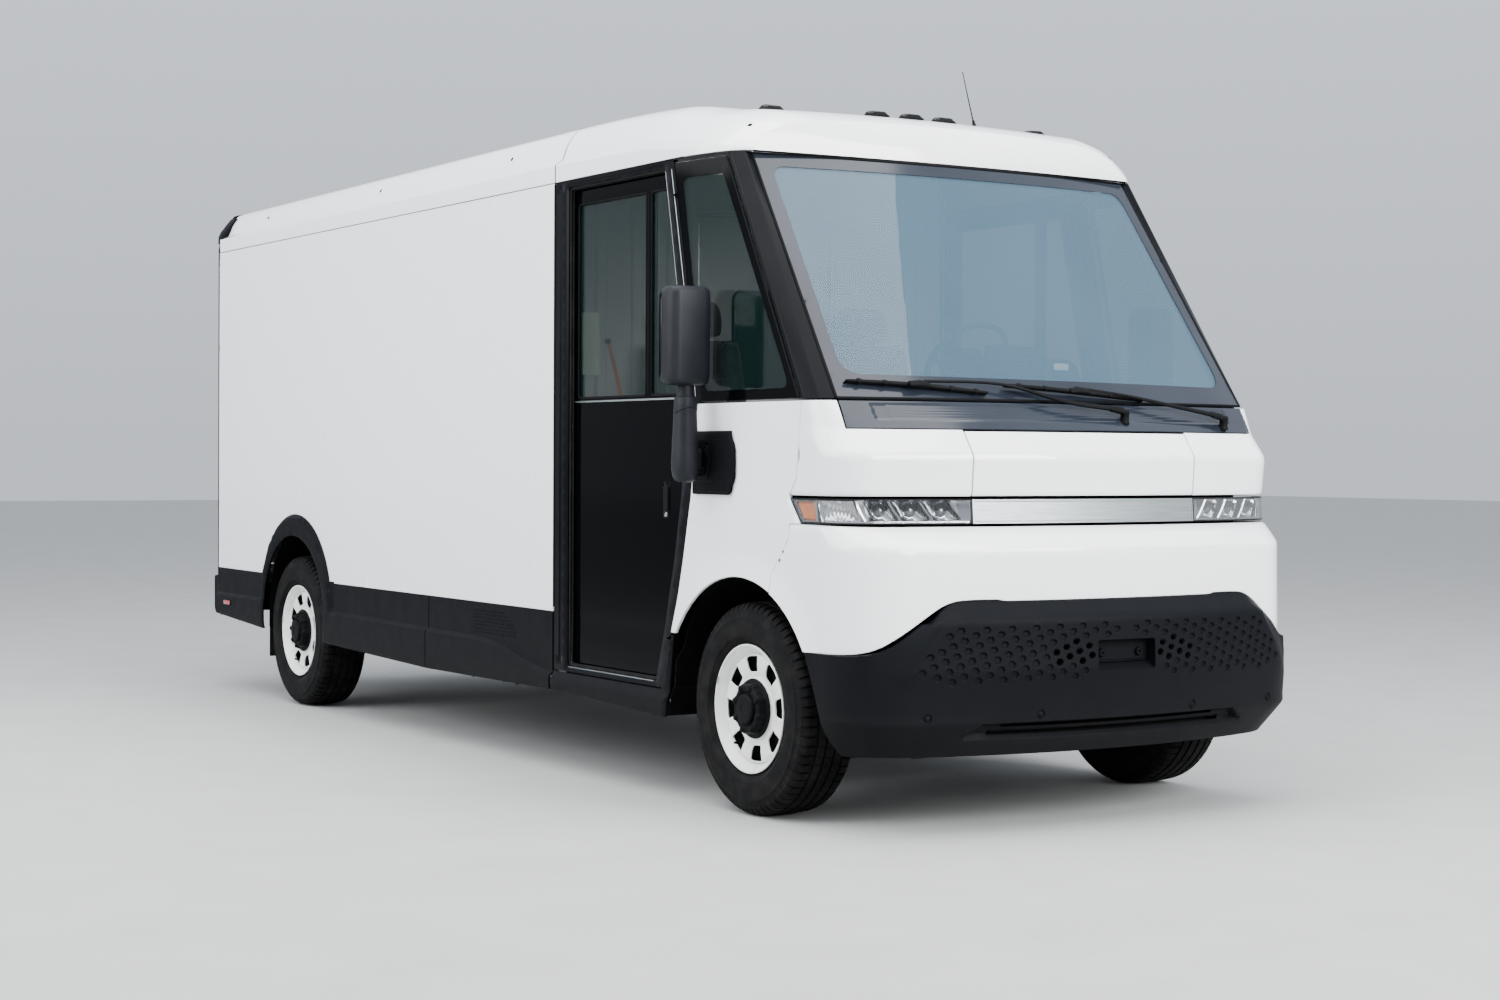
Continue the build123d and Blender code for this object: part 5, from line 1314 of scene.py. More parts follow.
LAMP_Z0, LAMP_Z1 = 1.1285, 1.2095
PARTITIONS = [(0.998, 0.962), (0.877, 0.822), (0.752, 0.692), (0.628, 0.566)]     # t at the top and at the bottom edge
for side, word in ((1, "left"), (-1, "right")):
    shell = Shape()
    # pan: floor, back wall and ceiling in one run, from the inner end to the tip
    rows = []
    for k in range(61):
        row = []
        for z, inset in ((LAMP_Z0 - 0.003, 0.009), (LAMP_Z0 - 0.001, 0.030), (LAMP_Z0 + 0.004, 0.052), (1.169, 0.058), (LAMP_Z1 - 0.004, 0.052), (LAMP_Z1 + 0.001, 0.030), (LAMP_Z1 + 0.003, 0.009)):
            t0, t1 = 0.5425, tip_t(z) - 0.006
            row.append(lamp_pt(side, t0 + (t1 - t0) * k / 60, z, inset))
        rows.append(row)
    shell.grid(rows)
    for k in (0, 60):
        n = len(shell.v)
        shell.v += [tuple(p) for p in rows[k]]
        shell.f.append(tuple(range(n, n + len(rows[k]))))
        shell.m.append(0)
    shell.obj(f"headlamp_pan_{word}", "lamp_chrome", swap=["headlamp_housings"] if side > 0 else (), angle=30, mods=[("SOLIDIFY", dict(thickness=0.002, offset=0.0))])

    # bright partitions leaning outwards at the top, with a lower rail
    trim = Shape()
    for t_top, t_bottom in PARTITIONS:
        rings = []
        for inset, w in ((0.012, 0.0045), (0.010, 0.0030), (0.012, -0.0030), (0.050, -0.0060), (0.050, 0.0060)):
            ring = []
            for q in range(9):
                z = LAMP_Z0 + (LAMP_Z1 - LAMP_Z0) * q / 8
                curve = 0.004 * math.sin(math.pi * q / 8)
                ring.append(lamp_pt(side, t_bottom + (t_top - t_bottom) * q / 8 + w + curve, z, inset))
            rings.append(ring)
        trim.grid(rings, wrap_u=True)
    rail = []
    for z, inset in ((LAMP_Z0 - 0.001, 0.010), (LAMP_Z0 + 0.006, 0.010), (LAMP_Z0 + 0.008, 0.014), (LAMP_Z0 + 0.002, 0.040)):
        rail.append([lamp_pt(side, 0.545 + (1.12 - 0.545) * q / 40, z, inset) for q in range(41)])
    trim.grid(rail)
    for t_cell, width in ((0.905, 0.088), (0.783, 0.086), (0.655, 0.084)):
        # curved reflector cup behind every projector
        rows = []
        for a in range(13):
            row = []
            for b in range(9):
                u, v = (a / 12 - 0.5) * 2, (b / 8 - 0.5) * 2
                z = 1.169 + v * 0.037
                lean = -0.040 * v * -1
                t = t_cell + lean * 0.5 + u * width / 2 * 0.92
                row.append(lamp_pt(side, t, z, 0.022 + 0.026 * (1 - u * u) * (1 - 0.6 * v * v)))
            rows.append(row)
        trim.grid(rows)
    trim.obj(f"headlamp_trim_{word}", "lamp_chrome", angle=30, mods=[("SOLIDIFY", dict(thickness=0.0012, offset=0.0))])

    # fluted bowl of the turn lamp on the corner
    bowl = Shape()
    rows = []
    for a in range(41):
        row = []
        for b in range(13):
            u, v = (a / 40 - 0.5) * 2, (b / 12 - 0.5) * 2
            t = 1.075 + u * 0.078 + 0.012 * v
            dish = (1 - u * u) * (1 - 0.5 * v * v)
            flute = 0.0016 * abs(math.sin(a * math.pi / 4))
            row.append(lamp_pt(side, t, 1.169 + v * 0.038, 0.014 + 0.034 * dish - flute))
        rows.append(row)
    bowl.grid(rows)
    bowl.obj(f"headlamp_bowl_{word}", "lamp_chrome", angle=30, mods=[("SOLIDIFY", dict(thickness=0.0012, offset=0.0))])

    # projectors: dark glass domes under ribbed hoods
    eyes = Shape()
    for t_cell in (0.908, 0.786, 0.658):
        c = lamp_pt(side, t_cell, 1.170, 0.040)
        out = (lamp_pt(side, t_cell, 1.170, 0.0) - c).normalized()
        eyes.lathe([(0.000, 0.0270), (0.010, 0.0265), (0.013, 0.0250), (0.0125, 0.0235)], c, out, 32, m=0)
        eyes.lathe([(0.006, 0.0232), (0.013, 0.0215), (0.019, 0.0170), (0.0225, 0.0100), (0.0235, 0.0005)], c, out, 32, m=1)
        across = Vector((0, 0, 1)).cross(out).normalized()
        for q in range(-4, 5):
            a = c + across * (q * 0.0062) + Vector((0, 0, 0.010 + 0.010 * (1 - abs(q) / 5)))
            eyes.block((-0.0016, -0.013, -0.011), (0.0016, 0.013, 0.011), 0.0008, m=2, n=1,
                       at=Matrix.Translation(a + out * 0.014) @ Matrix(((across.x, out.x, 0), (across.y, out.y, 0), (across.z, out.z, 1))).to_4x4())
    eyes.obj(f"headlamp_projectors_{word}", ["lamp_chrome", "projector_glass", "cab_plastic"], slot="lamp_chrome", angle=35)

    # amber side marker at the tip, with a bright bezel
    amber = Shape()
    outline = []
    for t_off, z in ((0.0, 1.1330), (0.0, 1.2030)):
        outline.append((t_off, z))
    rows = []
    for a in range(13):
        row = []
        for b in range(9):
            v = b / 8
            z = 1.1335 + 0.0690 * v
            t1 = tip_t(z) - 0.020
            t0 = 1.168 + 0.010 * v
            t = t0 + (t1 - t0) * a / 12
            rim = min(a, 12 - a, b, 8 - b)
            wave = 0.0010 * (a % 2)
            row.append(lamp_pt(side, t, z, 0.0105 if rim else 0.020) + Vector((side * wave, 0, 0)))
        rows.append(row)
    amber.grid(rows)
    amber.obj(f"side_marker_{word}", ["amber_lens"], slot="lamp_lens", angle=30)
    bezel = Shape()
    for flat in (0,):
        loop_out, loop_in = [], []
        for a, b in [(q, 0) for q in range(12)] + [(12, q) for q in range(8)] + [(12 - q, 8) for q in range(12)] + [(0, 8 - q) for q in range(8)]:
            v = b / 8
            z = 1.1300 + 0.0760 * v
            t1, t0 = tip_t(z) - 0.012, 1.158 + 0.010 * v
            loop_out.append(lamp_pt(side, t0 + (t1 - t0) * a / 12, z, 0.012))
            z2 = 1.1335 + 0.0690 * v
            t1, t0 = tip_t(z2) - 0.020, 1.168 + 0.010 * v
            loop_in.append(lamp_pt(side, t0 + (t1 - t0) * a / 12, z2, 0.0095))
        deep = [p + Vector((-side * 0.02, 0, 0)) for p in loop_out]
        bezel.grid([deep, loop_out, loop_in], wrap_v=True)
    bezel.obj(f"side_marker_bezel_{word}", "lamp_chrome", angle=30, mods=[("SOLIDIFY", dict(thickness=0.0012, offset=0.0))])

    # dark gasket line round the lens
    seal = Shape()
    loop = [lamp_pt(side, 0.5425 + (tip_t(1.2125) - 0.004 - 0.5425) * q / 50, 1.2125, 0.0035) for q in range(51)]
    loop += [lamp_pt(side, tip_t(z) - 0.003, z, 0.0035) for z in (1.20, 1.18, 1.16, 1.14)]
    loop += [lamp_pt(side, 0.5425 + (tip_t(1.1255) - 0.004 - 0.5425) * (1 - q / 50), 1.1255, 0.0035) for q in range(51)]
    seal.tube(loop + [loop[0]], 0.0028, 8)
    seal.obj(f"headlamp_seal_{word}", "cab_plastic")

# ----------------------------------------------------------------- mirrors
PIVOT_X, PIVOT_Y, MIRROR_X, MIRROR_Y = 1.100, 0.268, 1.175, 0.232


def rect_ring(side, x, y, z, w, d, r, n=6, tilt=0.0):
    return [Vector((side * (x + u), f(y) + v, z + tilt * v)) for u, v in rrect(w, d, r, n)]


for side, word in ((1, "left"), (-1, "right")):
    head = Shape()
    # shell: (z, width, depth, corner radius), with eased top and bottom edges
    rows = [(1.6370, 0.108, 0.052, 0.024), (1.6385, 0.140, 0.080, 0.032), (1.6440, 0.166, 0.104, 0.038), (1.6540, 0.180, 0.117, 0.042), (1.6700, 0.1850, 0.1225, 0.044),
            (1.80, 0.1845, 0.1215, 0.043), (1.92, 0.1838, 0.1205, 0.042), (1.9880, 0.1830, 0.1195, 0.041), (2.0030, 0.1780, 0.1150, 0.040), (2.0120, 0.1660, 0.1040, 0.038),
            (2.0165, 0.1460, 0.0860, 0.034), (2.0175, 0.1100, 0.0540, 0.024)]
    rings = []
    for z, w, d, r in rows:
        x = 1.179 - 0.004 * (z - 1.636) / 0.382
        ring = []
        for u, v in rrect(w, d, r, 8):
            # flat back for the glass
            v = min(v, 0.052)
            ring.append(Vector((side * (x + u), f(MIRROR_Y) + v, z)))
        rings.append(ring)
    head.loft(rings)
    # parting line between the outer cover and the frame
    ring = [Vector((side * (1.177 + u), f(MIRROR_Y) + 0.030 + 0.0 * v, 1.827 + v)) for u, v in rrect(0.186, 0.352, 0.036, 6)]
    head.tube(ring + [ring[0]], 0.0016, 6, m=1)
    # the mirror head takes the lit copy of the dark trim, a painted highlight
    head.obj(f"mirror_head_{word}", ["mirror_shell", "pit_black"], body=f"mirror_{word}", swap=[f"mirror_{word}"], slot="dark_trim", angle=35)

    glassy = Shape()
    y_face = f(MIRROR_Y) + 0.0525
    for z0, z1, crown in ((1.7450, 1.9960, 0.0), (1.6600, 1.7370, 0.004)):
        at = frame_at((side * 1.1775, y_face, (z0 + z1) / 2), (-side, 0, 0), (0, 0, 1))
        outline = rrect(0.156, z1 - z0, 0.022, 6)
        glassy.prism(outline, 0.0035, at, r=0.0015, m=0)
    rim = [Vector((side * (1.1775 + u), y_face + 0.001, 1.828 + v)) for u, v in rrect(0.166, 0.346, 0.026, 6)]
    glassy.tube(rim + [rim[0]], 0.0030, 8, m=1)
    glassy.obj(f"mirror_glass_{word}", ["mirror_silver", "dark_trim"], body=f"mirror_{word}", slot="lamp_chrome", angle=35)

    stem = Shape()
    # collar, then the arm swelling towards its rounded foot
    rows = [(1.6400, 0.062, 0.062, 0.030), (1.6200, 0.066, 0.066, 0.032), (1.5950, 0.068, 0.068, 0.033), (1.5930, 0.076, 0.080, 0.034), (1.5880, 0.080, 0.084, 0.034), (1.54, 0.083, 0.087, 0.034),
            (1.46, 0.088, 0.093, 0.036), (1.40, 0.093, 0.099, 0.038), (1.345, 0.098, 0.104, 0.040), (1.310, 0.097, 0.103, 0.041), (1.287, 0.091, 0.096, 0.041), (1.274, 0.080, 0.084, 0.038),
            (1.267, 0.062, 0.066, 0.031), (1.2655, 0.040, 0.044, 0.020)]
    stem.loft([rect_ring(side, 1.1765, MIRROR_Y, z, w, d, r, 7) for z, w, d, r in rows])
    # oval shoulder line pressed into the arm
    arc = [Vector((side * (1.1765 + 0.0445 * math.cos(a)), f(MIRROR_Y) - 0.0455 * math.sin(a) - 0.001, 1.532 + 0.022 * math.sin(a))) for a in [math.pi * q / 20 for q in range(21)]]
    stem.tube(arc, 0.0022, 8)
    # folding knuckle between the arm and the ears on the body
    at = Matrix.Identity(4)
    stem.lathe([(0.0, 0.0168), (0.002, 0.0178), (0.058, 0.0178), (0.060, 0.0168)], (side * PIVOT_X, f(PIVOT_Y), 1.3262), (0, 0, 1), 28, cap=True)
    ring_a = [Vector((side * 1.102, f(PIVOT_Y) + v, 1.356 + u)) for u, v in rrect(0.056, 0.033, 0.008, 4)]
    ring_b = [Vector((side * 1.140, f(0.246) + v, 1.356 + u)) for u, v in rrect(0.058, 0.050, 0.012, 4)]
    stem.loft([ring_a, ring_b])
    # the arm takes the same lit copy of the dark trim, a painted highlight
    stem.obj(f"mirror_arm_{word}", "mirror_shell", slot="dark_trim", body=f"mirror_{word}", angle=35)

    # base plate: dimpled pad with chamfered front corners, and the two ears
    base = []
    outline = rounded([(0.076, 1.218), (0.352, 1.218), (0.352, 1.463), (0.076, 1.463), (0.042, 1.390), (0.042, 1.294)], [0.006, 0.012, 0.012, 0.006, 0.012, 0.012])
    clear = [(0.20, 1.268), (0.36, 1.268), (0.36, 1.418), (0.20, 1.418)]
    dimples = []
    for i in range(-14, 30):
        for j in range(-2, 26):
            c = (0.050 + 0.0152 * i + 0.0076 * (j % 2), 1.226 + 0.0105 * j)
            if inside(c, outline) and edge_dist(c, outline) > 0.011 and not inside(c, clear):
                dimples.append(c)
    d_rings = [[(c[0] + u, c[1] + v) for u, v in ngon(6, 0.0054, math.pi / 6)] for c in dimples]

    def pad_surf(y, z, side=side):
        d = edge_dist((y, z), outline)
        return Vector((side * (1.077 - 0.004 * (1 - smooth01(d / 0.006))), f(y), z))
    vs, fs = skin(outline, pad_surf, 0.020, holes=d_rings, rim=0.009)
    cv, cf = [], []
    for ring in d_rings:
        cx, cz = sum(p[0] for p in ring) / 6, sum(p[1] for p in ring) / 6
        n = len(cv)
        cv += [pad_surf(*p) for p in ring]
        cv.append(Vector((side * 1.0735, f(cx), cz)))
        cf += [(n + i, n + (i + 1) % 6, n + 6) for i in range(6)]
    me = skin_mesh(f"mirror_pad_{word}", [(vs, fs), (cv, cf)], side_out)
    put(f"mirror_pad_{word}", me, "dark_trim", swap=["mirror_mounts"] if side > 0 else (), angle=20, mods=[("SOLIDIFY", dict(thickness=0.0118, offset=-1.0, use_even_offset=False))])
    ears = Shape()
    for z in (1.290, 1.396):
        ring = []
        for k in range(17):
            a = -math.pi / 2 + math.pi * k / 16
            ring.append((PIVOT_X + 0.018 * math.cos(a), PIVOT_Y + 0.018 * math.sin(a)))
        ring += [(1.074, PIVOT_Y + 0.024), (1.074, PIVOT_Y - 0.024)]
        rings = []
        for dz, s in ((0.0, 0.90), (0.002, 1.0), (0.028, 1.0), (0.030, 0.90)):
            rings.append([Vector((side * (1.086 + (x - 1.086) * s), f(PIVOT_Y + (y - PIVOT_Y) * s), z + dz)) for x, y in ring])
        ears.loft(rings)
    ears.lathe([(0.0, 0.0080), (0.006, 0.0078), (0.0062, 0.004), (0.003, 0.0035)], (side * PIVOT_X, f(PIVOT_Y), 1.4255), (0, 0, 1), 6)
    # raised seat round the hinge
    seat = [Vector((side * 1.0775, f(y), z)) for y, z in rounded([(0.222, 1.276), (0.340, 1.276), (0.340, 1.410), (0.222, 1.410), (0.206, 1.343)], 0.012)]
    seat2 = [Vector((side * 1.0830, p.y + (f(0.28) - p.y) * 0.10, 1.343 + (p.z - 1.343) * 0.90)) for p in seat]
    ears.loft([seat, seat2])
    ears.obj(f"mirror_hinge_{word}", "dark_trim", angle=35)

# -------------------------------------------------------------------- roof
# half profiles (x, z) from the rail to the shoulder, with distance behind the axle and crown height
ROOF = [
    (0.132, 2.700, [(0.940, 2.546), (0.936, 2.560), (0.908, 2.586), (0.856, 2.626), (0.788, 2.658), (0.670, 2.682)]),
    (0.192, 2.724, [(1.003, 2.546), (1.000, 2.565), (0.974, 2.596), (0.914, 2.642), (0.846, 2.680), (0.735, 2.708)]),
    (0.300, 2.752, [(1.036, 2.546), (1.033, 2.570), (1.010, 2.604), (0.960, 2.655), (0.888, 2.702), (0.775, 2.736)]),
    (0.450, 2.768, [(1.057, 2.546), (1.054, 2.576), (1.034, 2.614), (0.982, 2.672), (0.918, 2.722), (0.810, 2.752)]),
    (0.760, 2.806, [(1.058, 2.546), (1.058, 2.604), (1.046, 2.640), (1.000, 2.704), (0.940, 2.764), (0.850, 2.796)]),
    (1.556, 2.826, [(1.058, 2.546), (1.058, 2.624), (1.022, 2.646), (0.998, 2.716), (0.950, 2.783), (0.868, 2.808)]),
    (5.832, 2.812, [(1.058, 2.546), (1.058, 2.622), (1.022, 2.640), (0.998, 2.704), (0.950, 2.768), (0.868, 2.794)]),
]
CORNER_EASE = [0.0, 0.006, 0.012, 0.34, 0.40, 0.42]     # first three in metres, then as shares of the run


def eased(points, crown):
    """half profile with its corners turned, from the rail up to the centre line"""
    pts = [Vector(p) for p in points]
    out = [pts[0]]
    arc_top = Vector((0.0, crown))
    rr = (pts[-1].x ** 2 + (crown - pts[-1].y) ** 2) / (2 * (crown - pts[-1].y))
    nxt = lambda i: pts[i + 1] if i + 1 < len(pts) else Vector((pts[-1].x - 0.08, crown - rr + math.sqrt(rr * rr - (pts[-1].x - 0.08) ** 2)))
    for i in range(1, len(pts)):
        a, b = pts[i - 1] - pts[i], nxt(i) - pts[i]
        e = CORNER_EASE[i]
        da, db = (min(e, 0.45 * a.length), min(e, 0.45 * b.length)) if i < 3 else (e * a.length, e * b.length)
        p0, p1 = pts[i] + a.normalized() * da, pts[i] + b.normalized() * db
        for k in range(6):
            t = k / 5
            out.append(p0 * (1 - t) ** 2 + pts[i] * 2 * t * (1 - t) + p1 * t * t)
    x1 = out[-1].x
    z_at = lambda x: crown - rr + math.sqrt(rr * rr - x * x)
    z1 = out[-1].y
    for k in range(1, 19):
        x = x1 * (1 - k / 18)
        blend = smooth01(k / 4)
        out.append(Vector((x, z1 + (z_at(x) - z_at(x1)) * 1.0 + (z_at(x1) - z1) * blend)))
    return out


PROFILES = [(y, eased(p, c)) for y, c, p in ROOF]


def roof_row(y):
    """eased half profile at any distance, smooth along the van"""
    ys = [q[0] for q in PROFILES]
    i = max(0, min(len(ys) - 2, next((k for k in range(len(ys) - 1) if y <= ys[k + 1]), len(ys) - 2)))
    t = (y - ys[i]) / (ys[i + 1] - ys[i])
    out = []
    for j in range(len(PROFILES[0][1])):
        p1, p2 = PROFILES[i][1][j], PROFILES[i + 1][1][j]
        if i >= 4:
            # the change from the cab to the long straight body
            if i == 4:
                m1 = (p2 - PROFILES[i - 1][1][j]) / (ys[i + 1] - ys[i - 1])
                m2 = Vector((0, 0))
                h = ys[i + 1] - ys[i]
                out.append(p1 * (2 * t ** 3 - 3 * t ** 2 + 1) + m1 * h * (t ** 3 - 2 * t ** 2 + t) + p2 * (3 * t ** 2 - 2 * t ** 3) + m2 * h * (t ** 3 - t ** 2))
            else:
                out.append(p1.lerp(p2, t))
            continue
        p0 = PROFILES[i - 1][1][j] if i else p1
        m1 = (p2 - p0) / (ys[i + 1] - (ys[i - 1] if i else ys[i]))
        p3 = PROFILES[i + 2][1][j]
        m2 = (p3 - p1) / (ys[i + 2] - ys[i])
        h = ys[i + 1] - ys[i]
        q = p1 * (2 * t ** 3 - 3 * t ** 2 + 1) + m1 * h * (t ** 3 - 2 * t ** 2 + t) + p2 * (3 * t ** 2 - 2 * t ** 3) + m2 * h * (t ** 3 - t ** 2)
        q.x = min(q.x, 1.058)
        out.append(q)
    return out


def full_row(y):
    half = roof_row(y)
    right = [Vector((p.x, f(y), p.y)) for p in half]
    return right + [Vector((-p.x, p.y, p.z)) for p in reversed(right[:-1])]


up_out = lambda c: Vector((c.x, 0, c.z - 2.40))
rows = [full_row(y) for y in [1.552 - (1.552 - 0.132) * k / 46 for k in range(47)]]
front = rows[-1]
# forehead down to the top of the glass
for v in (0.06, 0.14, 0.24, 0.36, 0.5, 0.64, 0.78, 0.90, 0.975, 1.0):
    row = []
    for p in front:
        yb = 0.083 + 0.049 * min(1.0, abs(p.x) / 0.934) ** 2
        y = 0.132 + (yb - 0.132) * (1 - (1 - v) ** 2.1)
        row.append(Vector((p.x * (1 - 0.006 * v * abs(p.x)), f(y), p.z + (2.547 - p.z) * v)))
    rows.append(row)
lip = [Vector((p.x, p.y + 0.016, 2.5475)) for p in rows[-1]]
rows.append(lip)
sh = Shape()
sh.grid(rows)
me = skin_mesh("cab_roof_skin", [(sh.v, sh.f)], lambda c: Vector((c.x, (c.y - f(1.0)) * 0.5 if c.y < f(0.3) else 0, c.z - 2.45)))
put("cab_roof_skin", me, "white_paint", swap=["cab_roof"], angle=32, mods=[("SOLIDIFY", dict(thickness=0.008, offset=-1.0, use_even_offset=False)), SOFT(0.0020, 2, 50)])
sh = Shape()
sh.grid([full_row(y) for y in [1.562 + (5.832 - 1.562) * k / 30 for k in range(31)]])
me = skin_mesh("cargo_roof_skin", [(sh.v, sh.f)], up_out)
put("cargo_roof_skin", me, "white_paint", swap=["cargo_roof"], angle=32, mods=[("SOLIDIFY", dict(thickness=0.020, offset=-1.0, use_even_offset=False)), SOFT(0.0025, 2, 50)])

# two plugs on the brow and lifting-eye caps along the rails
plugs = Shape()
for sx in (1, -1):
    for y in (0.205, 2.10, 3.60, 5.20):
        half = roof_row(y)
        k = 17 if y < 1 else 15
        p, q0, q1 = half[k], half[k - 1], half[k + 1]
        n = Vector((-(q1.y - q0.y) * -1, 0, -(q1.x - q0.x))).normalized()
        if n.z < 0:
            n = -n
        n = Vector((abs(n.x) * sx, 0.0 if y > 1 else -0.35, n.z)).normalized()
        plugs.lathe([(-0.004, 0.0095), (0.0012, 0.0095), (0.0024, 0.0080), (0.0026, 0.0050), (0.0014, 0.0042), (0.0014, 0.0004)], (sx * p.x, f(y), p.y), n, 20)
plugs.obj("roof_plugs", "cab_plastic")

# rubber strip in the joint between cab and cargo roofs, and along the rails
strip = Shape()
ring = [p - Vector((0, 0, 0.0)) for p in full_row(1.557)]
strip.tube([Vector((p.x * 0.997, p.y, 2.40 + (p.z - 2.40) * 0.9925)) for p in ring], 0.0042, 8)
for sx in (1, -1):
    strip.tube([Vector((sx * 1.0565, f(y), 2.5450)) for y in (0.46, 1.5, 3.0, 4.5, 5.80)], 0.0030, 8)
strip.tube([Vector((p.x * 0.998, p.y + 0.003, 2.5440)) for p in rows[-2]], 0.0044, 8)
strip.obj("roof_joint_strip", "cab_plastic")

# ----------------------------------------------------- windshield surround
def arc_y(x, yc, xk, yk):
    s = yk - yc
    r = (xk * xk + s * s) / (2 * s)
    return yc + r - math.sqrt(r * r - x * x)


def glass_pt(a, z, lift=0.0):
    """a runs -1 to 1 across the windshield at height z"""
    s = (z - 1.574) / 0.966
    yc, xk, yk = -0.618 + 0.702 * s, 0.984 - 0.054 * s, -0.520 + 0.678 * s
    x = a * xk
    return Vector((x, f(arc_y(x, yc, xk, yk)) - lift * 0.81, z + lift * 0.59))


def frit_surf(u, z):
    return glass_pt(u / 0.96, z, 0.0020)


outer = rounded([(-0.9575, 1.576), (0.9575, 1.576), (0.9565, 2.538), (-0.9565, 2.538)], 0.006)
inner = rounded([(-0.905, 1.668), (0.905, 1.650), (0.897, 2.486), (-0.897, 2.486)], [0.075, 0.075, 0.06, 0.06])
sensor = rounded([(0.690, 2.49), (0.800, 2.49), (0.786, 2.430), (0.712, 2.430)], [0.0, 0.0, 0.012, 0.012])
me = skin_mesh("windshield_frit", [skin(outer, frit_surf, 0.035, holes=[inner], rim=0.02)], lambda c: Vector((0, -1, 0.6)))
put("windshield_frit", me, "glazed_black", slot="black_gloss")
cam_box = Shape()
ring0 = [glass_pt(u / 0.96, z, -0.008) for u, z in sensor]
ring1 = [p + Vector((0, 0.028, -0.010)) for p in ring0]
cam_box.loft([ring0, ring1])
cam_box.obj("windshield_sensor", "cab_plastic", angle=30, mods=[SOFT(0.003, 2, 40)])

# black rubber round the glass
seal = Shape()
loop = [glass_pt(a / 20 - 1, 1.5785, 0.0015) for a in range(41)] + [glass_pt(1.0, 1.5785 + 0.9575 * k / 16, 0.0015) for k in range(1, 17)]
loop += [glass_pt(1 - a / 20, 2.536, 0.0015) for a in range(1, 41)] + [glass_pt(-1.0, 2.536 - 0.9575 * k / 16, 0.0015) for k in range(1, 16)]
seal.tube(loop + [loop[0]], 0.0055, 8)
seal.obj("windshield_seal", "cab_plastic")

# A-pillars: rounded sections between the cowl and the roof, with a raised edge beside the glass
LOW = [(0.9865, -0.5195), (1.030, -0.480), (1.0595, -0.420), (1.0595, -0.3955), (1.022, -0.396), (0.987, -0.470)]
HIGH = [(0.9325, 0.1585), (0.966, 0.1485), (0.9995, 0.186), (1.0035, 0.210), (0.976, 0.2215), (0.9325, 0.205)]
for side, word in ((1, "left"), (-1, "right")):
    pillar = Shape()
    rings = []
    for k in range(13):
        t = k / 12
        ring2 = [(a[0] + (b[0] - a[0]) * t, a[1] + (b[1] - a[1]) * t) for a, b in zip(LOW, HIGH)]
        ring2 = rounded(ring2, [0.004, 0.020, 0.010, 0.003, 0.004, 0.004])
        rings.append([Vector((side * x, f(y), 1.577 + 0.9645 * t)) for x, y in ring2])
    pillar.loft(rings)
    pillar.obj(f"pillar_cover_{word}", "pillar_satin", swap=["windshield_frame"] if side > 0 else (), slot="black_gloss", angle=30)
    # bright thin strip at the front edge of the quarter glass
    bead = Shape()
    a, b = Vector((side * 1.0585, f(-0.384), 1.580)), Vector((side * 1.0050, f(0.2185), 2.528))
    bead.tube([a.lerp(b, k / 8) for k in range(9)], 0.0038, 8)
    bead.obj(f"quarter_strip_{word}", "cab_plastic")

    def quarter_pt(w, z, lift=0.0, side=side):
        t = (z - 1.577) / 0.953
        x0, y0 = 1.057 - 0.053 * t, -0.388 + 0.604 * t
        x1, y1 = 1.057 - 0.001 * t, 0.312 + 0.216 * t
        return Vector((side * (x0 + (x1 - x0) * w + lift), f(y0 + (y1 - y0) * w), z))

    def w_at(y, z):
        t = (z - 1.577) / 0.953
        y0, y1 = -0.388 + 0.604 * t, 0.312 + 0.216 * t
        return (y - y0) / (y1 - y0)
    outer_q = [(-0.382, 1.580), (0.310, 1.580), (0.5245, 2.527), (0.218, 2.527)]
    inner_q = rounded([(-0.318, 1.618), (0.282, 1.618), (0.474, 2.462), (0.224, 2.462)], [0.03, 0.03, 0.03, 0.03])
    me = skin_mesh(f"quarter_frit_{word}", [skin(outer_q, lambda y, z: quarter_pt(w_at(y, z), z, 0.0024), 0.04, holes=[inner_q], rim=0.03)], side_out)
    put(f"quarter_frit_{word}", me, "black_gloss")

# cowl under the glass: panel with louvres and a raised rear lip
def cowl_push(t, z, p):
    d = 0.0
    if 0.16 < abs(p.x) < 0.62 or True:
        d -= 0.0035 * smooth01((z - 1.500) / 0.006) * (1 - smooth01((z - 1.556) / 0.006)) * (1 if (abs(p.x) < 0.86) else 0)
        if abs(p.x) < 0.80 and 1.506 < z < 1.550:
            d += 0.0022 * (0.5 + 0.5 * math.cos((z - 1.506) / 0.011 * 2 * math.pi))
    return d


cowl_half = [(t_from_x(UPPER_NOSE, 0.9815 * k / 30, 1.4705) if k else 0.0, 1.4705) for k in range(31)]
cowl_half += [(t_from_x(UPPER_NOSE, 0.9815 - 0.0035 * k / 6, 1.4705 + 0.099 * k / 6), 1.4705 + 0.099 * k / 6) for k in range(1, 7)]
cowl_half += [(t_from_x(UPPER_NOSE, 0.978 * (1 - k / 30), 1.5695) if k < 30 else 0.0, 1.5695) for k in range(1, 31)]
me = skin_mesh("cowl_cover", [skin(mirror_outline(cowl_half), nose_surf(UPPER_NOSE, cowl_push, 0.006), 0.006, rim=0.012)], nose_out)
put("cowl_cover", me, "glazed_black", slot="black_gloss", swap=["cowl_panel"], angle=40, mods=[SHELL(0.006)])

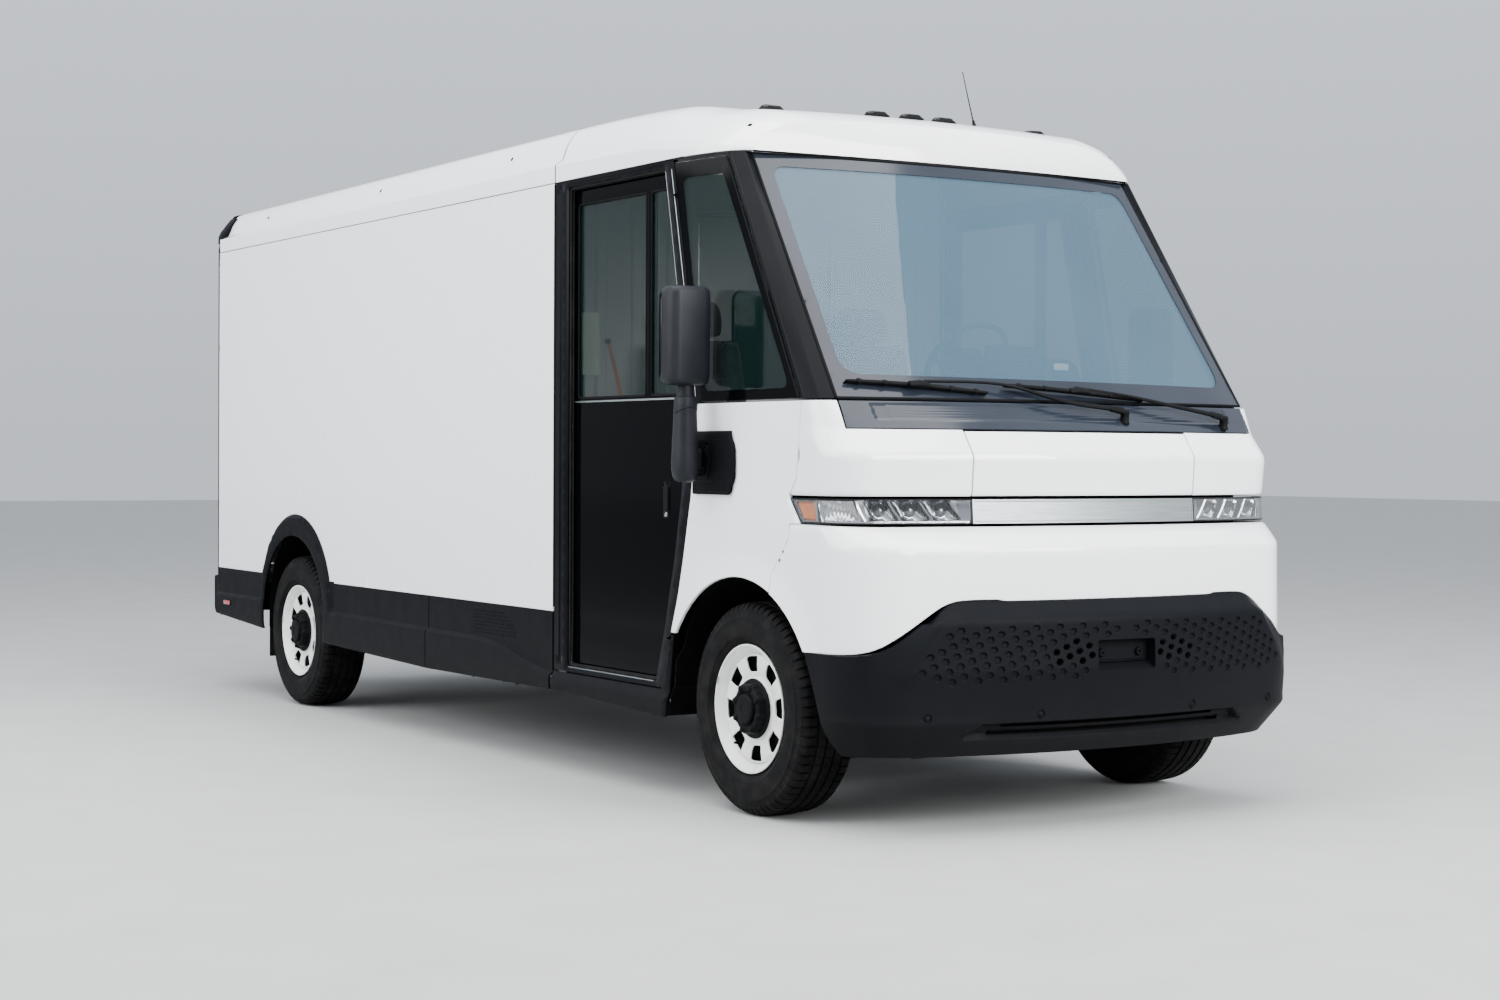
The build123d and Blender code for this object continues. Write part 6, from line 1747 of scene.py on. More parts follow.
# ------------------------------------------------------------------ wipers
ARMS = [
    [(0.240, -0.676, 1.541), (0.200, -0.682, 1.552), (-0.040, -0.664, 1.578), (-0.300, -0.603, 1.640), (-0.622, -0.560, 1.645)],
    [(0.800, -0.622, 1.526), (0.760, -0.630, 1.536), (0.540, -0.645, 1.567), (0.290, -0.627, 1.607), (0.050, -0.611, 1.634)],
]
BLADES = [[(-0.935, -0.504, 1.643), (-0.650, -0.560, 1.630), (-0.365, -0.608, 1.606)], [(-0.277, -0.600, 1.638), (0.058, -0.620, 1.617), (0.392, -0.616, 1.593)]]
PIVOTS = [(0.240, -0.676, 1.502), (0.800, -0.622, 1.486)]
wip = Shape()


def flat_run(pts, widths, heights, m=0):
    """tapering arm of flat oval section along a path"""
    pts = [Vector((x, f(y), z)) for x, y, z in pts]
    rings = []
    for i, p in enumerate(pts):
        d = (pts[min(i + 1, len(pts) - 1)] - pts[max(i - 1, 0)]).normalized()
        u = Vector((0, -0.59, 0.81)).cross(d).normalized()
        u = d.cross(Vector((0, -0.81, 0.59))).normalized()
        w = u.cross(d).normalized()
        rings.append([p + u * a * widths[i] + w * b * heights[i] for a, b in rrect(1.0, 1.0, 0.30, 3)])
    wip.loft(rings, m=m)


def bezier(pts, n=16):
    out = []
    for k in range(n + 1):
        t = k / n * (len(pts) - 1)
        i = min(int(t), len(pts) - 2)
        t -= i
        p0, p1, p2, p3 = (Vector(pts[max(i - 1, 0)]), Vector(pts[i]), Vector(pts[i + 1]), Vector(pts[min(i + 2, len(pts) - 1)]))
        out.append(0.5 * ((2 * p1) + (p2 - p0) * t + (2 * p0 - 5 * p1 + 4 * p2 - p3) * t * t + (3 * p1 - p0 - 3 * p2 + p3) * t ** 3))
    return out


for pts, (px, py, pz) in zip(ARMS, PIVOTS):
    run = bezier(pts, 20)
    n = len(run)
    flat_run(run, [0.026 - 0.016 * min(1, k / (n * 0.75)) for k in range(n)], [0.015 - 0.007 * min(1, k / n * 1.2) for k in range(n)])
    # pivot: splined post, cap and spring cover
    wip.lathe([(0.0, 0.0200), (0.004, 0.0205), (0.010, 0.0170), (0.034, 0.0165), (0.040, 0.0172), (0.050, 0.0165), (0.0545, 0.0120), (0.0555, 0.0005)], (px, f(py), pz - 0.004), (0, -0.10, 1), 28)
    a, b = run[3], run[6]
    flat_run([a, b], [0.030, 0.026], [0.019, 0.016])
for pts in BLADES:
    run = bezier(pts, 24)
    n = len(run)
    # spoiler back of the blade
    flat_run(run, [0.006 + 0.010 * math.sin(math.pi * k / (n - 1)) ** 0.5 for k in range(n)], [0.010 + 0.006 * math.sin(math.pi * k / (n - 1)) ** 0.5 for k in range(n)])
    # rubber edge on the glass side
    flat_run([(p[0], p[1] + 0.012, p[2] - 0.006) for p in run], [0.0030] * n, [0.010] * n, m=1)
    mid = run[n // 2]
    flat_run([(mid[0] - 0.045, mid[1] - 0.006, mid[2] + 0.004), (mid[0], mid[1] - 0.009, mid[2] + 0.006), (mid[0] + 0.045, mid[1] - 0.006, mid[2] + 0.002)], [0.022, 0.026, 0.022], [0.014, 0.018, 0.014])
    for q in (3, 7, n - 8, n - 4):
        p = run[q]
        flat_run([(p[0] - 0.008, p[1] - 0.002, p[2] + 0.001), (p[0] + 0.008, p[1] - 0.002, p[2])], [0.020, 0.020], [0.016, 0.016])
wip.obj("wiper_set", ["cab_plastic", "tyre"], swap=["wipers"], slot="cab_plastic", angle=35)

# ------------------------------------------------------------ sliding doors
LEAF = [(0.396, 1.573), (0.447, 1.210), (0.501, 0.950), (0.567, 0.700), (0.651, 0.448), (1.461, 0.448), (1.461, 2.521), (0.591, 2.521)]
PANES = [[(0.4525, 1.612), (0.769, 1.612), (0.769, 2.438), (0.642, 2.438)], [(0.813, 1.612), (1.399, 1.612), (1.399, 2.438), (0.813, 2.438)]]
FIELD_LOW = [(0.560, 0.830), (1.405, 0.830), (1.405, 1.500), (0.438, 1.500)]
for side, word in ((1, "left"), (-1, "right")):
    body = f"door_{word}"
    leaf = rounded(LEAF, [0.004, 0, 0, 0, 0.012, 0.012, 0.020, 0.020])
    panes = [rounded(q, 0.014) for q in PANES]

    def leaf_surf(y, z, side=side):
        d = edge_dist((y, z), LEAF)
        x = 1.0218 - 0.0045 * (1 - smooth01(d / 0.010))
        # pressed lines: waist bead, two kick lines near the step, door edge fold
        x -= 0.0030 * math.exp(-((z - 0.655) / 0.005) ** 2) * (1 if 0.62 < y < 1.42 else 0)
        x -= 0.0030 * math.exp(-((z - 0.618) / 0.005) ** 2) * (1 if 0.63 < y < 1.42 else 0)
        x -= 0.0025 * math.exp(-((z - 1.560) / 0.006) ** 2)
        return Vector((side * x, f(y), z))
    me = skin_mesh(f"door_leaf_{word}", [skin(leaf, leaf_surf, 0.045, holes=panes, rim=0.012, lines=[
        [(0.60, 0.661), (1.43, 0.661), (1.43, 0.649), (0.60, 0.649)], [(0.61, 0.624), (1.43, 0.624), (1.43, 0.612), (0.61, 0.612)],
        [(0.41, 1.567), (1.45, 1.567), (1.45, 1.553), (0.41, 1.553)]])], side_out)
    put(f"door_leaf_{word}", me, "black_gloss", body=body, swap=[f"sliding_door_{word}"], angle=30, mods=[SHELL(0.028), SOFT(0.002, 2, 50)])
    rub = Shape()
    for q in PANES:
        ring = [Vector((side * 1.0205, f(y), z)) for y, z in resample(rounded([(a, b) for a, b in q], 0.016), 0.03)]
        rub.tube(ring + [ring[0]], 0.0052, 8)
    ring = [Vector((side * 1.0085, f(y), z)) for y, z in resample([(y * 1.0, z) for y, z in rounded(LEAF, 0.010)], 0.04)]
    rub.tube(ring + [ring[0]], 0.0048, 8)
    rub.obj(f"door_rubber_{word}", "cab_plastic", body=body)
    metal = Shape()
    # bright waist strip under the panes
    metal.block((side * 1.0205 - 0.0040, f(0.455), 1.5925), (side * 1.0205 + 0.0040, f(1.440), 1.6000), 0.0015)
    # smooth black post between the panes, with a rib down its middle
    metal.block((side * 1.0205 - 0.0040, f(0.7745), 1.617), (side * 1.0205 + 0.0036, f(0.8075), 2.433), 0.0015, m=1)
    metal.obj(f"door_strips_{word}", ["bar_metal", "black_gloss"], body=body, slot="bar_metal", angle=35)
    grip = Shape()
    # recessed pull near the leading edge, with its lock, and the inside handle
    at = frame_at((side * 1.0215, f(0.640), 1.190), (0, -side * -1.0, 0), (0, 0, 1))
    at = Matrix(((0, 0, side, side * 1.0205), (1, 0, 0, f(0.640)), (0, 1, 0, 1.190), (0, 0, 0, 1)))
    grip.prism(rrect(0.058, 0.150, 0.016, 5), 0.0022, at, r=0.001)
    at2 = Matrix(((0, 0, side, side * 1.0228), (1, 0, 0, f(0.640)), (0, 1, 0, 1.200), (0, 0, 0, 1)))
    grip.prism(rrect(0.040, 0.104, 0.014, 5), 0.0050, at2, r=0.002, m=1)
    grip.lathe([(0.0, 0.0095), (0.003, 0.0095), (0.004, 0.0080), (0.003, 0.0070), (0.003, 0.0004)], (side * 1.0225, f(0.640), 1.131), (side, 0, 0), 24, m=2)
    for z in (0.94, 1.28):
        grip.block((side * 0.985 - 0.008, f(0.735) - 0.012, z - 0.012), (side * 0.985 + 0.008, f(0.735) + 0.012, z + 0.012), 0.004, m=1)
    grip.tube([(side * 0.9835, f(0.735), 0.93), (side * 0.9835, f(0.735), 1.29)], 0.0065, 12, m=1)
    grip.obj(f"door_handle_{word}", ["black_gloss", "cab_plastic", "bar_metal"], body=body, slot="black_gloss", angle=35)
    inner = Shape()
    # inside lining with a stiffening frame and roller brackets
    inner.block((side * 0.9885 - 0.0025, f(0.575), 0.76), (side * 0.9885 + 0.0025, f(1.440), 1.555), 0.002)
    for y0, y1, z0, z1 in ((0.60, 1.42, 0.800, 0.826), (0.52, 1.42, 1.150, 1.176), (0.48, 1.42, 1.515, 1.541)):
        inner.block((side * 0.9845 - 0.003, f(y0), z0), (side * 0.9845 + 0.003, f(y1), z1), 0.003)
    inner.obj(f"door_lining_{word}", "cab_plastic", body=body, angle=35)

# blank notice inside the near door's window and an orange pull strap beside it
paper = Shape()
rows = []
for i in range(11):
    row = []
    for j in range(13):
        u, v = i / 10, j / 12
        y = 1.236 + 0.193 * u + 0.006 * v
        z = 1.707 + 0.267 * v + 0.008 * u
        bow = 0.0012 * math.sin(math.pi * u) + 0.0018 * (1 - v) ** 2 * u
        row.append(Vector((-1.0092 + bow, f(y), z)))
    rows.append(row)
paper.grid(rows)
paper.obj("window_notice", "paper_green", body="door_right", slot="liner_grey", mods=[("SOLIDIFY", dict(thickness=0.0004, offset=1.0))])
strap = Shape()
path = [Vector((-0.9868, f(1.205), 1.845)), Vector((-0.9800, f(1.196), 1.815)), Vector((-0.9770, f(1.160), 1.735)), Vector((-0.9775, f(1.120), 1.650)), Vector((-0.9805, f(1.096), 1.600)), Vector((-0.9868, f(1.090), 1.575))]
rows = []
for k in range(31):
    t = k / 30 * (len(path) - 1)
    i = min(int(t), len(path) - 2)
    p = path[i].lerp(path[i + 1], t - i)
    rows.append([p + Vector((0.0006 * math.sin(k * 1.3), w * 0.92, w * 0.38)) for w in (-0.021, -0.0195, -0.007, 0.007, 0.0195, 0.021)])
strap.grid(rows)
strap.obj("door_pull_strap", "strap_orange", body="door_right", slot="seat_cloth", mods=[("SOLIDIFY", dict(thickness=0.0016, offset=0.0)), SOFT(0.0004, 1, 60)])
clips = Shape()
for y, z in ((1.205, 1.850), (1.090, 1.570)):
    clips.block((-0.9915, f(y) - 0.026, z - 0.011), (-0.9835, f(y) + 0.026, z + 0.011), 0.003)
    clips.lathe([(0.0, 0.006), (0.0025, 0.0055), (0.003, 0.001)], (-0.9835, f(y), z), (1, 0, 0), 12)
clips.obj("strap_clips", "cab_plastic", body="door_right")

# ------------------------------------------------------ skirts, sills, flares
CREASE_LINE = [(0.50, 0.405), (1.49, 0.408), (1.81, 0.443), (2.04, 0.498), (2.28, 0.524), (2.81, 0.527), (4.03, 0.538), (5.03, 0.553), (5.90, 0.547)]


def crease_z(y):
    out = 0.0
    for k in range(-3, 4):
        q = min(max(y + 0.03 * k, 0.501), 5.899)
        for (ya, za), (yb, zb) in zip(CREASE_LINE, CREASE_LINE[1:]):
            if q <= yb:
                out += za + (zb - za) * (q - ya) / (yb - ya)
                break
    return out / 7


RA_Y, RA_Z, RA_R, RF_Y, RF_Z, RF_R = 4.628, 0.475, 0.450, 4.610, 0.520, 0.521
skirt_low = lambda y: 0.350 + (0.342 - 0.350) * (y - 1.562) / 1.288 if y < 2.85 else (0.342 + 0.051 * (y - 2.85) / 2.23 if y < 5.08 else 0.393 + 0.043 * (y - 5.08) / 0.77)
a_front = math.pi - math.asin((0.700 - RF_Z) / RF_R)
a_rear = math.asin((0.701 - RF_Z) / RF_R)
SKIRT_FRONT = [(1.562, 0.690), (2.855, 0.695), (2.855, skirt_low(2.855)), (1.562, 0.351)]
flare_top = [(RF_Y + RF_R * math.cos(a_front + (a_rear - a_front) * k / 48), RF_Z + RF_R * math.sin(a_front + (a_rear - a_front) * k / 48)) for k in range(49)]
b_front = math.pi + math.asin((RA_Z - 0.374) / RA_R)
b_rear = -math.asin((RA_Z - 0.393) / RA_R)
arch_run = [(RA_Y + RA_R * math.cos(b_rear + (b_front - b_rear) * k / 60), RA_Z + RA_R * math.sin(b_rear + (b_front - b_rear) * k / 60)) for k in range(61)]
SKIRT_REAR = [(2.863, 0.695)] + flare_top + [(5.848, 0.701), (5.848, 0.437), (5.460, 0.415)] + arch_run + [(3.50, skirt_low(3.50)), (2.863, skirt_low(2.863))]
patch = []
for i in range(30):
    for j in range(7):
        c = (1.86 + 0.030 * i + 0.010 * j, 0.552 + 0.0165 * j)
        if 1.90 + 0.25 * (c[1] - 0.55) < c[0] < 2.36 and c[1] < 0.655 - 0.10 * smooth01((2.05 - c[0]) / 0.2):
            patch.append([(c[0] + u, c[1] + v) for u, v in ngon(6, 0.0078, 0.0, 1.25, 0.75)])


def skirt_surf(side):
    def surf(y, z):
        zc = crease_z(y)
        rf = math.hypot(y - RF_Y, z - RF_Z)
        ra = math.hypot(y - RA_Y, z - RA_Z)
        x = 1.0615 + 0.0195 * smooth01((zc + 0.012 - z) / 0.020)
        x -= 0.006 * smooth01((skirt_low(max(y, 1.57)) + 0.020 - z) / 0.020) if 1.56 < y else 0.0
        if 3.9 < y < 5.4:
            # rounded band that follows the arch and dies into the crease
            band = 0.0155 * smooth01((RF_R - rf) / 0.016) * smooth01((z - 0.40) / 0.20)
            x = max(x, 1.0615 + band)
            x -= 0.005 * (1 - smooth01((ra - RA_R) / 0.010))
        x -= 0.004 * smooth01((z - 0.684) / 0.010) if not 4.05 < y < 5.16 else 0.0
        return Vector((side * x, f(y), z))
    return surf


parts = []
for side in (1, -1):
    surf = skirt_surf(side)
    # edges laid along the crease, so that it runs clean
    fold = [[(y0 + (y1 - y0) * k / 60, crease_z(y0 + (y1 - y0) * k / 60) + up) for k in range(61)] for y0, y1 in ((1.575, 2.843), (2.875, 4.000)) for up in (0.0115, -0.0075)]
    parts.append(skin(SKIRT_FRONT, surf, 0.022, holes=patch, rim=0.016, lines=[fold[0] + fold[1][::-1]]))
    parts.append(skin(SKIRT_REAR, surf, 0.022, rim=0.018, lines=[fold[2] + fold[3][::-1]]))
    cv, cf = [], []
    for ring in patch:
        n = len(cv)
        cx, cz = sum(p[0] for p in ring) / 6, sum(p[1] for p in ring) / 6
        outer = [surf(*p) for p in ring]
        cv += outer + [Vector((q.x - side * 0.0030, f(cx) + (q.y - f(cx)) * 0.65, cz + (q.z - cz) * 0.65)) for q in outer]
        cf += [(n + i, n + (i + 1) % 6, n + 6 + (i + 1) % 6, n + 6 + i) for i in range(6)] + [tuple(n + 6 + i for i in range(6))]
    parts.append((cv, cf))
me = skin_mesh("skirt_panels", parts, side_out)
put("skirt_panels", me, "dark_trim", swap=["side_skirts"], angle=32, mods=[("SOLIDIFY", dict(thickness=0.010, offset=-1.0, use_even_offset=False))])

# sills under the doors, running forward to the front arch
SILL = [(0.509, 0.654), (0.530, 0.654), (0.560, 0.566), (0.606, 0.433), (1.557, 0.433), (1.557, 0.352), (1.440, 0.353), (0.985, 0.338), (0.553, 0.323), (0.531, 0.490)]
parts = []
for side in (1, -1):
    def sill_surf(y, z, side=side):
        d = edge_dist((y, z), SILL)
        x = 1.070 + 0.0115 * smooth01((0.418 - z) / 0.018) - 0.008 * (1 - smooth01(d / 0.010))
        return Vector((side * min(x, 1.0815), f(y), z))
    parts.append(skin(SILL, sill_surf, 0.017, rim=0.017))
me = skin_mesh("sill_panels", parts, side_out)
put("sill_panels", me, "dark_trim", angle=32, mods=[("SOLIDIFY", dict(thickness=0.030, offset=-1.0, use_even_offset=False)), SOFT(0.003, 2, 50)])
tread = Shape()
for side in (1, -1):
    # ribbed step plate on the sill
    for k in range(11):
        x = side * (1.030 - 0.0235 * k)
        tread.block((x - 0.0075, f(0.640), 0.4335), (x + 0.0075, f(1.430), 0.4385), 0.002)
tread.obj("step_treads", "floor_metal")

# reflectors at the rear of the skirts
for side, word in ((1, "left"), (-1, "right")):
    refl = Shape()
    at = Matrix(((0, 0, side, side * 1.0790), (1, 0, 0, f(5.640)), (0, 1, 0, 0.508), (0, 0, 0, 1)))
    refl.prism(rrect(0.118, 0.034, 0.010, 5), 0.0050, at, r=0.0015, m=0)
    at = Matrix(((0, 0, side, side * 1.0838), (1, 0, 0, f(5.640)), (0, 1, 0, 0.508), (0, 0, 0, 1)))
    refl.prism(rrect(0.104, 0.022, 0.007, 5), 0.0022, at, r=0.001, m=1)
    refl.obj(f"side_reflector_{word}", ["cab_plastic", "red_lens"], slot="red_lens", angle=35)

# mud flaps: moulded sheets with ribs and a clamping bar
flaps = Shape()
for side in (1, -1):
    rows = []
    for i in range(13):
        row = []
        for j in range(15):
            u, v = i / 12, j / 14
            x = 0.792 + 0.226 * u
            z = 0.232 + 0.366 * v
            y = 2.6200 + 0.0010 * math.cos(u * math.pi * 6) - 0.010 * (1 - v) ** 2 * 0
            row.append(Vector((side * x, y, z)))
        rows.append(row)
    flaps.grid(rows)
flaps.obj("mud_flap_pair", "tyre", swap=["mud_flaps"], mods=[("SOLIDIFY", dict(thickness=0.0060, offset=0.0)), SOFT(0.001, 1, 60)])
bars = Shape()
for side in (1, -1):
    bars.block((side * 0.905 - 0.112, 2.6122, 0.560), (side * 0.905 + 0.112, 2.6160, 0.590), 0.002)
    for q in (-0.09, -0.03, 0.03, 0.09):
        bars.lathe([(0.0, 0.007), (0.0035, 0.0068), (0.0042, 0.0055), (0.0042, 0.0005)], (side * 0.905 + q, 2.6122, 0.575), (0, -1, 0), 6)
bars.obj("mud_flap_clamps", "frame_steel")

# ------------------------------------------------ door frames and wheel liners
FRAME_OUT = [(0.320, 1.573), (0.343, 1.571), (0.393, 1.210), (0.453, 0.950), (0.533, 0.660), (0.611, 0.438), (1.555, 0.438), (1.555, 2.542), (0.536, 2.542)]
OPENING = [(0.418, 1.575), (0.470, 1.210), (0.524, 0.950), (0.590, 0.700), (0.668, 0.460), (1.437, 0.460), (1.437, 2.516), (0.612, 2.516)]
for side, word in ((1, "left"), (-1, "right")):
    hole = rounded(OPENING, [0.004, 0, 0, 0, 0.016, 0.016, 0.020, 0.024])

    def frame_surf(y, z, side=side):
        x = 1.0575 - 0.006 * (1 - smooth01(edge_dist((y, z), OPENING) / 0.014))
        # rolled channel running down the rear post
        if 1.46 < y < 1.54 and 0.49 < z < 2.51:
            x -= 0.0045 * smooth01((0.011 - abs(y - 1.500)) / 0.006)
        return Vector((side * x, f(y), z))
    outline = rounded(FRAME_OUT, [0.002, 0.004, 0, 0, 0, 0.006, 0.006, 0.010, 0.010])
    part = skin(outline, frame_surf, 0.045, holes=[hole], rim=0.020, lines=[
        [(1.489, 0.49), (1.511, 0.49), (1.511, 2.51), (1.489, 2.51)], [(1.495, 0.496), (1.505, 0.496), (1.505, 2.504), (1.495, 2.504)],
        [(0.403, 1.574), (0.455, 1.207), (0.509, 0.947), (0.576, 0.695), (0.656, 0.446), (1.451, 0.446), (1.451, 2.530), (0.600, 2.530)]])
    me = skin_mesh(f"door_frame_{word}", [part], side_out)
    put(f"door_frame_{word}", me, "pillar_satin", swap=["door_frames"] if side > 0 else (), slot="dark_trim", angle=32, mods=[SHELL(0.020), SOFT(0.002, 2, 50)])
    seals = Shape()
    # double bulb seal round the opening
    for grow, x, r in ((0.0, 1.0440, 0.0050), (0.004, 1.0335, 0.0045)):
        ring = [Vector((side * x, f(y), z)) for y, z in resample(rounded([(y + (0.006 + grow) * (1 if y < 0.9 else -1), z + (0.006 + grow) * (1 if z < 1.0 else (-1 if z > 2 else 0))) for y, z in OPENING], 0.018), 0.04)]
        seals.tube(ring + [ring[0]], r, 8)
    seals.obj(f"door_frame_seal_{word}", "rubber_mat", slot="cab_plastic")
    trim = Shape()
    # painted highlight: pale metal strip along the slanting front edge of the frame, standing for the light line on its
    # rounded edge
    edge = [(0.5375, 2.505), (0.490, 2.290), (0.440, 2.060), (0.392, 1.850), (0.352, 1.655), (0.342, 1.600)]
    pts = [Vector((side * 1.0597, f(y + 0.010), z)) for y, z in edge]
    trim.tube(pts, 0.0013, 6)
    # second painted highlight line, on the edge of the opening
    trim.tube([Vector((side * 1.0570, f(y), z)) for y, z in ((0.6000, 2.500), (0.5500, 2.268), (0.5060, 2.050), (0.4640, 1.850), (0.4240, 1.655), (0.4140, 1.600))], 0.0008, 6)
    # threshold plate with screw heads
    trim.block((side * 1.0400 - 0.014, f(0.690), 0.4555), (side * 1.0400 + 0.014, f(1.430), 0.4600), 0.0015)
    for k in range(6):
        trim.lathe([(0.0, 0.0050), (0.0015, 0.0048), (0.0022, 0.0030), (0.0022, 0.0004)], (side * 1.0400, f(0.740 + 0.128 * k), 0.4598), (0, 0, 1), 12)
    trim.obj(f"door_frame_trim_and_highlight_lines_{word}", "bar_metal")

# arch liners, front and rear: thin moulded shells with ribs, clear of the wheels
for side, word in ((1, "left"), (-1, "right")):
    rows = []
    arc = [(-0.492, 0.40)] + [(0.503 * math.cos(math.pi - math.pi * k / 30), 0.4520 + 0.503 * math.sin(math.pi - math.pi * k / 30)) for k in range(31)] + [(0.521, 0.43), (0.548, 0.330)]
    arc = [(y, z) for y, z in arc if y > -0.38]
    for k, (y, z) in enumerate(arc):
        lift = 0.0022 if k % 4 < 2 else 0.0
        rows.append([Vector((side * x, f(y + (0.0 if z > 0.55 else lift)), z + (lift if z > 0.55 else 0))) for x in (0.690, 0.720, 0.80, 0.88, 0.96, 1.020, 1.030, 1.030 + (0.029 if y > 0.40 and z < 0.56 else 0.002))])
    liner = Shape()
    liner.grid(rows)
    liner.obj(f"front_liner_{word}", "cab_plastic", angle=30, mods=[("SOLIDIFY", dict(thickness=0.0035, offset=1.0))])
    rows = []
    arc = [(4.628 + 0.470 * math.cos(math.pi - math.pi * k / 36), 0.490 + 0.470 * math.sin(math.pi - math.pi * k / 36)) for k in range(37)]
    arc = [(4.160, 0.380)] + arc + [(5.100, 0.400)]
    for k, (y, z) in enumerate(arc):
        lift = 0.0022 if k % 4 < 2 else 0.0
        rows.append([Vector((side * x, f(y), min(z, 0.940) + lift)) for x in (0.760, 0.79, 0.86, 0.94, 1.010, 1.026)])
    liner = Shape()
    liner.grid(rows)
    liner.obj(f"rear_liner_{word}", "cab_plastic", angle=30, mods=[("SOLIDIFY", dict(thickness=0.0035, offset=1.0))])

# -------------------------------------------------------------- cargo walls
WALL = [(1.562, 0.691), (5.843, 0.705), (5.831, 2.543), (1.562, 2.543)]
parts = []
bay = [(RF_Y + (RF_R + 0.001) * math.cos(2 * math.pi * k / 96), RF_Z + (RF_R + 0.001) * math.sin(2 * math.pi * k / 96)) for k in range(96)]
low = [p for p in bay if p[1] > 0.6925]
low.sort(key=lambda p: -math.atan2(p[1] - RF_Z, p[0] - RF_Y))
wall_line = [(1.562, 0.691), (low[0][0], 0.6915)] + low + [(low[-1][0], 0.7030), (5.843, 0.705), (5.831, 2.543), (1.562, 2.543)]
for side in (1, -1):
    def wall_surf(y, z, side=side):
        # faint quilting between the posts inside, and eased borders
        x = 1.0608 + 0.0005 * math.sin(y * 4.2 + 0.6 * math.sin(z * 3.1)) * math.sin(z * 2.3 + 0.7)
        x -= 0.0014 * math.exp(-((z - 2.520) / 0.004) ** 2)
        x -= 0.0012 * math.exp(-((y - 5.790) / 0.004) ** 2)
        return Vector((side * x, f(y), z))
    parts.append(skin(wall_line, wall_surf, 0.18, rim=0.024, lines=[
        [(1.60, 2.526), (5.78, 2.526), (5.78, 2.514), (1.60, 2.514)], [(5.784, 0.76), (5.796, 0.76), (5.796, 2.50), (5.784, 2.50)]]))
me = skin_mesh("cargo_wall_skins", parts, side_out)
put("cargo_wall_skins", me, "white_paint", angle=30, mods=[("SOLIDIFY", dict(thickness=0.0016, offset=-1.0))])
seam = Shape()
for side in (1, -1):
    # sealed gap against the door frame and under the roof strip
    seam.tube([(side * 1.0585, f(1.5590), z) for z in (0.71, 1.3, 1.9, 2.54)], 0.0028, 8)
    seam.tube([(side * 1.0590, f(y), 2.5445) for y in (1.57, 3.0, 4.4, 5.828)], 0.0024, 8)
    seam.tube([(side * 1.0595, f(5.8450 - 0.0065 * (z - 0.70)), z) for z in (0.72, 1.3, 1.9, 2.54)], 0.0030, 8)
seam.obj("cargo_wall_sealant", "rubber_mat", slot="cab_plastic")

# ------------------------------------------------------- roof lamps, antenna
lampset = Shape()
for cx, cy, cz in ((-0.669, 0.425, 2.742), (-0.170, 0.405, 2.756), (0.0, 0.400, 2.757), (0.170, 0.405, 2.756), (0.669, 0.425, 2.742)):
    tilt = -0.028 if abs(cx) > 0.5 else 0.0
    lean = 0.10
    at = Matrix.Translation((cx, f(cy), cz)) @ Matrix.Rotation(tilt * (1 if cx > 0 else -1), 4, "Y") @ Matrix.Rotation(-lean, 4, "X")
    rings = [[at @ Vector((u, v, z)) for u, v in rrect(w, d, r, 6)] for z, w, d, r in ((-0.006, 0.122, 0.062, 0.026), (0.006, 0.124, 0.064, 0.027), (0.014, 0.118, 0.059, 0.026), (0.019, 0.108, 0.052, 0.023), (0.0175, 0.104, 0.048, 0.022))]
    lampset.loft(rings, m=0)
    rings = [[at @ Vector((u, v + 0.001, z)) for u, v in rrect(w, d, r, 6)] for z, w, d, r in ((0.016, 0.102, 0.047, 0.021), (0.023, 0.100, 0.046, 0.021), (0.028, 0.094, 0.043, 0.020), (0.0310, 0.084, 0.036, 0.017), (0.0318, 0.070, 0.028, 0.013))]
    lampset.loft(rings, m=1)
    for q in (-0.028, 0.0, 0.028):
        lampset.block((q - 0.009, -0.008, 0.011), (q + 0.009, 0.008, 0.018), 0.003, m=2, at=at)
    for q in (-0.056, 0.056):
        lampset.lathe([(0.0, 0.0035), (0.002, 0.0033), (0.0026, 0.0004)], at @ Vector((q, 0, 0.008)), (0, 0, 1), 10, m=0)
lampset.obj("roof_lamps", ["cab_plastic", "privacy_glass", "amber_lens"], swap=["marker_lamps"], slot="lamp_lens", angle=35)

mast = Shape()
foot, tip = Vector((0.335, f(0.400), 2.752)), Vector((0.324, f(0.475), 3.003))
axis = (tip - foot).normalized()
mast.lathe([(0.000, 0.0150), (0.003, 0.0158), (0.007, 0.0150), (0.010, 0.0120), (0.020, 0.0085), (0.030, 0.0066), (0.042, 0.0055), (0.044, 0.0042), (0.043, 0.0030)], foot - axis * 0.001, axis, 24, m=0)
pts, rad = [], []
for k in range(61):
    t = 0.16 + 0.84 * k / 60
    bend = 0.0016 * math.sin(math.pi * t)
    pts.append(foot.lerp(tip, t) + Vector((0, bend, 0)))
    rad.append((0.0030 - 0.0014 * t) * (1.12 if k % 3 == 0 else 1.0))
rad[-1] = 0.0024
rad[-2] = 0.0026
mast.tube(pts, rad, 8, m=0)
mast.obj("antenna_mast", "cab_plastic", swap=["antenna"], angle=35)

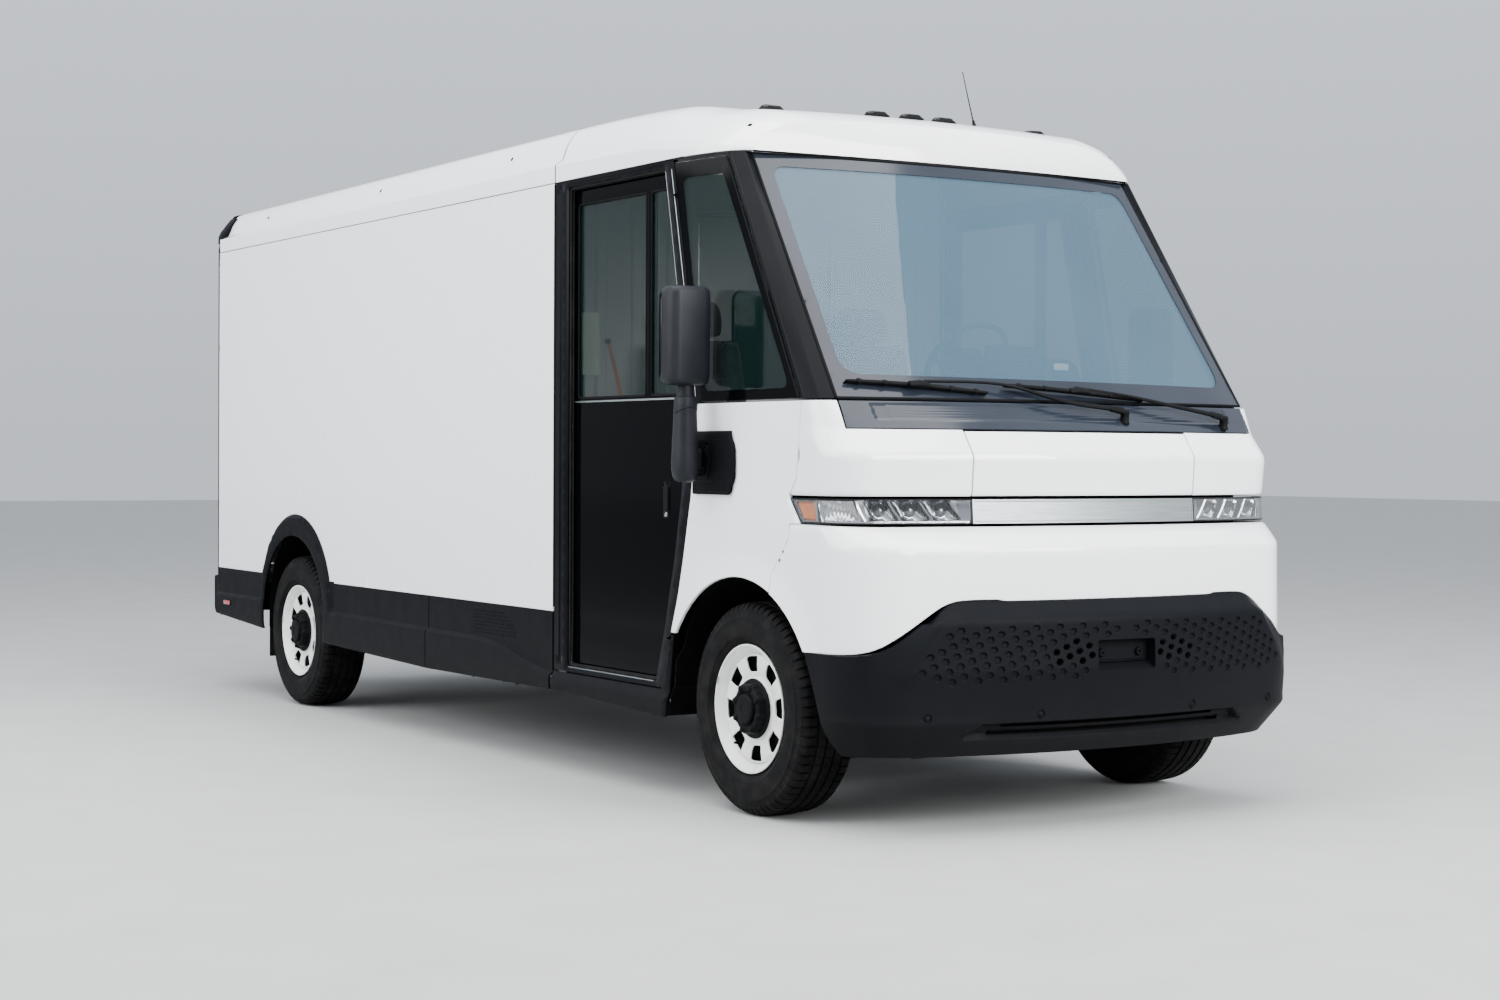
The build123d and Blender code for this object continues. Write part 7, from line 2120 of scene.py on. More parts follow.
# ---------------------------------------------------------------- rear door
slats = Shape()
for k in range(9):
    z0 = 0.7225 + 0.204 * k
    z1 = min(z0 + 0.2025, 2.5575)
    # section of one slat: (y, z) from the outer face round to the inner one
    sec = [(5.8395, z0 + 0.004), (5.8415, z0 + 0.009), (5.8418, z0 + 0.030), (5.8395, z0 + 0.036), (5.8395, z0 + 0.060), (5.8418, z0 + 0.066), (5.8418, z0 + 0.136),
           (5.8395, z0 + 0.142), (5.8395, z0 + 0.166), (5.8418, z0 + 0.172), (5.8415, z1 - 0.006), (5.8380, z1 - 0.0005), (5.8300, z1), (5.8190, z1 - 0.002),
           (5.8170, z1 - 0.010), (5.8175, z0 + 0.030), (5.8165, z0 + 0.008), (5.8200, z0 + 0.001), (5.8330, z0)]
    rings = [[Vector((x, f(y), z)) for y, z in sec] for x in (-0.9140, -0.9100, 0.9100, 0.9140)]
    for i, ring in enumerate(rings):
        if i in (0, 3):
            c = Vector((ring[0].x, f(5.829), (z0 + z1) / 2))
            rings[i] = [c + (p - c) * 0.985 for p in ring]
            for p in rings[i]:
                p.x = ring[0].x
    slats.loft(rings)
slats.obj("rollup_slats", "white_paint", swap=["rear_door"], slot="white_paint", angle=32)
gear = Shape()
for k in range(8):
    z = 0.7225 + 0.204 * (k + 1) - 0.001
    # rubber joint and inner hinges at each slat joint
    gear.tube([(-0.910, f(5.8400), z), (0.910, f(5.8400), z)], 0.0016, 6, m=0)
    for x in (-0.86, -0.30, 0.30, 0.86):
        gear.block((x - 0.028, f(5.8145), z - 0.034), (x + 0.028, f(5.8165), z + 0.034), 0.0008, m=1)
        gear.tube([(x - 0.024, f(5.8125), z), (x + 0.024, f(5.8125), z)], 0.0045, 10, m=1)
    for x in (-0.895, 0.895):
        gear.lathe([(0.0, 0.010), (0.002, 0.0125), (0.012, 0.0125), (0.014, 0.010), (0.014, 0.0005)], (x, f(5.806), z), (1 if x > 0 else -1, 0, 0), 16, m=0)
gear.obj("rollup_hinges", ["rubber_mat", "bar_metal"], slot="bar_metal", angle=35)
latch = Shape()
# pull handle, lock case, grab strap anchor and bottom weather strip
at = Matrix(((-1, 0, 0, 0.0), (0, 0, 1, f(5.8425)), (0, 1, 0, 0.828), (0, 0, 0, 1)))
latch.prism(rrect(0.190, 0.100, 0.016, 5), 0.0050, at, r=0.002, m=0)
at = Matrix(((-1, 0, 0, 0.0), (0, 0, 1, f(5.8470)), (0, 1, 0, 0.828), (0, 0, 0, 1)))
latch.prism(rrect(0.160, 0.072, 0.012, 5), 0.0025, at, r=0.001, m=1)
latch.tube([(-0.062, f(5.848), 0.812), (-0.060, f(5.861), 0.812), (-0.050, f(5.866), 0.812), (0.050, f(5.866), 0.812), (0.060, f(5.861), 0.812), (0.062, f(5.848), 0.812)], 0.0060, 12, m=2)
latch.lathe([(0.0, 0.013), (0.006, 0.0128), (0.008, 0.0110), (0.008, 0.0060), (0.005, 0.0050), (0.005, 0.0004)], (0.0, f(5.8490), 0.848), (0, 1, 0), 24, m=2)
for x in (-0.50, 0.50):
    at = Matrix(((-1, 0, 0, x), (0, 0, 1, f(5.8425)), (0, 1, 0, 0.800), (0, 0, 0, 1)))
    latch.prism(rrect(0.120, 0.034, 0.010, 4), 0.0040, at, r=0.0015, m=0)
    latch.tube([(x - 0.048, f(5.846), 0.800), (x - 0.046, f(5.862), 0.800), (x + 0.046, f(5.862), 0.800), (x + 0.048, f(5.846), 0.800)], 0.0050, 10, m=2)
latch.obj("rollup_latch", ["frame_steel", "pit_black", "bar_metal"], slot="frame_steel", angle=35)

# -------------------------------------------------------------- rear surround
trim = Shape()
ring = [(-0.921, 0.706), (0.921, 0.706), (0.921, 2.562), (-0.921, 2.562)]
for y, r in ((5.8720, 0.0050), (5.8530, 0.0060)):
    pts = [Vector((x, f(y), z)) for x, z in resample(rounded(ring, 0.030), 0.08)]
    trim.tube(pts + [pts[0]], r, 8, m=0)
# rain gutter over the opening
rows = []
for k in range(41):
    x = -0.985 + 1.970 * k / 40
    drop = 0.030 * max(0.0, (abs(x) - 0.90) / 0.085) ** 2
    rows.append([Vector((x, f(y), z - drop)) for y, z in ((5.8710, 2.628), (5.8850, 2.622), (5.8930, 2.610), (5.8930, 2.602), (5.8880, 2.600), (5.8840, 2.608), (5.8710, 2.612))])
trim.loft([r for r in rows], m=1)
trim.obj("rear_opening_trim", ["rubber_mat", "white_paint"], slot="dark_trim", angle=35)
posts = Shape()
for side in (1, -1):
    # guard strips, hinge-side grab handles and bolts on the rear posts
    posts.block((side * 0.9560 - 0.007, f(5.8715), 0.740), (side * 0.9560 + 0.007, f(5.8765), 1.180), 0.003, m=0)
    posts.tube([(side * 0.958, f(5.872), 1.150), (side * 0.958, f(5.906), 1.158), (side * 0.958, f(5.914), 1.190), (side * 0.958, f(5.914), 1.700), (side * 0.958, f(5.906), 1.732), (side * 0.958, f(5.872), 1.740)], 0.0125, 14, m=0)
    for z in (1.150, 1.740):
        posts.lathe([(0.0, 0.026), (0.003, 0.0258), (0.005, 0.0240), (0.006, 0.0150)], (side * 0.958, f(5.8720), z), (0, 1, 0), 20, m=0)
    for z in (0.86, 1.06, 2.10, 2.30, 2.50):
        posts.lathe([(0.0, 0.0060), (0.002, 0.0058), (0.003, 0.0040), (0.003, 0.0004)], (side * 1.020, f(5.8720), z), (0, 1, 0), 12, m=1)
posts.obj("rear_post_fittings", ["frame_steel", "bar_metal"], slot="frame_steel", angle=35)
caps = Shape()
for side in (1, -1):
    # dark corner caps where the roof meets the rear frame
    sec = [(1.0560, 2.600), (1.0545, 2.640), (1.0400, 2.672), (0.9800, 2.748), (0.9600, 2.745), (1.0180, 2.664), (1.0300, 2.600)]
    rings = [[Vector((side * x, f(y), z)) for x, z in sec] for y in (5.7820, 5.7860, 5.8730, 5.8770)]
    for i in (0, 3):
        c = sum(rings[i], Vector()) / len(sec)
        rings[i] = [c + (p - c) * 0.90 for p in rings[i]]
    caps.loft(rings)
caps.obj("rear_corner_caps", "dark_trim", angle=35)

# ----------------------------------------------------------------- tail lamps
lamps = Shape()
for side in (1, -1):
    def at_y(x, y, z):
        return Matrix(((-1, 0, 0, side * x), (0, 0, 1, f(y)), (0, 1, 0, z), (0, 0, 0, 1)))
    lamps.prism(rrect(0.070, 0.520, 0.022, 6), 0.0080, at_y(1.0, 5.8725, 1.480), r=0.003, m=0)
    for zc, h, mat in ((1.640, 0.184, 1), (1.4800, 0.112, 2), (1.3750, 0.080, 3), (1.2810, 0.092, 1)):
        lamps.prism(rrect(0.056, h, 0.014, 5), 0.0060, at_y(1.0, 5.8796, zc), r=0.0028, m=mat)
        for q in range(int(h / 0.016)):
            lamps.block((side * 1.0 - 0.020, f(5.8838), zc - h / 2 + 0.010 + 0.016 * q), (side * 1.0 + 0.020, f(5.8862), zc - h / 2 + 0.0155 + 0.016 * q), 0.001, m=mat)
    lamps.prism(rrect(0.150, 0.044, 0.018, 6), 0.0070, at_y(0.880, 5.8725, 2.690), r=0.002, m=0)
    lamps.prism(rrect(0.134, 0.030, 0.013, 6), 0.0060, at_y(0.880, 5.8790, 2.690), r=0.003, m=1)
lamps.obj("tail_lamp_set", ["cab_plastic", "red_lens", "amber_lens", "lamp_chrome"], swap=["tail_lamps"], slot="red_lens", angle=35)

# ---------------------------------------------------------------- rear bumper
step = Shape()
for j in range(4):
    for k in range(52):
        # staggered grip studs on the top face
        x = -0.995 + 0.0384 * k + (0.0192 if j % 2 else 0.0)
        if abs(x) < 1.0:
            step.lathe([(0.0, 0.0085), (0.0022, 0.0082), (0.0034, 0.0066), (0.0026, 0.0045), (0.0026, 0.0005)], (x, f(5.893 + 0.021 * j), 0.6492), (0, 0, 1), 6, m=0)
for side in (1, -1):
    rings = []
    for x, s in ((0.905, 0.92), (0.912, 1.0), (1.034, 1.0), (1.0395, 0.93)):
        sec = rrect(0.104, 0.216, 0.020, 5)
        rings.append([Vector((side * x, f(5.9245) + u * s, 0.545 + v * s)) for u, v in sec])
    step.loft(rings, m=1)
at = Matrix(((-1, 0, 0, 0.0), (0, 0, 1, f(5.9730)), (0, 1, 0, 0.545), (0, 0, 0, 1)))
step.prism(rrect(0.360, 0.168, 0.012, 4), 0.0030, at, r=0.001, m=1)
at = Matrix(((-1, 0, 0, 0.0), (0, 0, 1, f(5.9757)), (0, 1, 0, 0.540), (0, 0, 0, 1)))
step.prism(rrect(0.305, 0.150, 0.008, 4), 0.0016, at, r=0.0006, m=2)
for x in (-0.11, 0.11):
    step.block((x - 0.030, f(5.9735), 0.622), (x + 0.030, f(5.9765), 0.638), 0.0014, m=1)
for x in (-0.75, -0.28, 0.28, 0.75):
    step.lathe([(0.0, 0.016), (0.0025, 0.0158), (0.0040, 0.0120), (0.0042, 0.0005)], (x, f(5.9726), 0.560), (0, 1, 0), 24, m=1)
step.obj("rear_bumper_fittings", ["rubber_mat", "cab_plastic", "paper_white"], slot="frame_steel", angle=35)

# ------------------------------------------------------------- seats, padded
from mathutils.bvhtree import BVHTree


def stuffed(name, sh, cap, crown):
    """closed form remeshed finely, blown up as cloth and held to a largest move"""
    me = sh.mesh(name)
    obj = bpy.data.objects.new(name, me)
    bpy.context.collection.objects.link(obj)
    rm = obj.modifiers.new("remesh", "REMESH")
    rm.mode = "VOXEL"
    rm.voxel_size = 0.0060
    dg = bpy.context.evaluated_depsgraph_get()
    base = bpy.data.meshes.new_from_object(obj.evaluated_get(dg))
    obj.modifiers.clear()
    obj.data = base
    start = [v.co.copy() for v in base.vertices]
    cloth = obj.modifiers.new("cloth", "CLOTH")
    cloth.settings.use_pressure = True
    cloth.settings.uniform_pressure_force = 4.0
    cloth.settings.effector_weights.gravity = 0.0
    cloth.settings.quality = 4
    cloth.collision_settings.use_collision = False
    cloth.point_cache.frame_start = 1
    cloth.point_cache.frame_end = 20
    scene = bpy.context.scene
    for k in range(1, 21):
        scene.frame_set(k)
    dg = bpy.context.evaluated_depsgraph_get()
    done = bpy.data.meshes.new_from_object(obj.evaluated_get(dg))
    bpy.data.objects.remove(obj)
    scene.frame_set(1)
    for v, p in zip(done.vertices, start):
        d = v.co - p
        if d.length > cap:
            v.co = p + d * (cap / d.length)
    return done


def crown_box(c, h, rise, axis):
    def go(p):
        q = [max(-1, min(1, (p[i] - c[i]) / h[i])) for i in range(3)]
        a, b = [i for i in range(3) if i != axis]
        p = p.copy()
        p[axis] += rise * (1 if q[axis] > 0 else -1) * (1 - q[a] ** 2) * (1 - q[b] ** 2)
        return p
    return go


def sew(me, lines, depth, width, face):
    """sinks sewn channels: each line gives a distance from a point, on faces that look along face"""
    me.update()
    normals = [v.normal.copy() for v in me.vertices]
    for v, n in zip(me.vertices, normals):
        if n.dot(face) < 0.25:
            continue
        for line in lines:
            d = line(v.co)
            if abs(d) < width * 2.5:
                v.co -= n * depth * math.exp(-(d / width) ** 2)
    me.update()


def belt_line(me, centre, u, v, w, level, n=120):
    """closed run round a form at one level along w"""
    tree = BVHTree.FromPolygons([p.co.copy() for p in me.vertices], [tuple(f_.vertices) for f_ in me.polygons])
    out = []
    for k in range(n):
        a = 2 * math.pi * k / n
        d = u * math.cos(a) + v * math.sin(a)
        start = centre + w * level + d * 0.6
        hit = tree.ray_cast(start, -d, 0.6)
        if hit[0] is not None:
            out.append(hit[0] + d * 0.0005)
    return out


SX, SY = 0.450, 1.040
seat_form = Shape()
seat_form.block((-0.226, f(SY) - 0.226, 1.178), (0.226, f(SY) + 0.226, 1.270), 0.030)
cushion = stuffed("cushion_form", seat_form, 0.024, crown_box((0, f(SY), 1.224), (0.226, 0.226, 0.046), 0.022, 2))
sew(cushion, [lambda p: p.x - 0.125, lambda p: p.x + 0.125, lambda p: (p.y - f(SY - 0.155)) * (1 if abs(p.x) < 0.13 else 99)], 0.011, 0.0065, Vector((0, 0, 1)))
tilt = Vector((0, 0.19, 0.9818)).normalized()
front = Vector((0, -tilt.z, tilt.y))
back_at = frame_at((0, f(SY + 0.235), 1.275), (1, 0, 0), tilt)
back_form = Shape()
back_form.block((-0.214, 0.012, -0.040), (0.214, 0.612, 0.036), 0.028, at=back_at)
inv = back_at.inverted()
back_crown = crown_box((0, 0.31, 0), (0.214, 0.30, 0.038), 0.018, 2)
backrest = stuffed("back_form", back_form, 0.020, lambda p: back_at @ back_crown(inv @ p))
sew(backrest, [lambda p: (inv @ p).x - 0.120, lambda p: (inv @ p).x + 0.120] +
    [lambda p, z=z: ((inv @ p).y - z) * (1 if abs((inv @ p).x) < 0.125 else 99) for z in (0.16, 0.30, 0.44)], 0.010, 0.0065, front)
head_at = frame_at((0, f(SY + 0.352), 1.888), (1, 0, 0), (0, 0.155, 0.988))
rest_form = Shape()
rings = []
for z, w, d, r in ((0.008, 0.220, 0.050, 0.022), (0.016, 0.244, 0.072, 0.030), (0.045, 0.256, 0.084, 0.034), (0.085, 0.262, 0.090, 0.036), (0.125, 0.252, 0.082, 0.034), (0.152, 0.226, 0.062, 0.028), (0.160, 0.190, 0.036, 0.016)):
    rings.append([head_at @ Vector((u, z, v)) for u, v in rrect(w, d, r, 6)])
rest_form.loft(rings)
headrest = stuffed("rest_form", rest_form, 0.008, lambda p: p)

for name, x0 in (("driver", SX), ("passenger", -SX)):
    for word, src, fill in (("cushion", cushion, 0.85), ("back", backrest, 0.8), ("headrest", headrest, 0.8)):
        me = src.copy()
        me.materials.clear()
        me.transform(Matrix.Translation((x0, 0, 0)))
        me.update()
        piece = put(f"seat_{word}_{name}", me, "seat_cloth", swap=["seats"] if (word, name) == ("cushion", "driver") else (), angle=60, mods=[("DECIMATE", dict(ratio=0.42))])
    welt = Shape()
    off = Vector((x0, 0, 0))
    for src, c, u, v, w, levels in ((cushion, Vector((0, f(SY), 1.224)), Vector((1, 0, 0)), Vector((0, 1, 0)), Vector((0, 0, 1)), (0.036, -0.036)),
                                   (backrest, back_at @ Vector((0, 0.31, 0)), Vector((1, 0, 0)), tilt, front, (0.026, -0.030)),
                                   (headrest, head_at @ Vector((0, 0.085, 0)), Vector((1, 0, 0)), Vector((0, 0.155, 0.988)), Vector((0, -0.988, 0.155)), (0.024,))):
        for level in levels:
            run = [p + off for p in belt_line(src, c, u, v, w, level)]
            if len(run) > 20:
                welt.tube(run + [run[0]], 0.0036, 8)
    welt.obj(f"seat_piping_{name}", "rubber_mat", slot="seat_cloth", angle=60)
    hard = Shape()
    # moulded back shell, side valances, recliner knob, headrest posts
    at = back_at.copy()
    at.translation = at.translation + Vector((x0, 0, 0))
    rings = []
    for w, s in ((-0.046, 1.0), (-0.060, 1.0), (-0.068, 0.97), (-0.072, 0.90)):
        rings.append([at @ Vector((u * s, 0.315 + v * s, w)) for u, v in rrect(0.430, 0.560, 0.050, 6)])
    hard.loft(rings, m=0)
    for side in (1, -1):
        rings = []
        for x, s in ((0.236, 0.97), (0.240, 1.0), (0.252, 1.0), (0.256, 0.96)):
            prof = rounded([(-0.200, 1.150), (0.245, 1.150), (0.300, 1.240), (0.290, 1.330), (0.235, 1.330), (0.215, 1.235), (-0.200, 1.205)], 0.018)
            rings.append([Vector((x0 + side * x, f(SY + 0.02 + (y - 0.02) * s), 1.225 + (z - 1.225) * s)) for y, z in prof])
        hard.loft(rings, m=0)
    hard.lathe([(0.0, 0.034), (0.010, 0.034), (0.016, 0.030), (0.018, 0.018), (0.018, 0.0005)], (x0 + 0.252, f(SY + 0.245), 1.285), (1, 0, 0), 32, m=0)
    for q in (-0.055, 0.055):
        p = head_at @ Vector((q, 0.02, 0))
        hard.tube([p + Vector((x0, 0, 0)) - Vector((0, 0.155, 0.988)) * 0.070, p + Vector((x0, 0, 0))], 0.0055, 12, m=1)
        hard.lathe([(0.0, 0.011), (0.006, 0.011), (0.008, 0.008), (0.008, 0.0058)], p + Vector((x0, 0, 0)) - Vector((0, 0.155, 0.988)) * 0.030, (0, 0.155, 0.988), 16, m=0)
    # sliding rails, bellows and bolts over the pedestal
    for q in (-0.155, 0.155):
        hard.block((x0 + q - 0.020, f(SY) - 0.215, 1.132), (x0 + q + 0.020, f(SY) + 0.215, 1.150), 0.004, m=1)
        hard.block((x0 + q - 0.026, f(SY) - 0.225, 1.146), (x0 + q + 0.026, f(SY) + 0.225, 1.162), 0.003, m=1)
    hard.tube([(x0 - 0.15, f(SY) - 0.210, 1.140), (x0 - 0.13, f(SY) - 0.244, 1.138), (x0 + 0.13, f(SY) - 0.244, 1.138), (x0 + 0.15, f(SY) - 0.210, 1.140)], 0.0055, 12, m=1)
    for k in range(7):
        z = 0.760 + 0.052 * k
        ring_out = [Vector((x0 + u, f(SY) - 0.035 + v, z)) for u, v in rrect(0.368, 0.388, 0.030, 5)]
        ring_in = [Vector((x0 + u, f(SY) - 0.035 + v, z + 0.026)) for u, v in rrect(0.350, 0.370, 0.028, 5)]
        if k == 0:
            bellows = []
        bellows += [ring_out, ring_in]
    hard.loft(bellows, m=2)
    hard.obj(f"seat_frame_{name}", ["cab_plastic", "frame_steel", "rubber_mat"], swap=["seat_bases"] if name == "driver" else (), slot="cab_plastic", angle=35)
    buckle = Shape()
    s = 1 if x0 < 0 else -1
    bx = x0 + s * 0.268
    buckle.tube([(bx, f(SY + 0.18), 1.160), (bx, f(SY + 0.16), 1.24), (bx, f(SY + 0.13), 1.295)], 0.0060, 10, m=0)
    at_b = Matrix.Translation((bx, f(SY + 0.125), 1.315)) @ Matrix.Rotation(math.radians(24), 4, "X")
    buckle.block((-0.013, -0.020, -0.030), (0.013, 0.020, 0.030), 0.006, m=0, at=at_b)
    buckle.block((-0.009, -0.011, 0.026), (0.009, 0.011, 0.033), 0.002, m=1, at=at_b)
    buckle.obj(f"belt_buckle_{name}", ["cab_plastic", "red_lens"], slot="cab_plastic", angle=35)

# ------------------------------------------------------------ steering wheel
LEAN = math.radians(50)
COL = Vector((0, math.sin(LEAN), math.cos(LEAN)))
hub_at = Matrix(((1, 0, 0, 0.450), (0, COL.z, COL.y, f(0.600)), (0, -COL.y, COL.z, 1.785), (0, 0, 0, 1)))
wheel = Shape()
rows = []
for k in range(96):
    a = 2 * math.pi * k / 96
    grip = 1.0 + 0.10 * math.exp(-(math.sin(a) / 0.30) ** 2)
    row = []
    for j in range(16):
        b = 2 * math.pi * j / 16
        r = 0.1905 + 0.0135 * grip * math.cos(b)
        w = 0.002 + 0.0125 * grip * math.sin(b) - (0.0014 if abs(b - 1.5 * math.pi) < 0.2 and k % 2 else 0)
        row.append(hub_at @ Vector((r * math.cos(a), r * math.sin(a), w)))
    rows.append(row)
wheel.grid(rows, wrap_u=True, wrap_v=True)
for a0, wid in ((0.0, 0.046), (math.pi, 0.046), (math.pi / 2, 0.070)):
    ring_list = []
    for t, s, lift in ((0.052, 1.25, -0.004), (0.085, 1.0, -0.008), (0.130, 0.80, -0.006), (0.165, 0.78, -0.001), (0.184, 0.95, 0.001)):
        ring = []
        for u, v in rrect(wid * s, 0.016, 0.006, 3):
            p = Vector((t * math.cos(a0) - u * math.sin(a0), t * math.sin(a0) + u * math.cos(a0), v + lift))
            ring.append(hub_at @ p)
        ring_list.append(ring)
    wheel.loft(ring_list, m=1)
    if wid < 0.05:
        for q in (-0.010, 0.010):
            at_k = hub_at @ Matrix.Translation((0.115 * math.cos(a0), q, 0.002))
            wheel.prism(rrect(0.026, 0.014, 0.004, 3), 0.0025, at_k, r=0.001, m=2)
rings = []
for w, sx, sy, r in ((-0.034, 0.100, 0.100, 0.045), (-0.010, 0.150, 0.132, 0.050), (0.006, 0.160, 0.140, 0.048), (0.016, 0.150, 0.130, 0.045), (0.0195, 0.120, 0.100, 0.038)):
    rings.append([hub_at @ Vector((u, v + 0.006, w)) for u, v in rrect(sx * 0.86, sy * 0.95, min(r, 0.42 * sy), 8)])
wheel.loft(rings, m=1)
wheel.obj("steering_wheel_rim", ["rubber_mat", "cab_plastic", "dark_trim"], body="steering_wheel", swap=["steering_wheel"], slot="cab_plastic", angle=40)
shroud = Shape()
rings = []
for w, sx, sy in ((-0.560, 0.066, 0.066), (-0.330, 0.072, 0.072), (-0.300, 0.100, 0.092), (-0.180, 0.118, 0.104), (-0.080, 0.112, 0.100), (-0.046, 0.098, 0.090)):
    rings.append([hub_at @ Vector((u, v, w)) for u, v in rrect(sx, sy, 0.030, 6)])
shroud.loft(rings)
for s, tip in ((1, 0.155), (-1, 0.160)):
    root = hub_at @ Vector((s * 0.050, 0, -0.085))
    shroud.tube([root, hub_at @ Vector((s * 0.10, 0, -0.080)), hub_at @ Vector((s * tip, 0, -0.066))], [0.0060, 0.0055, 0.0050], 12)
    shroud.tube([hub_at @ Vector((s * (tip - 0.045), 0, -0.0715)), hub_at @ Vector((s * (tip - 0.042), 0, -0.071)), hub_at @ Vector((s * (tip + 0.004), 0, -0.065)), hub_at @ Vector((s * (tip + 0.008), 0, -0.0645))], [0.0062, 0.0088, 0.0095, 0.0060], 14)
shroud.obj("steering_shroud", "cab_plastic", swap=["steering_column"], angle=40)

# ------------------------------------------------------------------ dashboard
DASH = [(-0.470, 1.180), (-0.150, 1.120), (0.060, 1.180), (0.180, 1.320), (0.176, 1.440), (0.090, 1.535), (-0.250, 1.556), (-0.470, 1.556)]
dash_line = resample(rounded(DASH, [0.02, 0.06, 0.05, 0.05, 0.05, 0.04, 0.05, 0.01]), 0.09)
dash = Shape()
rings = []
for k in range(33):
    x = -0.956 + 1.912 * k / 32
    end = 0.94 if k in (0, 32) else 1.0
    # hood swelling over the instruments, and a dip in the middle
    swell = 0.020 * math.exp(-((x - 0.45) / 0.22) ** 2) - 0.012 * math.exp(-((x + 0.05) / 0.26) ** 2)
    ring = []
    for y, z in dash_line:
        t = smooth01((z - 1.40) / 0.12) * smooth01((y + 0.28) / 0.15)
        yy, zz = y * (end if end < 1 else 1), z
        if end < 1:
            yy, zz = -0.14 + (y + 0.14) * 0.97, 1.34 + (z - 1.34) * 0.95
        ring.append(Vector((x, f(yy), zz + swell * t)))
    rings.append(ring)
dash.loft(rings)
face = lambda x, y, z, ty, tz: frame_at((x, f(y), z), (-1, 0, 0), (0, ty, tz))
for x in (-0.78, -0.18, 0.12, 0.80):
    at = face(x, 0.1345, 1.4880, -0.671, 0.741)
    dash.prism(rrect(0.150, 0.074, 0.016, 5), 0.008, at, r=0.003, m=0)
    at2 = at @ Matrix.Translation((0, 0, 0.0065))
    dash.prism(rrect(0.132, 0.056, 0.010, 5), 0.0022, at2, r=0.0005, m=1)
    for q in range(5):
        dash.block((-0.062, -0.0225 + 0.0112 * q - 0.0018, 0.0080), (0.062, -0.0225 + 0.0112 * q + 0.0018, 0.0115), 0.0008, m=0, at=at)
    dash.block((-0.004, -0.010, 0.0100), (0.004, 0.010, 0.0150), 0.002, m=0, at=at)
at = face(-0.52, 0.1790, 1.378, 0.0, 1.0)
dash.prism(rrect(0.520, 0.150, 0.020, 5), 0.007, at, r=0.003, m=0)
dash.prism(rrect(0.120, 0.024, 0.008, 4), 0.010, at @ Matrix.Translation((0, 0.045, 0.003)), r=0.003, m=1)
at = face(0.00, 0.1790, 1.378, 0.0, 1.0)
dash.prism(rrect(0.300, 0.120, 0.014, 5), 0.006, at, r=0.003, m=2)
for q in range(6):
    dash.prism(rrect(0.036, 0.022, 0.005, 4), 0.0045, at @ Matrix.Translation((-0.110 + 0.044 * q, 0.030, 0.005)), r=0.0015, m=0)
for q in (-0.09, 0.0, 0.09):
    c = at @ Vector((q, -0.022, 0.005))
    dash.lathe([(0.0, 0.024), (0.004, 0.023), (0.018, 0.020), (0.021, 0.018), (0.0215, 0.0005)], c, (0, 1, 0), 28, m=0)
for x0, x1 in ((-0.88, -0.35), (-0.27, 0.05), (0.37, 0.88)):
    # demister slots along the base of the windshield
    dash.block((x0, f(-0.418), 1.5555), (x1, f(-0.368), 1.5580), 0.001, m=1)
    n = int((x1 - x0) / 0.026)
    for q in range(n + 1):
        x = x0 + (x1 - x0) * q / n
        dash.block((x - 0.0016, f(-0.418), 1.5565), (x + 0.0016, f(-0.368), 1.5605), 0.0008, m=0)
    for y in (-0.420, -0.366):
        dash.block((x0 - 0.004, f(y - 0.002), 1.5560), (x1 + 0.004, f(y + 0.002), 1.5615), 0.001, m=0)
dash.obj("dash_moulding", ["cab_plastic", "pit_black", "screen_glass"], swap=["dashboard"], slot="cab_plastic", angle=38)
binnacle = Shape()
# driver's display on its neck
rings = []
for t, w, d in ((0.0, 0.190, 0.085), (0.25, 0.150, 0.060), (0.6, 0.120, 0.040), (1.0, 0.130, 0.030)):
    y, z = 0.105 + 0.088 * t ** 1.2, 1.500 + 0.20 * t
    rings.append([Vector((0.405 + u, f(y) + v, z)) for u, v in rrect(w, d, 0.012, 4)])
binnacle.loft(rings, m=0)
at = face(0.405, 0.1905, 1.748, -0.03, 0.9995)
rings = []
for w, s in ((0.0, 0.955), (0.003, 0.99), (0.008, 1.0), (0.018, 1.0), (0.0215, 0.985)):
    rings.append([at @ Vector((u * s, v * s, w)) for u, v in rrect(0.326, 0.172, 0.020, 6)])
binnacle.loft(rings, m=0)
binnacle.prism(rrect(0.306, 0.150, 0.012, 6), 0.0022, at @ Matrix.Translation((0, 0.002, 0.0208)), r=0.0008, m=1)
# status housing behind the windshield, with its pale window
STATUS = rounded([(0.082, 1.548), (0.082, 1.752), (0.204, 1.752), (0.244, 1.733), (0.326, 1.548)], [0.004, 0.014, 0.012, 0.012, 0.006])
rings = []
for y, s in ((-0.3885, 0.955), (-0.3855, 0.985), (-0.380, 1.0), (-0.312, 1.0), (-0.3045, 0.985), (-0.3015, 0.95)):
    rings.append([Vector((0.19 + (x - 0.19) * s, f(y), 1.60 + (z - 1.60) * (s if z > 1.6 else 1))) for x, z in STATUS])
binnacle.loft(rings, m=0)
at = frame_at((0.1625, f(-0.3880), 1.7220), (1, 0, 0), (0, 0, 1))
binnacle.prism(rrect(0.082, 0.034, 0.006, 4), 0.0022, at, r=0.001, m=3)
binnacle.prism(rrect(0.074, 0.026, 0.004, 4), 0.0030, at, r=0.0008, m=2)
at = frame_at((0.185, f(-0.3880), 1.640), (1, 0, 0), (0, 0, 1))
for q in range(4):
    binnacle.prism(rrect(0.120 + 0.016 * q, 0.006, 0.002, 3), 0.0018, at @ Matrix.Translation((0, 0.030 - 0.018 * q, 0.0)), r=0.0006, m=3)
binnacle.obj("dash_displays", ["cab_plastic", "screen_glass", "liner_grey", "pit_black"], slot="cab_plastic", angle=38)
sheet_top = Shape()
rows = []
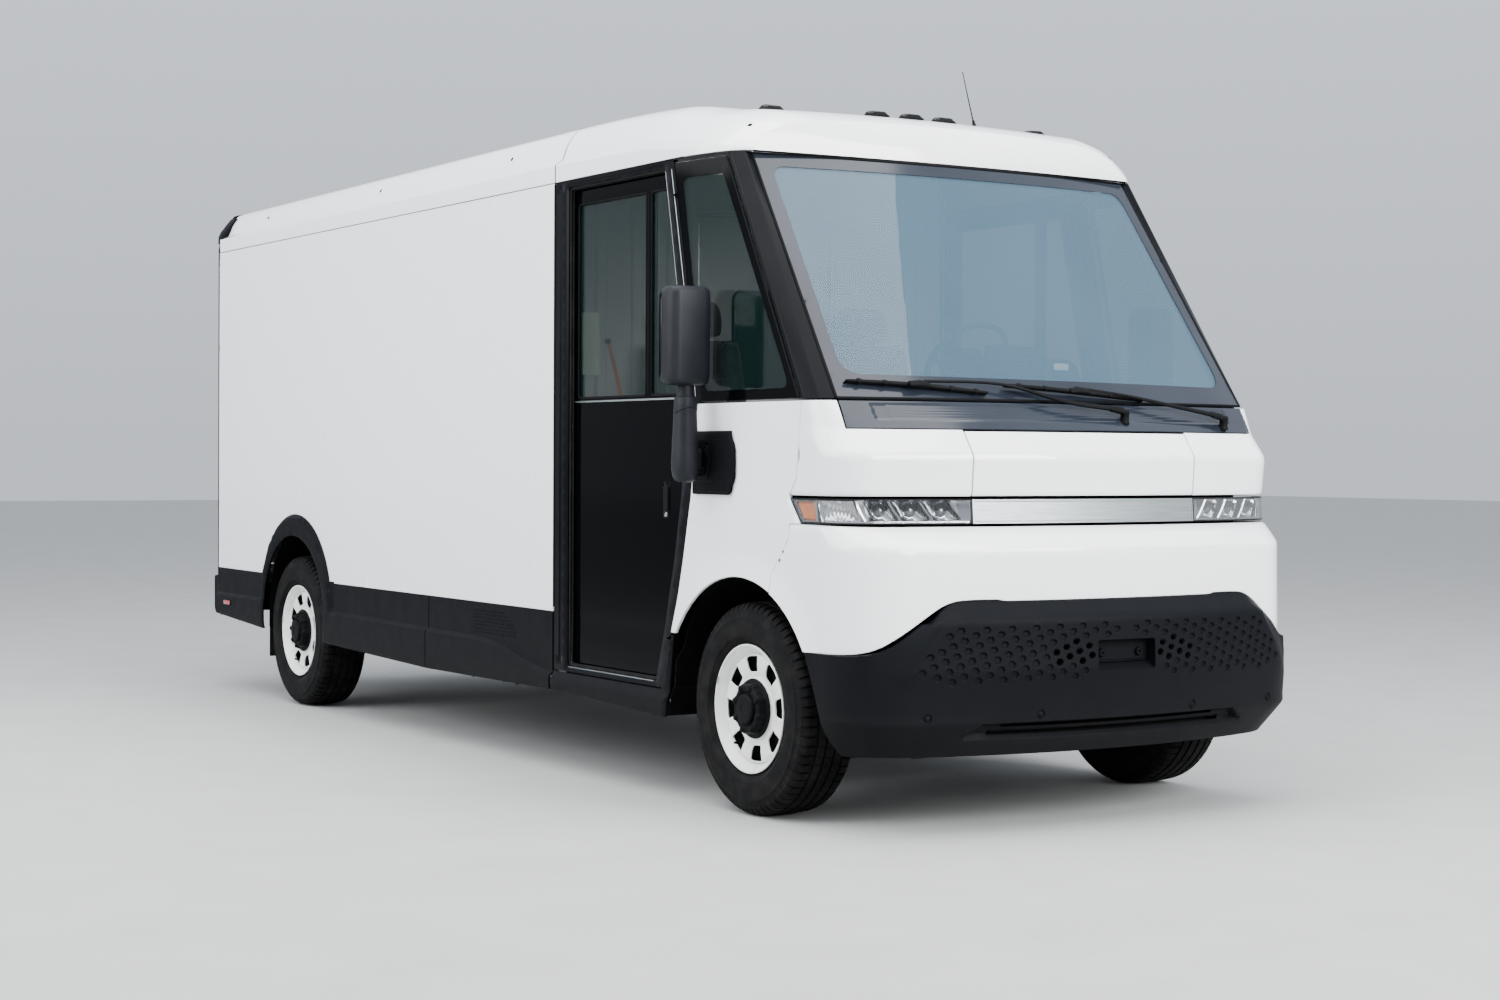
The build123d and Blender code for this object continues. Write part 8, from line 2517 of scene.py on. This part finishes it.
for i in range(15):
    row = []
    for j in range(7):
        u, v = i / 14, j / 6
        row.append(Vector((0.400 + 0.16 * u + 0.02 * v, f(-0.462 + 0.085 * v), 1.5632 + 0.006 * (2 * u - 1) ** 2 + 0.0015 * math.sin(5 * v + 3 * u))))
    rows.append(row)
sheet_top.grid(rows)
sheet_top.obj("dash_notice", "paper_white", slot="liner_grey", mods=[("SOLIDIFY", dict(thickness=0.0004, offset=1.0))])

# pedals and the footrest
ped = Shape()
for x, w, z, lean in ((0.52, 0.058, 0.860, 0.55), (0.39, 0.088, 0.905, 0.70)):
    at = Matrix.Translation((x, f(0.02), z)) @ Matrix.Rotation(lean, 4, "X")
    ped.block((-w / 2, -0.008, -0.055), (w / 2, 0.008, 0.055), 0.005, m=1, at=at)
    for q in range(5):
        ped.block((-w / 2 + 0.006, 0.006, -0.042 + 0.019 * q), (w / 2 - 0.006, 0.011, -0.034 + 0.019 * q), 0.002, m=1, at=at)
    ped.tube([at @ Vector((0, -0.006, 0)), Vector((x, f(-0.12), z + 0.10)), Vector((x, f(-0.22), z + 0.26))], [0.008, 0.009, 0.010], 12, m=0)
ped.block((0.230, f(-0.16), 0.722), (0.310, f(0.06), 0.752), 0.008, m=1)
ped.obj("pedal_set", ["frame_steel", "rubber_mat"], slot="frame_steel", angle=35)
# ribbed floor mat
mat = Shape()
mat.block((-0.545, f(-0.440), 0.7200), (0.545, f(1.440), 0.7235), 0.0015)
for k in range(40):
    x = -0.520 + 1.040 * k / 39
    mat.block((x - 0.0045, f(-0.420), 0.7225), (x + 0.0045, f(1.420), 0.7265), 0.0015, n=1)
mat.obj("cab_floor_mat", "rubber_mat", slot="cab_plastic", angle=35)

# ------------------------------------------------------------------ bulkhead
bh = Shape()
for x in (-0.86, -0.68, -0.50, 0.50, 0.68, 0.86):
    # pressed stiffeners, open hat sections on the cab side
    rings = [[Vector((x + u, f(1.505) - v, z)) for u, v in ((-0.030, 0.0), (-0.018, 0.011), (0.018, 0.011), (0.030, 0.0))] for z in (0.76, 0.775, 2.46, 2.475)]
    for i in (0, 3):
        rings[i] = [Vector((p.x, f(1.505), p.z)) for p in rings[i]]
    bh.loft(rings)
for x in (-0.363, 0.363):
    bh.block((x - 0.011, f(1.497), 0.725), (x + 0.011, f(1.507), 2.450), 0.004, m=1)
bh.block((-0.374, f(1.497), 2.441), (0.374, f(1.507), 2.463), 0.004, m=1)
bh.tube([(-0.46, f(1.5320), 2.500), (0.90, f(1.5320), 2.500)], 0.009, 12, m=1)
for z in (0.9, 1.35, 1.8, 2.25):
    for x in (-0.94, -0.42, 0.42, 0.94):
        bh.lathe([(0.0, 0.008), (0.002, 0.0075), (0.004, 0.0045), (0.004, 0.0005)], (x, f(1.5055), z), (0, -1, 0), 10, m=1)
bh.obj("bulkhead_fittings", ["liner_grey", "bar_metal"], slot="liner_grey", angle=35)
bd = Shape()
at = frame_at((0, f(1.5365), 1.900), (1, 0, 0), (0, 0, 1))
for w, y in ((0.330, 1.5355), (0.330, 1.5665)):
    ring = [Vector((u, f(y), 1.900 + v)) for u, v in rrect(w, 0.430, 0.044, 6)]
    bd.tube(ring + [ring[0]], 0.0065, 8, m=0)
bd.block((-0.161, f(1.5490), 1.690), (0.161, f(1.5530), 2.110), 0.002, m=1)
bd.tube([(-0.300, f(1.5660), 1.28), (-0.300, f(1.590), 1.29), (-0.300, f(1.594), 1.31), (-0.300, f(1.594), 1.50), (-0.300, f(1.590), 1.52), (-0.300, f(1.5660), 1.53)], 0.007, 12, m=2)
for z0 in (0.80, 1.02, 1.24):
    bd.block((-0.250, f(1.5652), z0), (0.350, f(1.5680), z0 + 0.018), 0.0012, m=3)
bd.obj("bulkhead_door_fittings", ["rubber_mat", "clear_glass", "bar_metal", "liner_grey"], body="bulkhead_door", slot="bar_metal", angle=35)

# ---------------------------------------------------------------- battery pack
pack = Shape()
rings = []
for z, w, d, r in ((0.3420, 1.340, 2.680, 0.040), (0.3450, 1.372, 2.712, 0.050), (0.3560, 1.384, 2.724, 0.055), (0.4480, 1.388, 2.728, 0.055), (0.4500, 1.434, 2.774, 0.030), (0.4620, 1.436, 2.776, 0.030),
                   (0.4640, 1.400, 2.740, 0.050), (0.5700, 1.392, 2.732, 0.050), (0.5860, 1.360, 2.700, 0.045)):
    rings.append([Vector((u, -0.255 + v, z)) for u, v in rrect(w, d, r, 5)])
pack.loft(rings, m=0)
for k in range(13):
    y = -1.500 + 0.2075 * k
    # stiffening ribs across the tray and down its sides
    pack.block((-0.640, y - 0.016, 0.3402), (0.640, y + 0.016, 0.3470), 0.003, m=0)
    for side in (1, -1):
        pack.block((side * 0.6965 - 0.006, y - 0.012, 0.362), (side * 0.6965 + 0.006, y + 0.012, 0.446), 0.004, m=0)
        pack.lathe([(0.0, 0.0105), (0.003, 0.0103), (0.004, 0.0080), (0.010, 0.0080), (0.0115, 0.0065), (0.0115, 0.0005)], (side * 0.7070, y + 0.10, 0.4615), (0, 0, 1), 12, m=1)
for side in (1, -1):
    for y in (-1.30, -0.62, 0.10, 0.80):
        # hangers up to the frame
        pack.block((side * 0.706 - 0.012, y - 0.045, 0.462), (side * 0.706 + 0.012, y + 0.045, 0.588), 0.005, m=1)
        pack.block((side * 0.690 - 0.028, y - 0.038, 0.578), (side * 0.690 + 0.028, y + 0.038, 0.589), 0.003, m=1)
for x in (-0.30, 0.05, 0.30):
    at = frame_at((x, -1.6190, 0.515), (1, 0, 0), (0, 0, 1))
    pack.prism(rrect(0.090, 0.060, 0.010, 4), 0.014, at, r=0.003, m=1)
    pack.lathe([(0.0, 0.019), (0.010, 0.019), (0.011, 0.015), (0.018, 0.014), (0.018, 0.0005)], (x, -1.6250, 0.515), (0, -1, 0), 20, m=2)
pack.obj("battery_case", ["pack_case", "frame_steel", "strap_orange"], swap=["battery_pack"], slot="pack_case", angle=35)

# ----------------------------------------------------- rear axle and springs
ax = Shape()
AY, AZ = f(4.645), 0.407
prof = [(-0.800, 0.052), (-0.770, 0.060), (-0.762, 0.086), (-0.745, 0.086), (-0.738, 0.058), (-0.600, 0.048), (-0.590, 0.056), (-0.500, 0.056), (-0.490, 0.047), (-0.250, 0.052), (-0.190, 0.078), (-0.140, 0.112), (-0.080, 0.127),
        (-0.010, 0.129), (-0.006, 0.1295), (0.006, 0.1295), (0.010, 0.129), (0.080, 0.127), (0.140, 0.112), (0.190, 0.078), (0.250, 0.052), (0.490, 0.047), (0.500, 0.056), (0.590, 0.056), (0.600, 0.048), (0.738, 0.058), (0.745, 0.086), (0.762, 0.086), (0.770, 0.060), (0.800, 0.052)]
ax.lathe([(a, r) for a, r in prof], (0, AY, AZ), (1, 0, 0), 48, cap=True)
# cover with its ring of bolts at the back
ax.lathe([(0.0, 0.118), (0.010, 0.118), (0.012, 0.108), (0.020, 0.104), (0.028, 0.080), (0.030, 0.045), (0.0302, 0.0005)], (0, AY + 0.095, AZ), (0, 1, 0), 48)
for k in range(12):
    a = 2 * math.pi * k / 12
    ax.lathe([(0.0, 0.0080), (0.006, 0.0080), (0.008, 0.0065), (0.008, 0.0005)], (0.113 * math.cos(a), AY + 0.105, AZ + 0.113 * math.sin(a)), (0, 1, 0), 6, m=1)
for side in (1, -1):
    for x in (0.515, 0.600):
        # U-bolts over the springs, clamped under the axle
        arc = [(side * x, AY - 0.068, 0.335)] + [(side * x, AY - 0.068 * math.cos(math.pi * q / 10), 0.560 + 0.045 * math.sin(math.pi * q / 10)) for q in range(11)] + [(side * x, AY + 0.068, 0.335)]
        ax.tube(arc, 0.0075, 10, m=1)
        for yy in (-0.068, 0.068):
            ax.lathe([(0.0, 0.0130), (0.012, 0.0130), (0.014, 0.0110), (0.014, 0.0078)], (side * x, AY + yy, 0.336), (0, 0, -1), 6, m=1)
    ax.block((side * 0.5575 - 0.060, AY - 0.090, 0.336), (side * 0.5575 + 0.060, AY + 0.090, 0.350), 0.004, m=1)
ax.obj("rear_axle_beam", ["axle_iron", "frame_steel"], swap=["rear_axle"], slot="axle_iron", angle=35)
leaf = Shape()
for side in (1, -1):
    for k, (half, low) in enumerate(((0.640, 0.0), (0.560, 0.0115), (0.430, 0.0230), (0.290, 0.0345))):
        rows = []
        n = 30
        for q in range(n + 1):
            t = -1 + 2 * q / n
            y = half * t
            z = 0.535 + 0.075 * (y / 0.640) ** 2 - low
            taper = 1.0 if k == 0 else min(1.0, 0.55 + (1 - abs(t)) * 6)
            ring = []
            for u, v in rrect(0.068 * taper, 0.0098, 0.0030, 2):
                ring.append(Vector((side * 0.5575 + u, AY + y, z + v)))
            rows.append(ring)
        leaf.loft(rows, m=0)
    for s in (-1, 1):
        eye = Vector((side * 0.5575, AY + s * 0.648, 0.6125))
        leaf.lathe([(-0.034, 0.020), (-0.034, 0.0215), (0.034, 0.0215), (0.034, 0.020), (0.034, 0.0005)], eye, (1, 0, 0), 24, m=0, cap=False)
        leaf.lathe([(-0.045, 0.0005), (-0.045, 0.0130), (0.045, 0.0130), (0.045, 0.0005)], eye, (1, 0, 0), 16, m=1)
        for q in (-0.041, 0.041):
            # shackle and hanger plates
            leaf.block((eye.x + q - 0.004, eye.y - 0.022, eye.z - 0.022), (eye.x + q + 0.004, eye.y + 0.022, 0.6480), 0.003, m=1)
    for y in (-0.36, 0.36):
        ring = [Vector((side * 0.5575 + u, AY + y, 0.5475 + v)) for u, v in rrect(0.078, 0.046, 0.006, 3)]
        leaf.tube(ring + [ring[0]], 0.0040, 8, m=1)
    # damper from the axle to the frame
    a, b = Vector((side * 0.470, AY - 0.045, 0.350)), Vector((side * 0.470, AY - 0.300, 0.655))
    leaf.tube([a, a.lerp(b, 0.50), a.lerp(b, 0.52)], [0.026, 0.026, 0.024], 18, m=1)
    leaf.tube([a.lerp(b, 0.48), b], 0.0110, 12, m=2)
    leaf.tube([a.lerp(b, 0.60), a.lerp(b, 0.62), a.lerp(b, 0.97), a.lerp(b, 0.99)], [0.026, 0.030, 0.030, 0.024], 18, m=1)
    for p in (a, b):
        leaf.lathe([(-0.020, 0.0005), (-0.020, 0.020), (0.020, 0.020), (0.020, 0.0005)], p, (1, 0, 0), 18, m=1)
leaf.obj("leaf_packs", ["axle_iron", "frame_steel", "lamp_chrome"], swap=["leaf_springs"], slot="axle_iron", angle=35)

# ---------------------------------------------------------------- drive unit
du = Shape()
prof = [(-0.205, 0.060), (-0.200, 0.100), (-0.190, 0.112)]
for k in range(15):
    a = -0.150 + 0.0195 * k
    prof += [(a, 0.112), (a + 0.001, 0.121), (a + 0.007, 0.121), (a + 0.008, 0.112)]
prof += [(0.150, 0.112), (0.155, 0.122), (0.195, 0.122), (0.205, 0.112), (0.207, 0.060)]
du.lathe(prof, (0, f(4.460), 0.430), (1, 0, 0), 48, cap=True)
du.block((-0.190, f(4.340), 0.440), (0.175, f(4.545), 0.566), 0.014, m=0)
for q in range(11):
    du.block((-0.165 + 0.030 * q - 0.004, f(4.350), 0.560), (-0.165 + 0.030 * q + 0.004, f(4.535), 0.5690), 0.003, m=0)
# reduction case running back to the axle
rings = []
for y, w, h, z in ((4.440, 0.120, 0.230, 0.425), (4.480, 0.150, 0.245, 0.423), (4.580, 0.150, 0.225, 0.415), (4.640, 0.130, 0.200, 0.408), (4.700, 0.110, 0.170, 0.405)):
    rings.append([Vector((0.120 + u, f(y), z + v)) for u, v in rrect(w, h, 0.040, 6)])
du.loft(rings, m=0)
for z in (0.33, 0.38, 0.46, 0.50):
    du.block((0.040, f(4.500), z - 0.004), (0.200, f(4.620), z + 0.004), 0.003, m=0)
for q, x in enumerate((-0.12, -0.05, 0.02)):
    du.lathe([(0.0, 0.022), (0.014, 0.022), (0.015, 0.017), (0.030, 0.016), (0.030, 0.0005)], (x, f(4.341), 0.505), (0, -1, 0), 20, m=1)
    path = [(x, f(4.322), 0.505), (x, f(4.22), 0.505), (x * 0.9 + 0.01, f(4.05), 0.520), (x * 0.8 + 0.02, f(3.86), 0.530), (x * 0.8 + 0.02, f(3.625), 0.530)]
    du.tube([Vector(p) for p in path], 0.0125, 12, m=1)
du.obj("drive_unit_case", ["pack_case", "strap_orange"], swap=["drive_unit"], slot="pack_case", angle=35)

# --------------------------------------- frame fittings, lines and harness runs
fr = Shape()
for side in (1, -1):
    for k in range(26):
        y = -0.55 + 0.235 * k
        for z in (0.625, 0.672):
            fr.lathe([(0.0, 0.0075), (0.003, 0.0070), (0.005, 0.0045), (0.005, 0.0005)], (side * 0.4495, f(y), z), (side, 0, 0), 6, m=0)
    for y in (0.35, 1.10, 1.90, 2.70, 3.50, 4.10, 5.20):
        # gussets between rail and cross member
        tri = [(side * 0.452, f(y) - 0.004, 0.605), (side * 0.560, f(y) - 0.004, 0.690), (side * 0.452, f(y) - 0.004, 0.690)]
        fr.loft([[Vector(p) for p in tri], [Vector(p) + Vector((0, 0.008, 0)) for p in tri]], m=0)
    run = [Vector((side * 0.4680, f(-0.30 + 0.20 * k), 0.640 + 0.004 * math.sin(k * 1.7))) for k in range(29)]
    fr.tube(run, 0.0048, 8, m=1)
    run = [Vector((side * 0.4680, f(-0.30 + 0.20 * k), 0.658 + 0.003 * math.sin(k * 1.1 + 1))) for k in range(29)]
    fr.tube(run, 0.0085, 10, m=1)
    for k in range(14):
        fr.block((side * 0.4660 - 0.014, f(-0.10 + 0.40 * k) - 0.008, 0.628), (side * 0.4660 + 0.014, f(-0.10 + 0.40 * k) + 0.008, 0.672), 0.003, m=0)
fr.obj("frame_fittings", ["frame_steel", "rubber_mat"], slot="frame_steel", angle=35)

# -------------------------------------------------------- front suspension
fs = Shape()
for side in (1, -1):
    # coil spring and damper between lower arm and frame
    base = Vector((side * 0.620, f(0.0), 0.330))
    pts = []
    for k in range(161):
        a = 2 * math.pi * 6.5 * k / 160
        pts.append(base + Vector((0.058 * math.cos(a), 0.058 * math.sin(a), 0.005 + 0.265 * k / 160)))
    fs.tube(pts, 0.0078, 8, m=0)
    fs.tube([base + Vector((0, 0, -0.030)), base + Vector((0, 0, 0.14)), base + Vector((0, 0, 0.145))], [0.0240, 0.0240, 0.0200], 18, m=1)
    fs.tube([base + Vector((0, 0, 0.13)), base + Vector((0, 0, 0.290))], 0.0100, 12, m=2)
    for z in (0.0, 0.270):
        fs.lathe([(-0.004, 0.030), (-0.004, 0.074), (0.000, 0.078), (0.005, 0.076), (0.006, 0.030)], base + Vector((0, 0, z)), (0, 0, 1), 28, m=1)
    # tie rod with its boot
    a, b = Vector((side * 0.300, f(0.170), 0.360)), Vector((side * 0.700, f(0.170), 0.352))
    fs.tube([a, b], 0.0100, 12, m=1)
    boot, rad = [], []
    for k in range(17):
        boot.append(a.lerp(b, 0.02 + 0.020 * k))
        rad.append(0.030 - 0.0006 * k if k % 2 else 0.022 - 0.0004 * k)
    fs.tube(boot, rad, 18, m=3)
fs.tube([(-0.320, f(0.170), 0.360), (0.320, f(0.170), 0.360)], 0.024, 20, m=1)
fs.obj("front_springs", ["axle_iron", "frame_steel", "lamp_chrome", "rubber_mat"], slot="frame_steel", angle=35)

# ------------------------------------------------ finishes of the CAD nodes
SLOT_OF = {s["node"]: s["material_slot"] for s in frame["record"]["subparts"]}
for name, obj in frame["nodes"].items():
    obj.data.materials.clear()
    # the windshield takes the glass with the painted sky reflection
    obj.data.materials.append(MATS["windshield_painted_sky_glass" if name == "windshield" else SLOT_OF[name]])
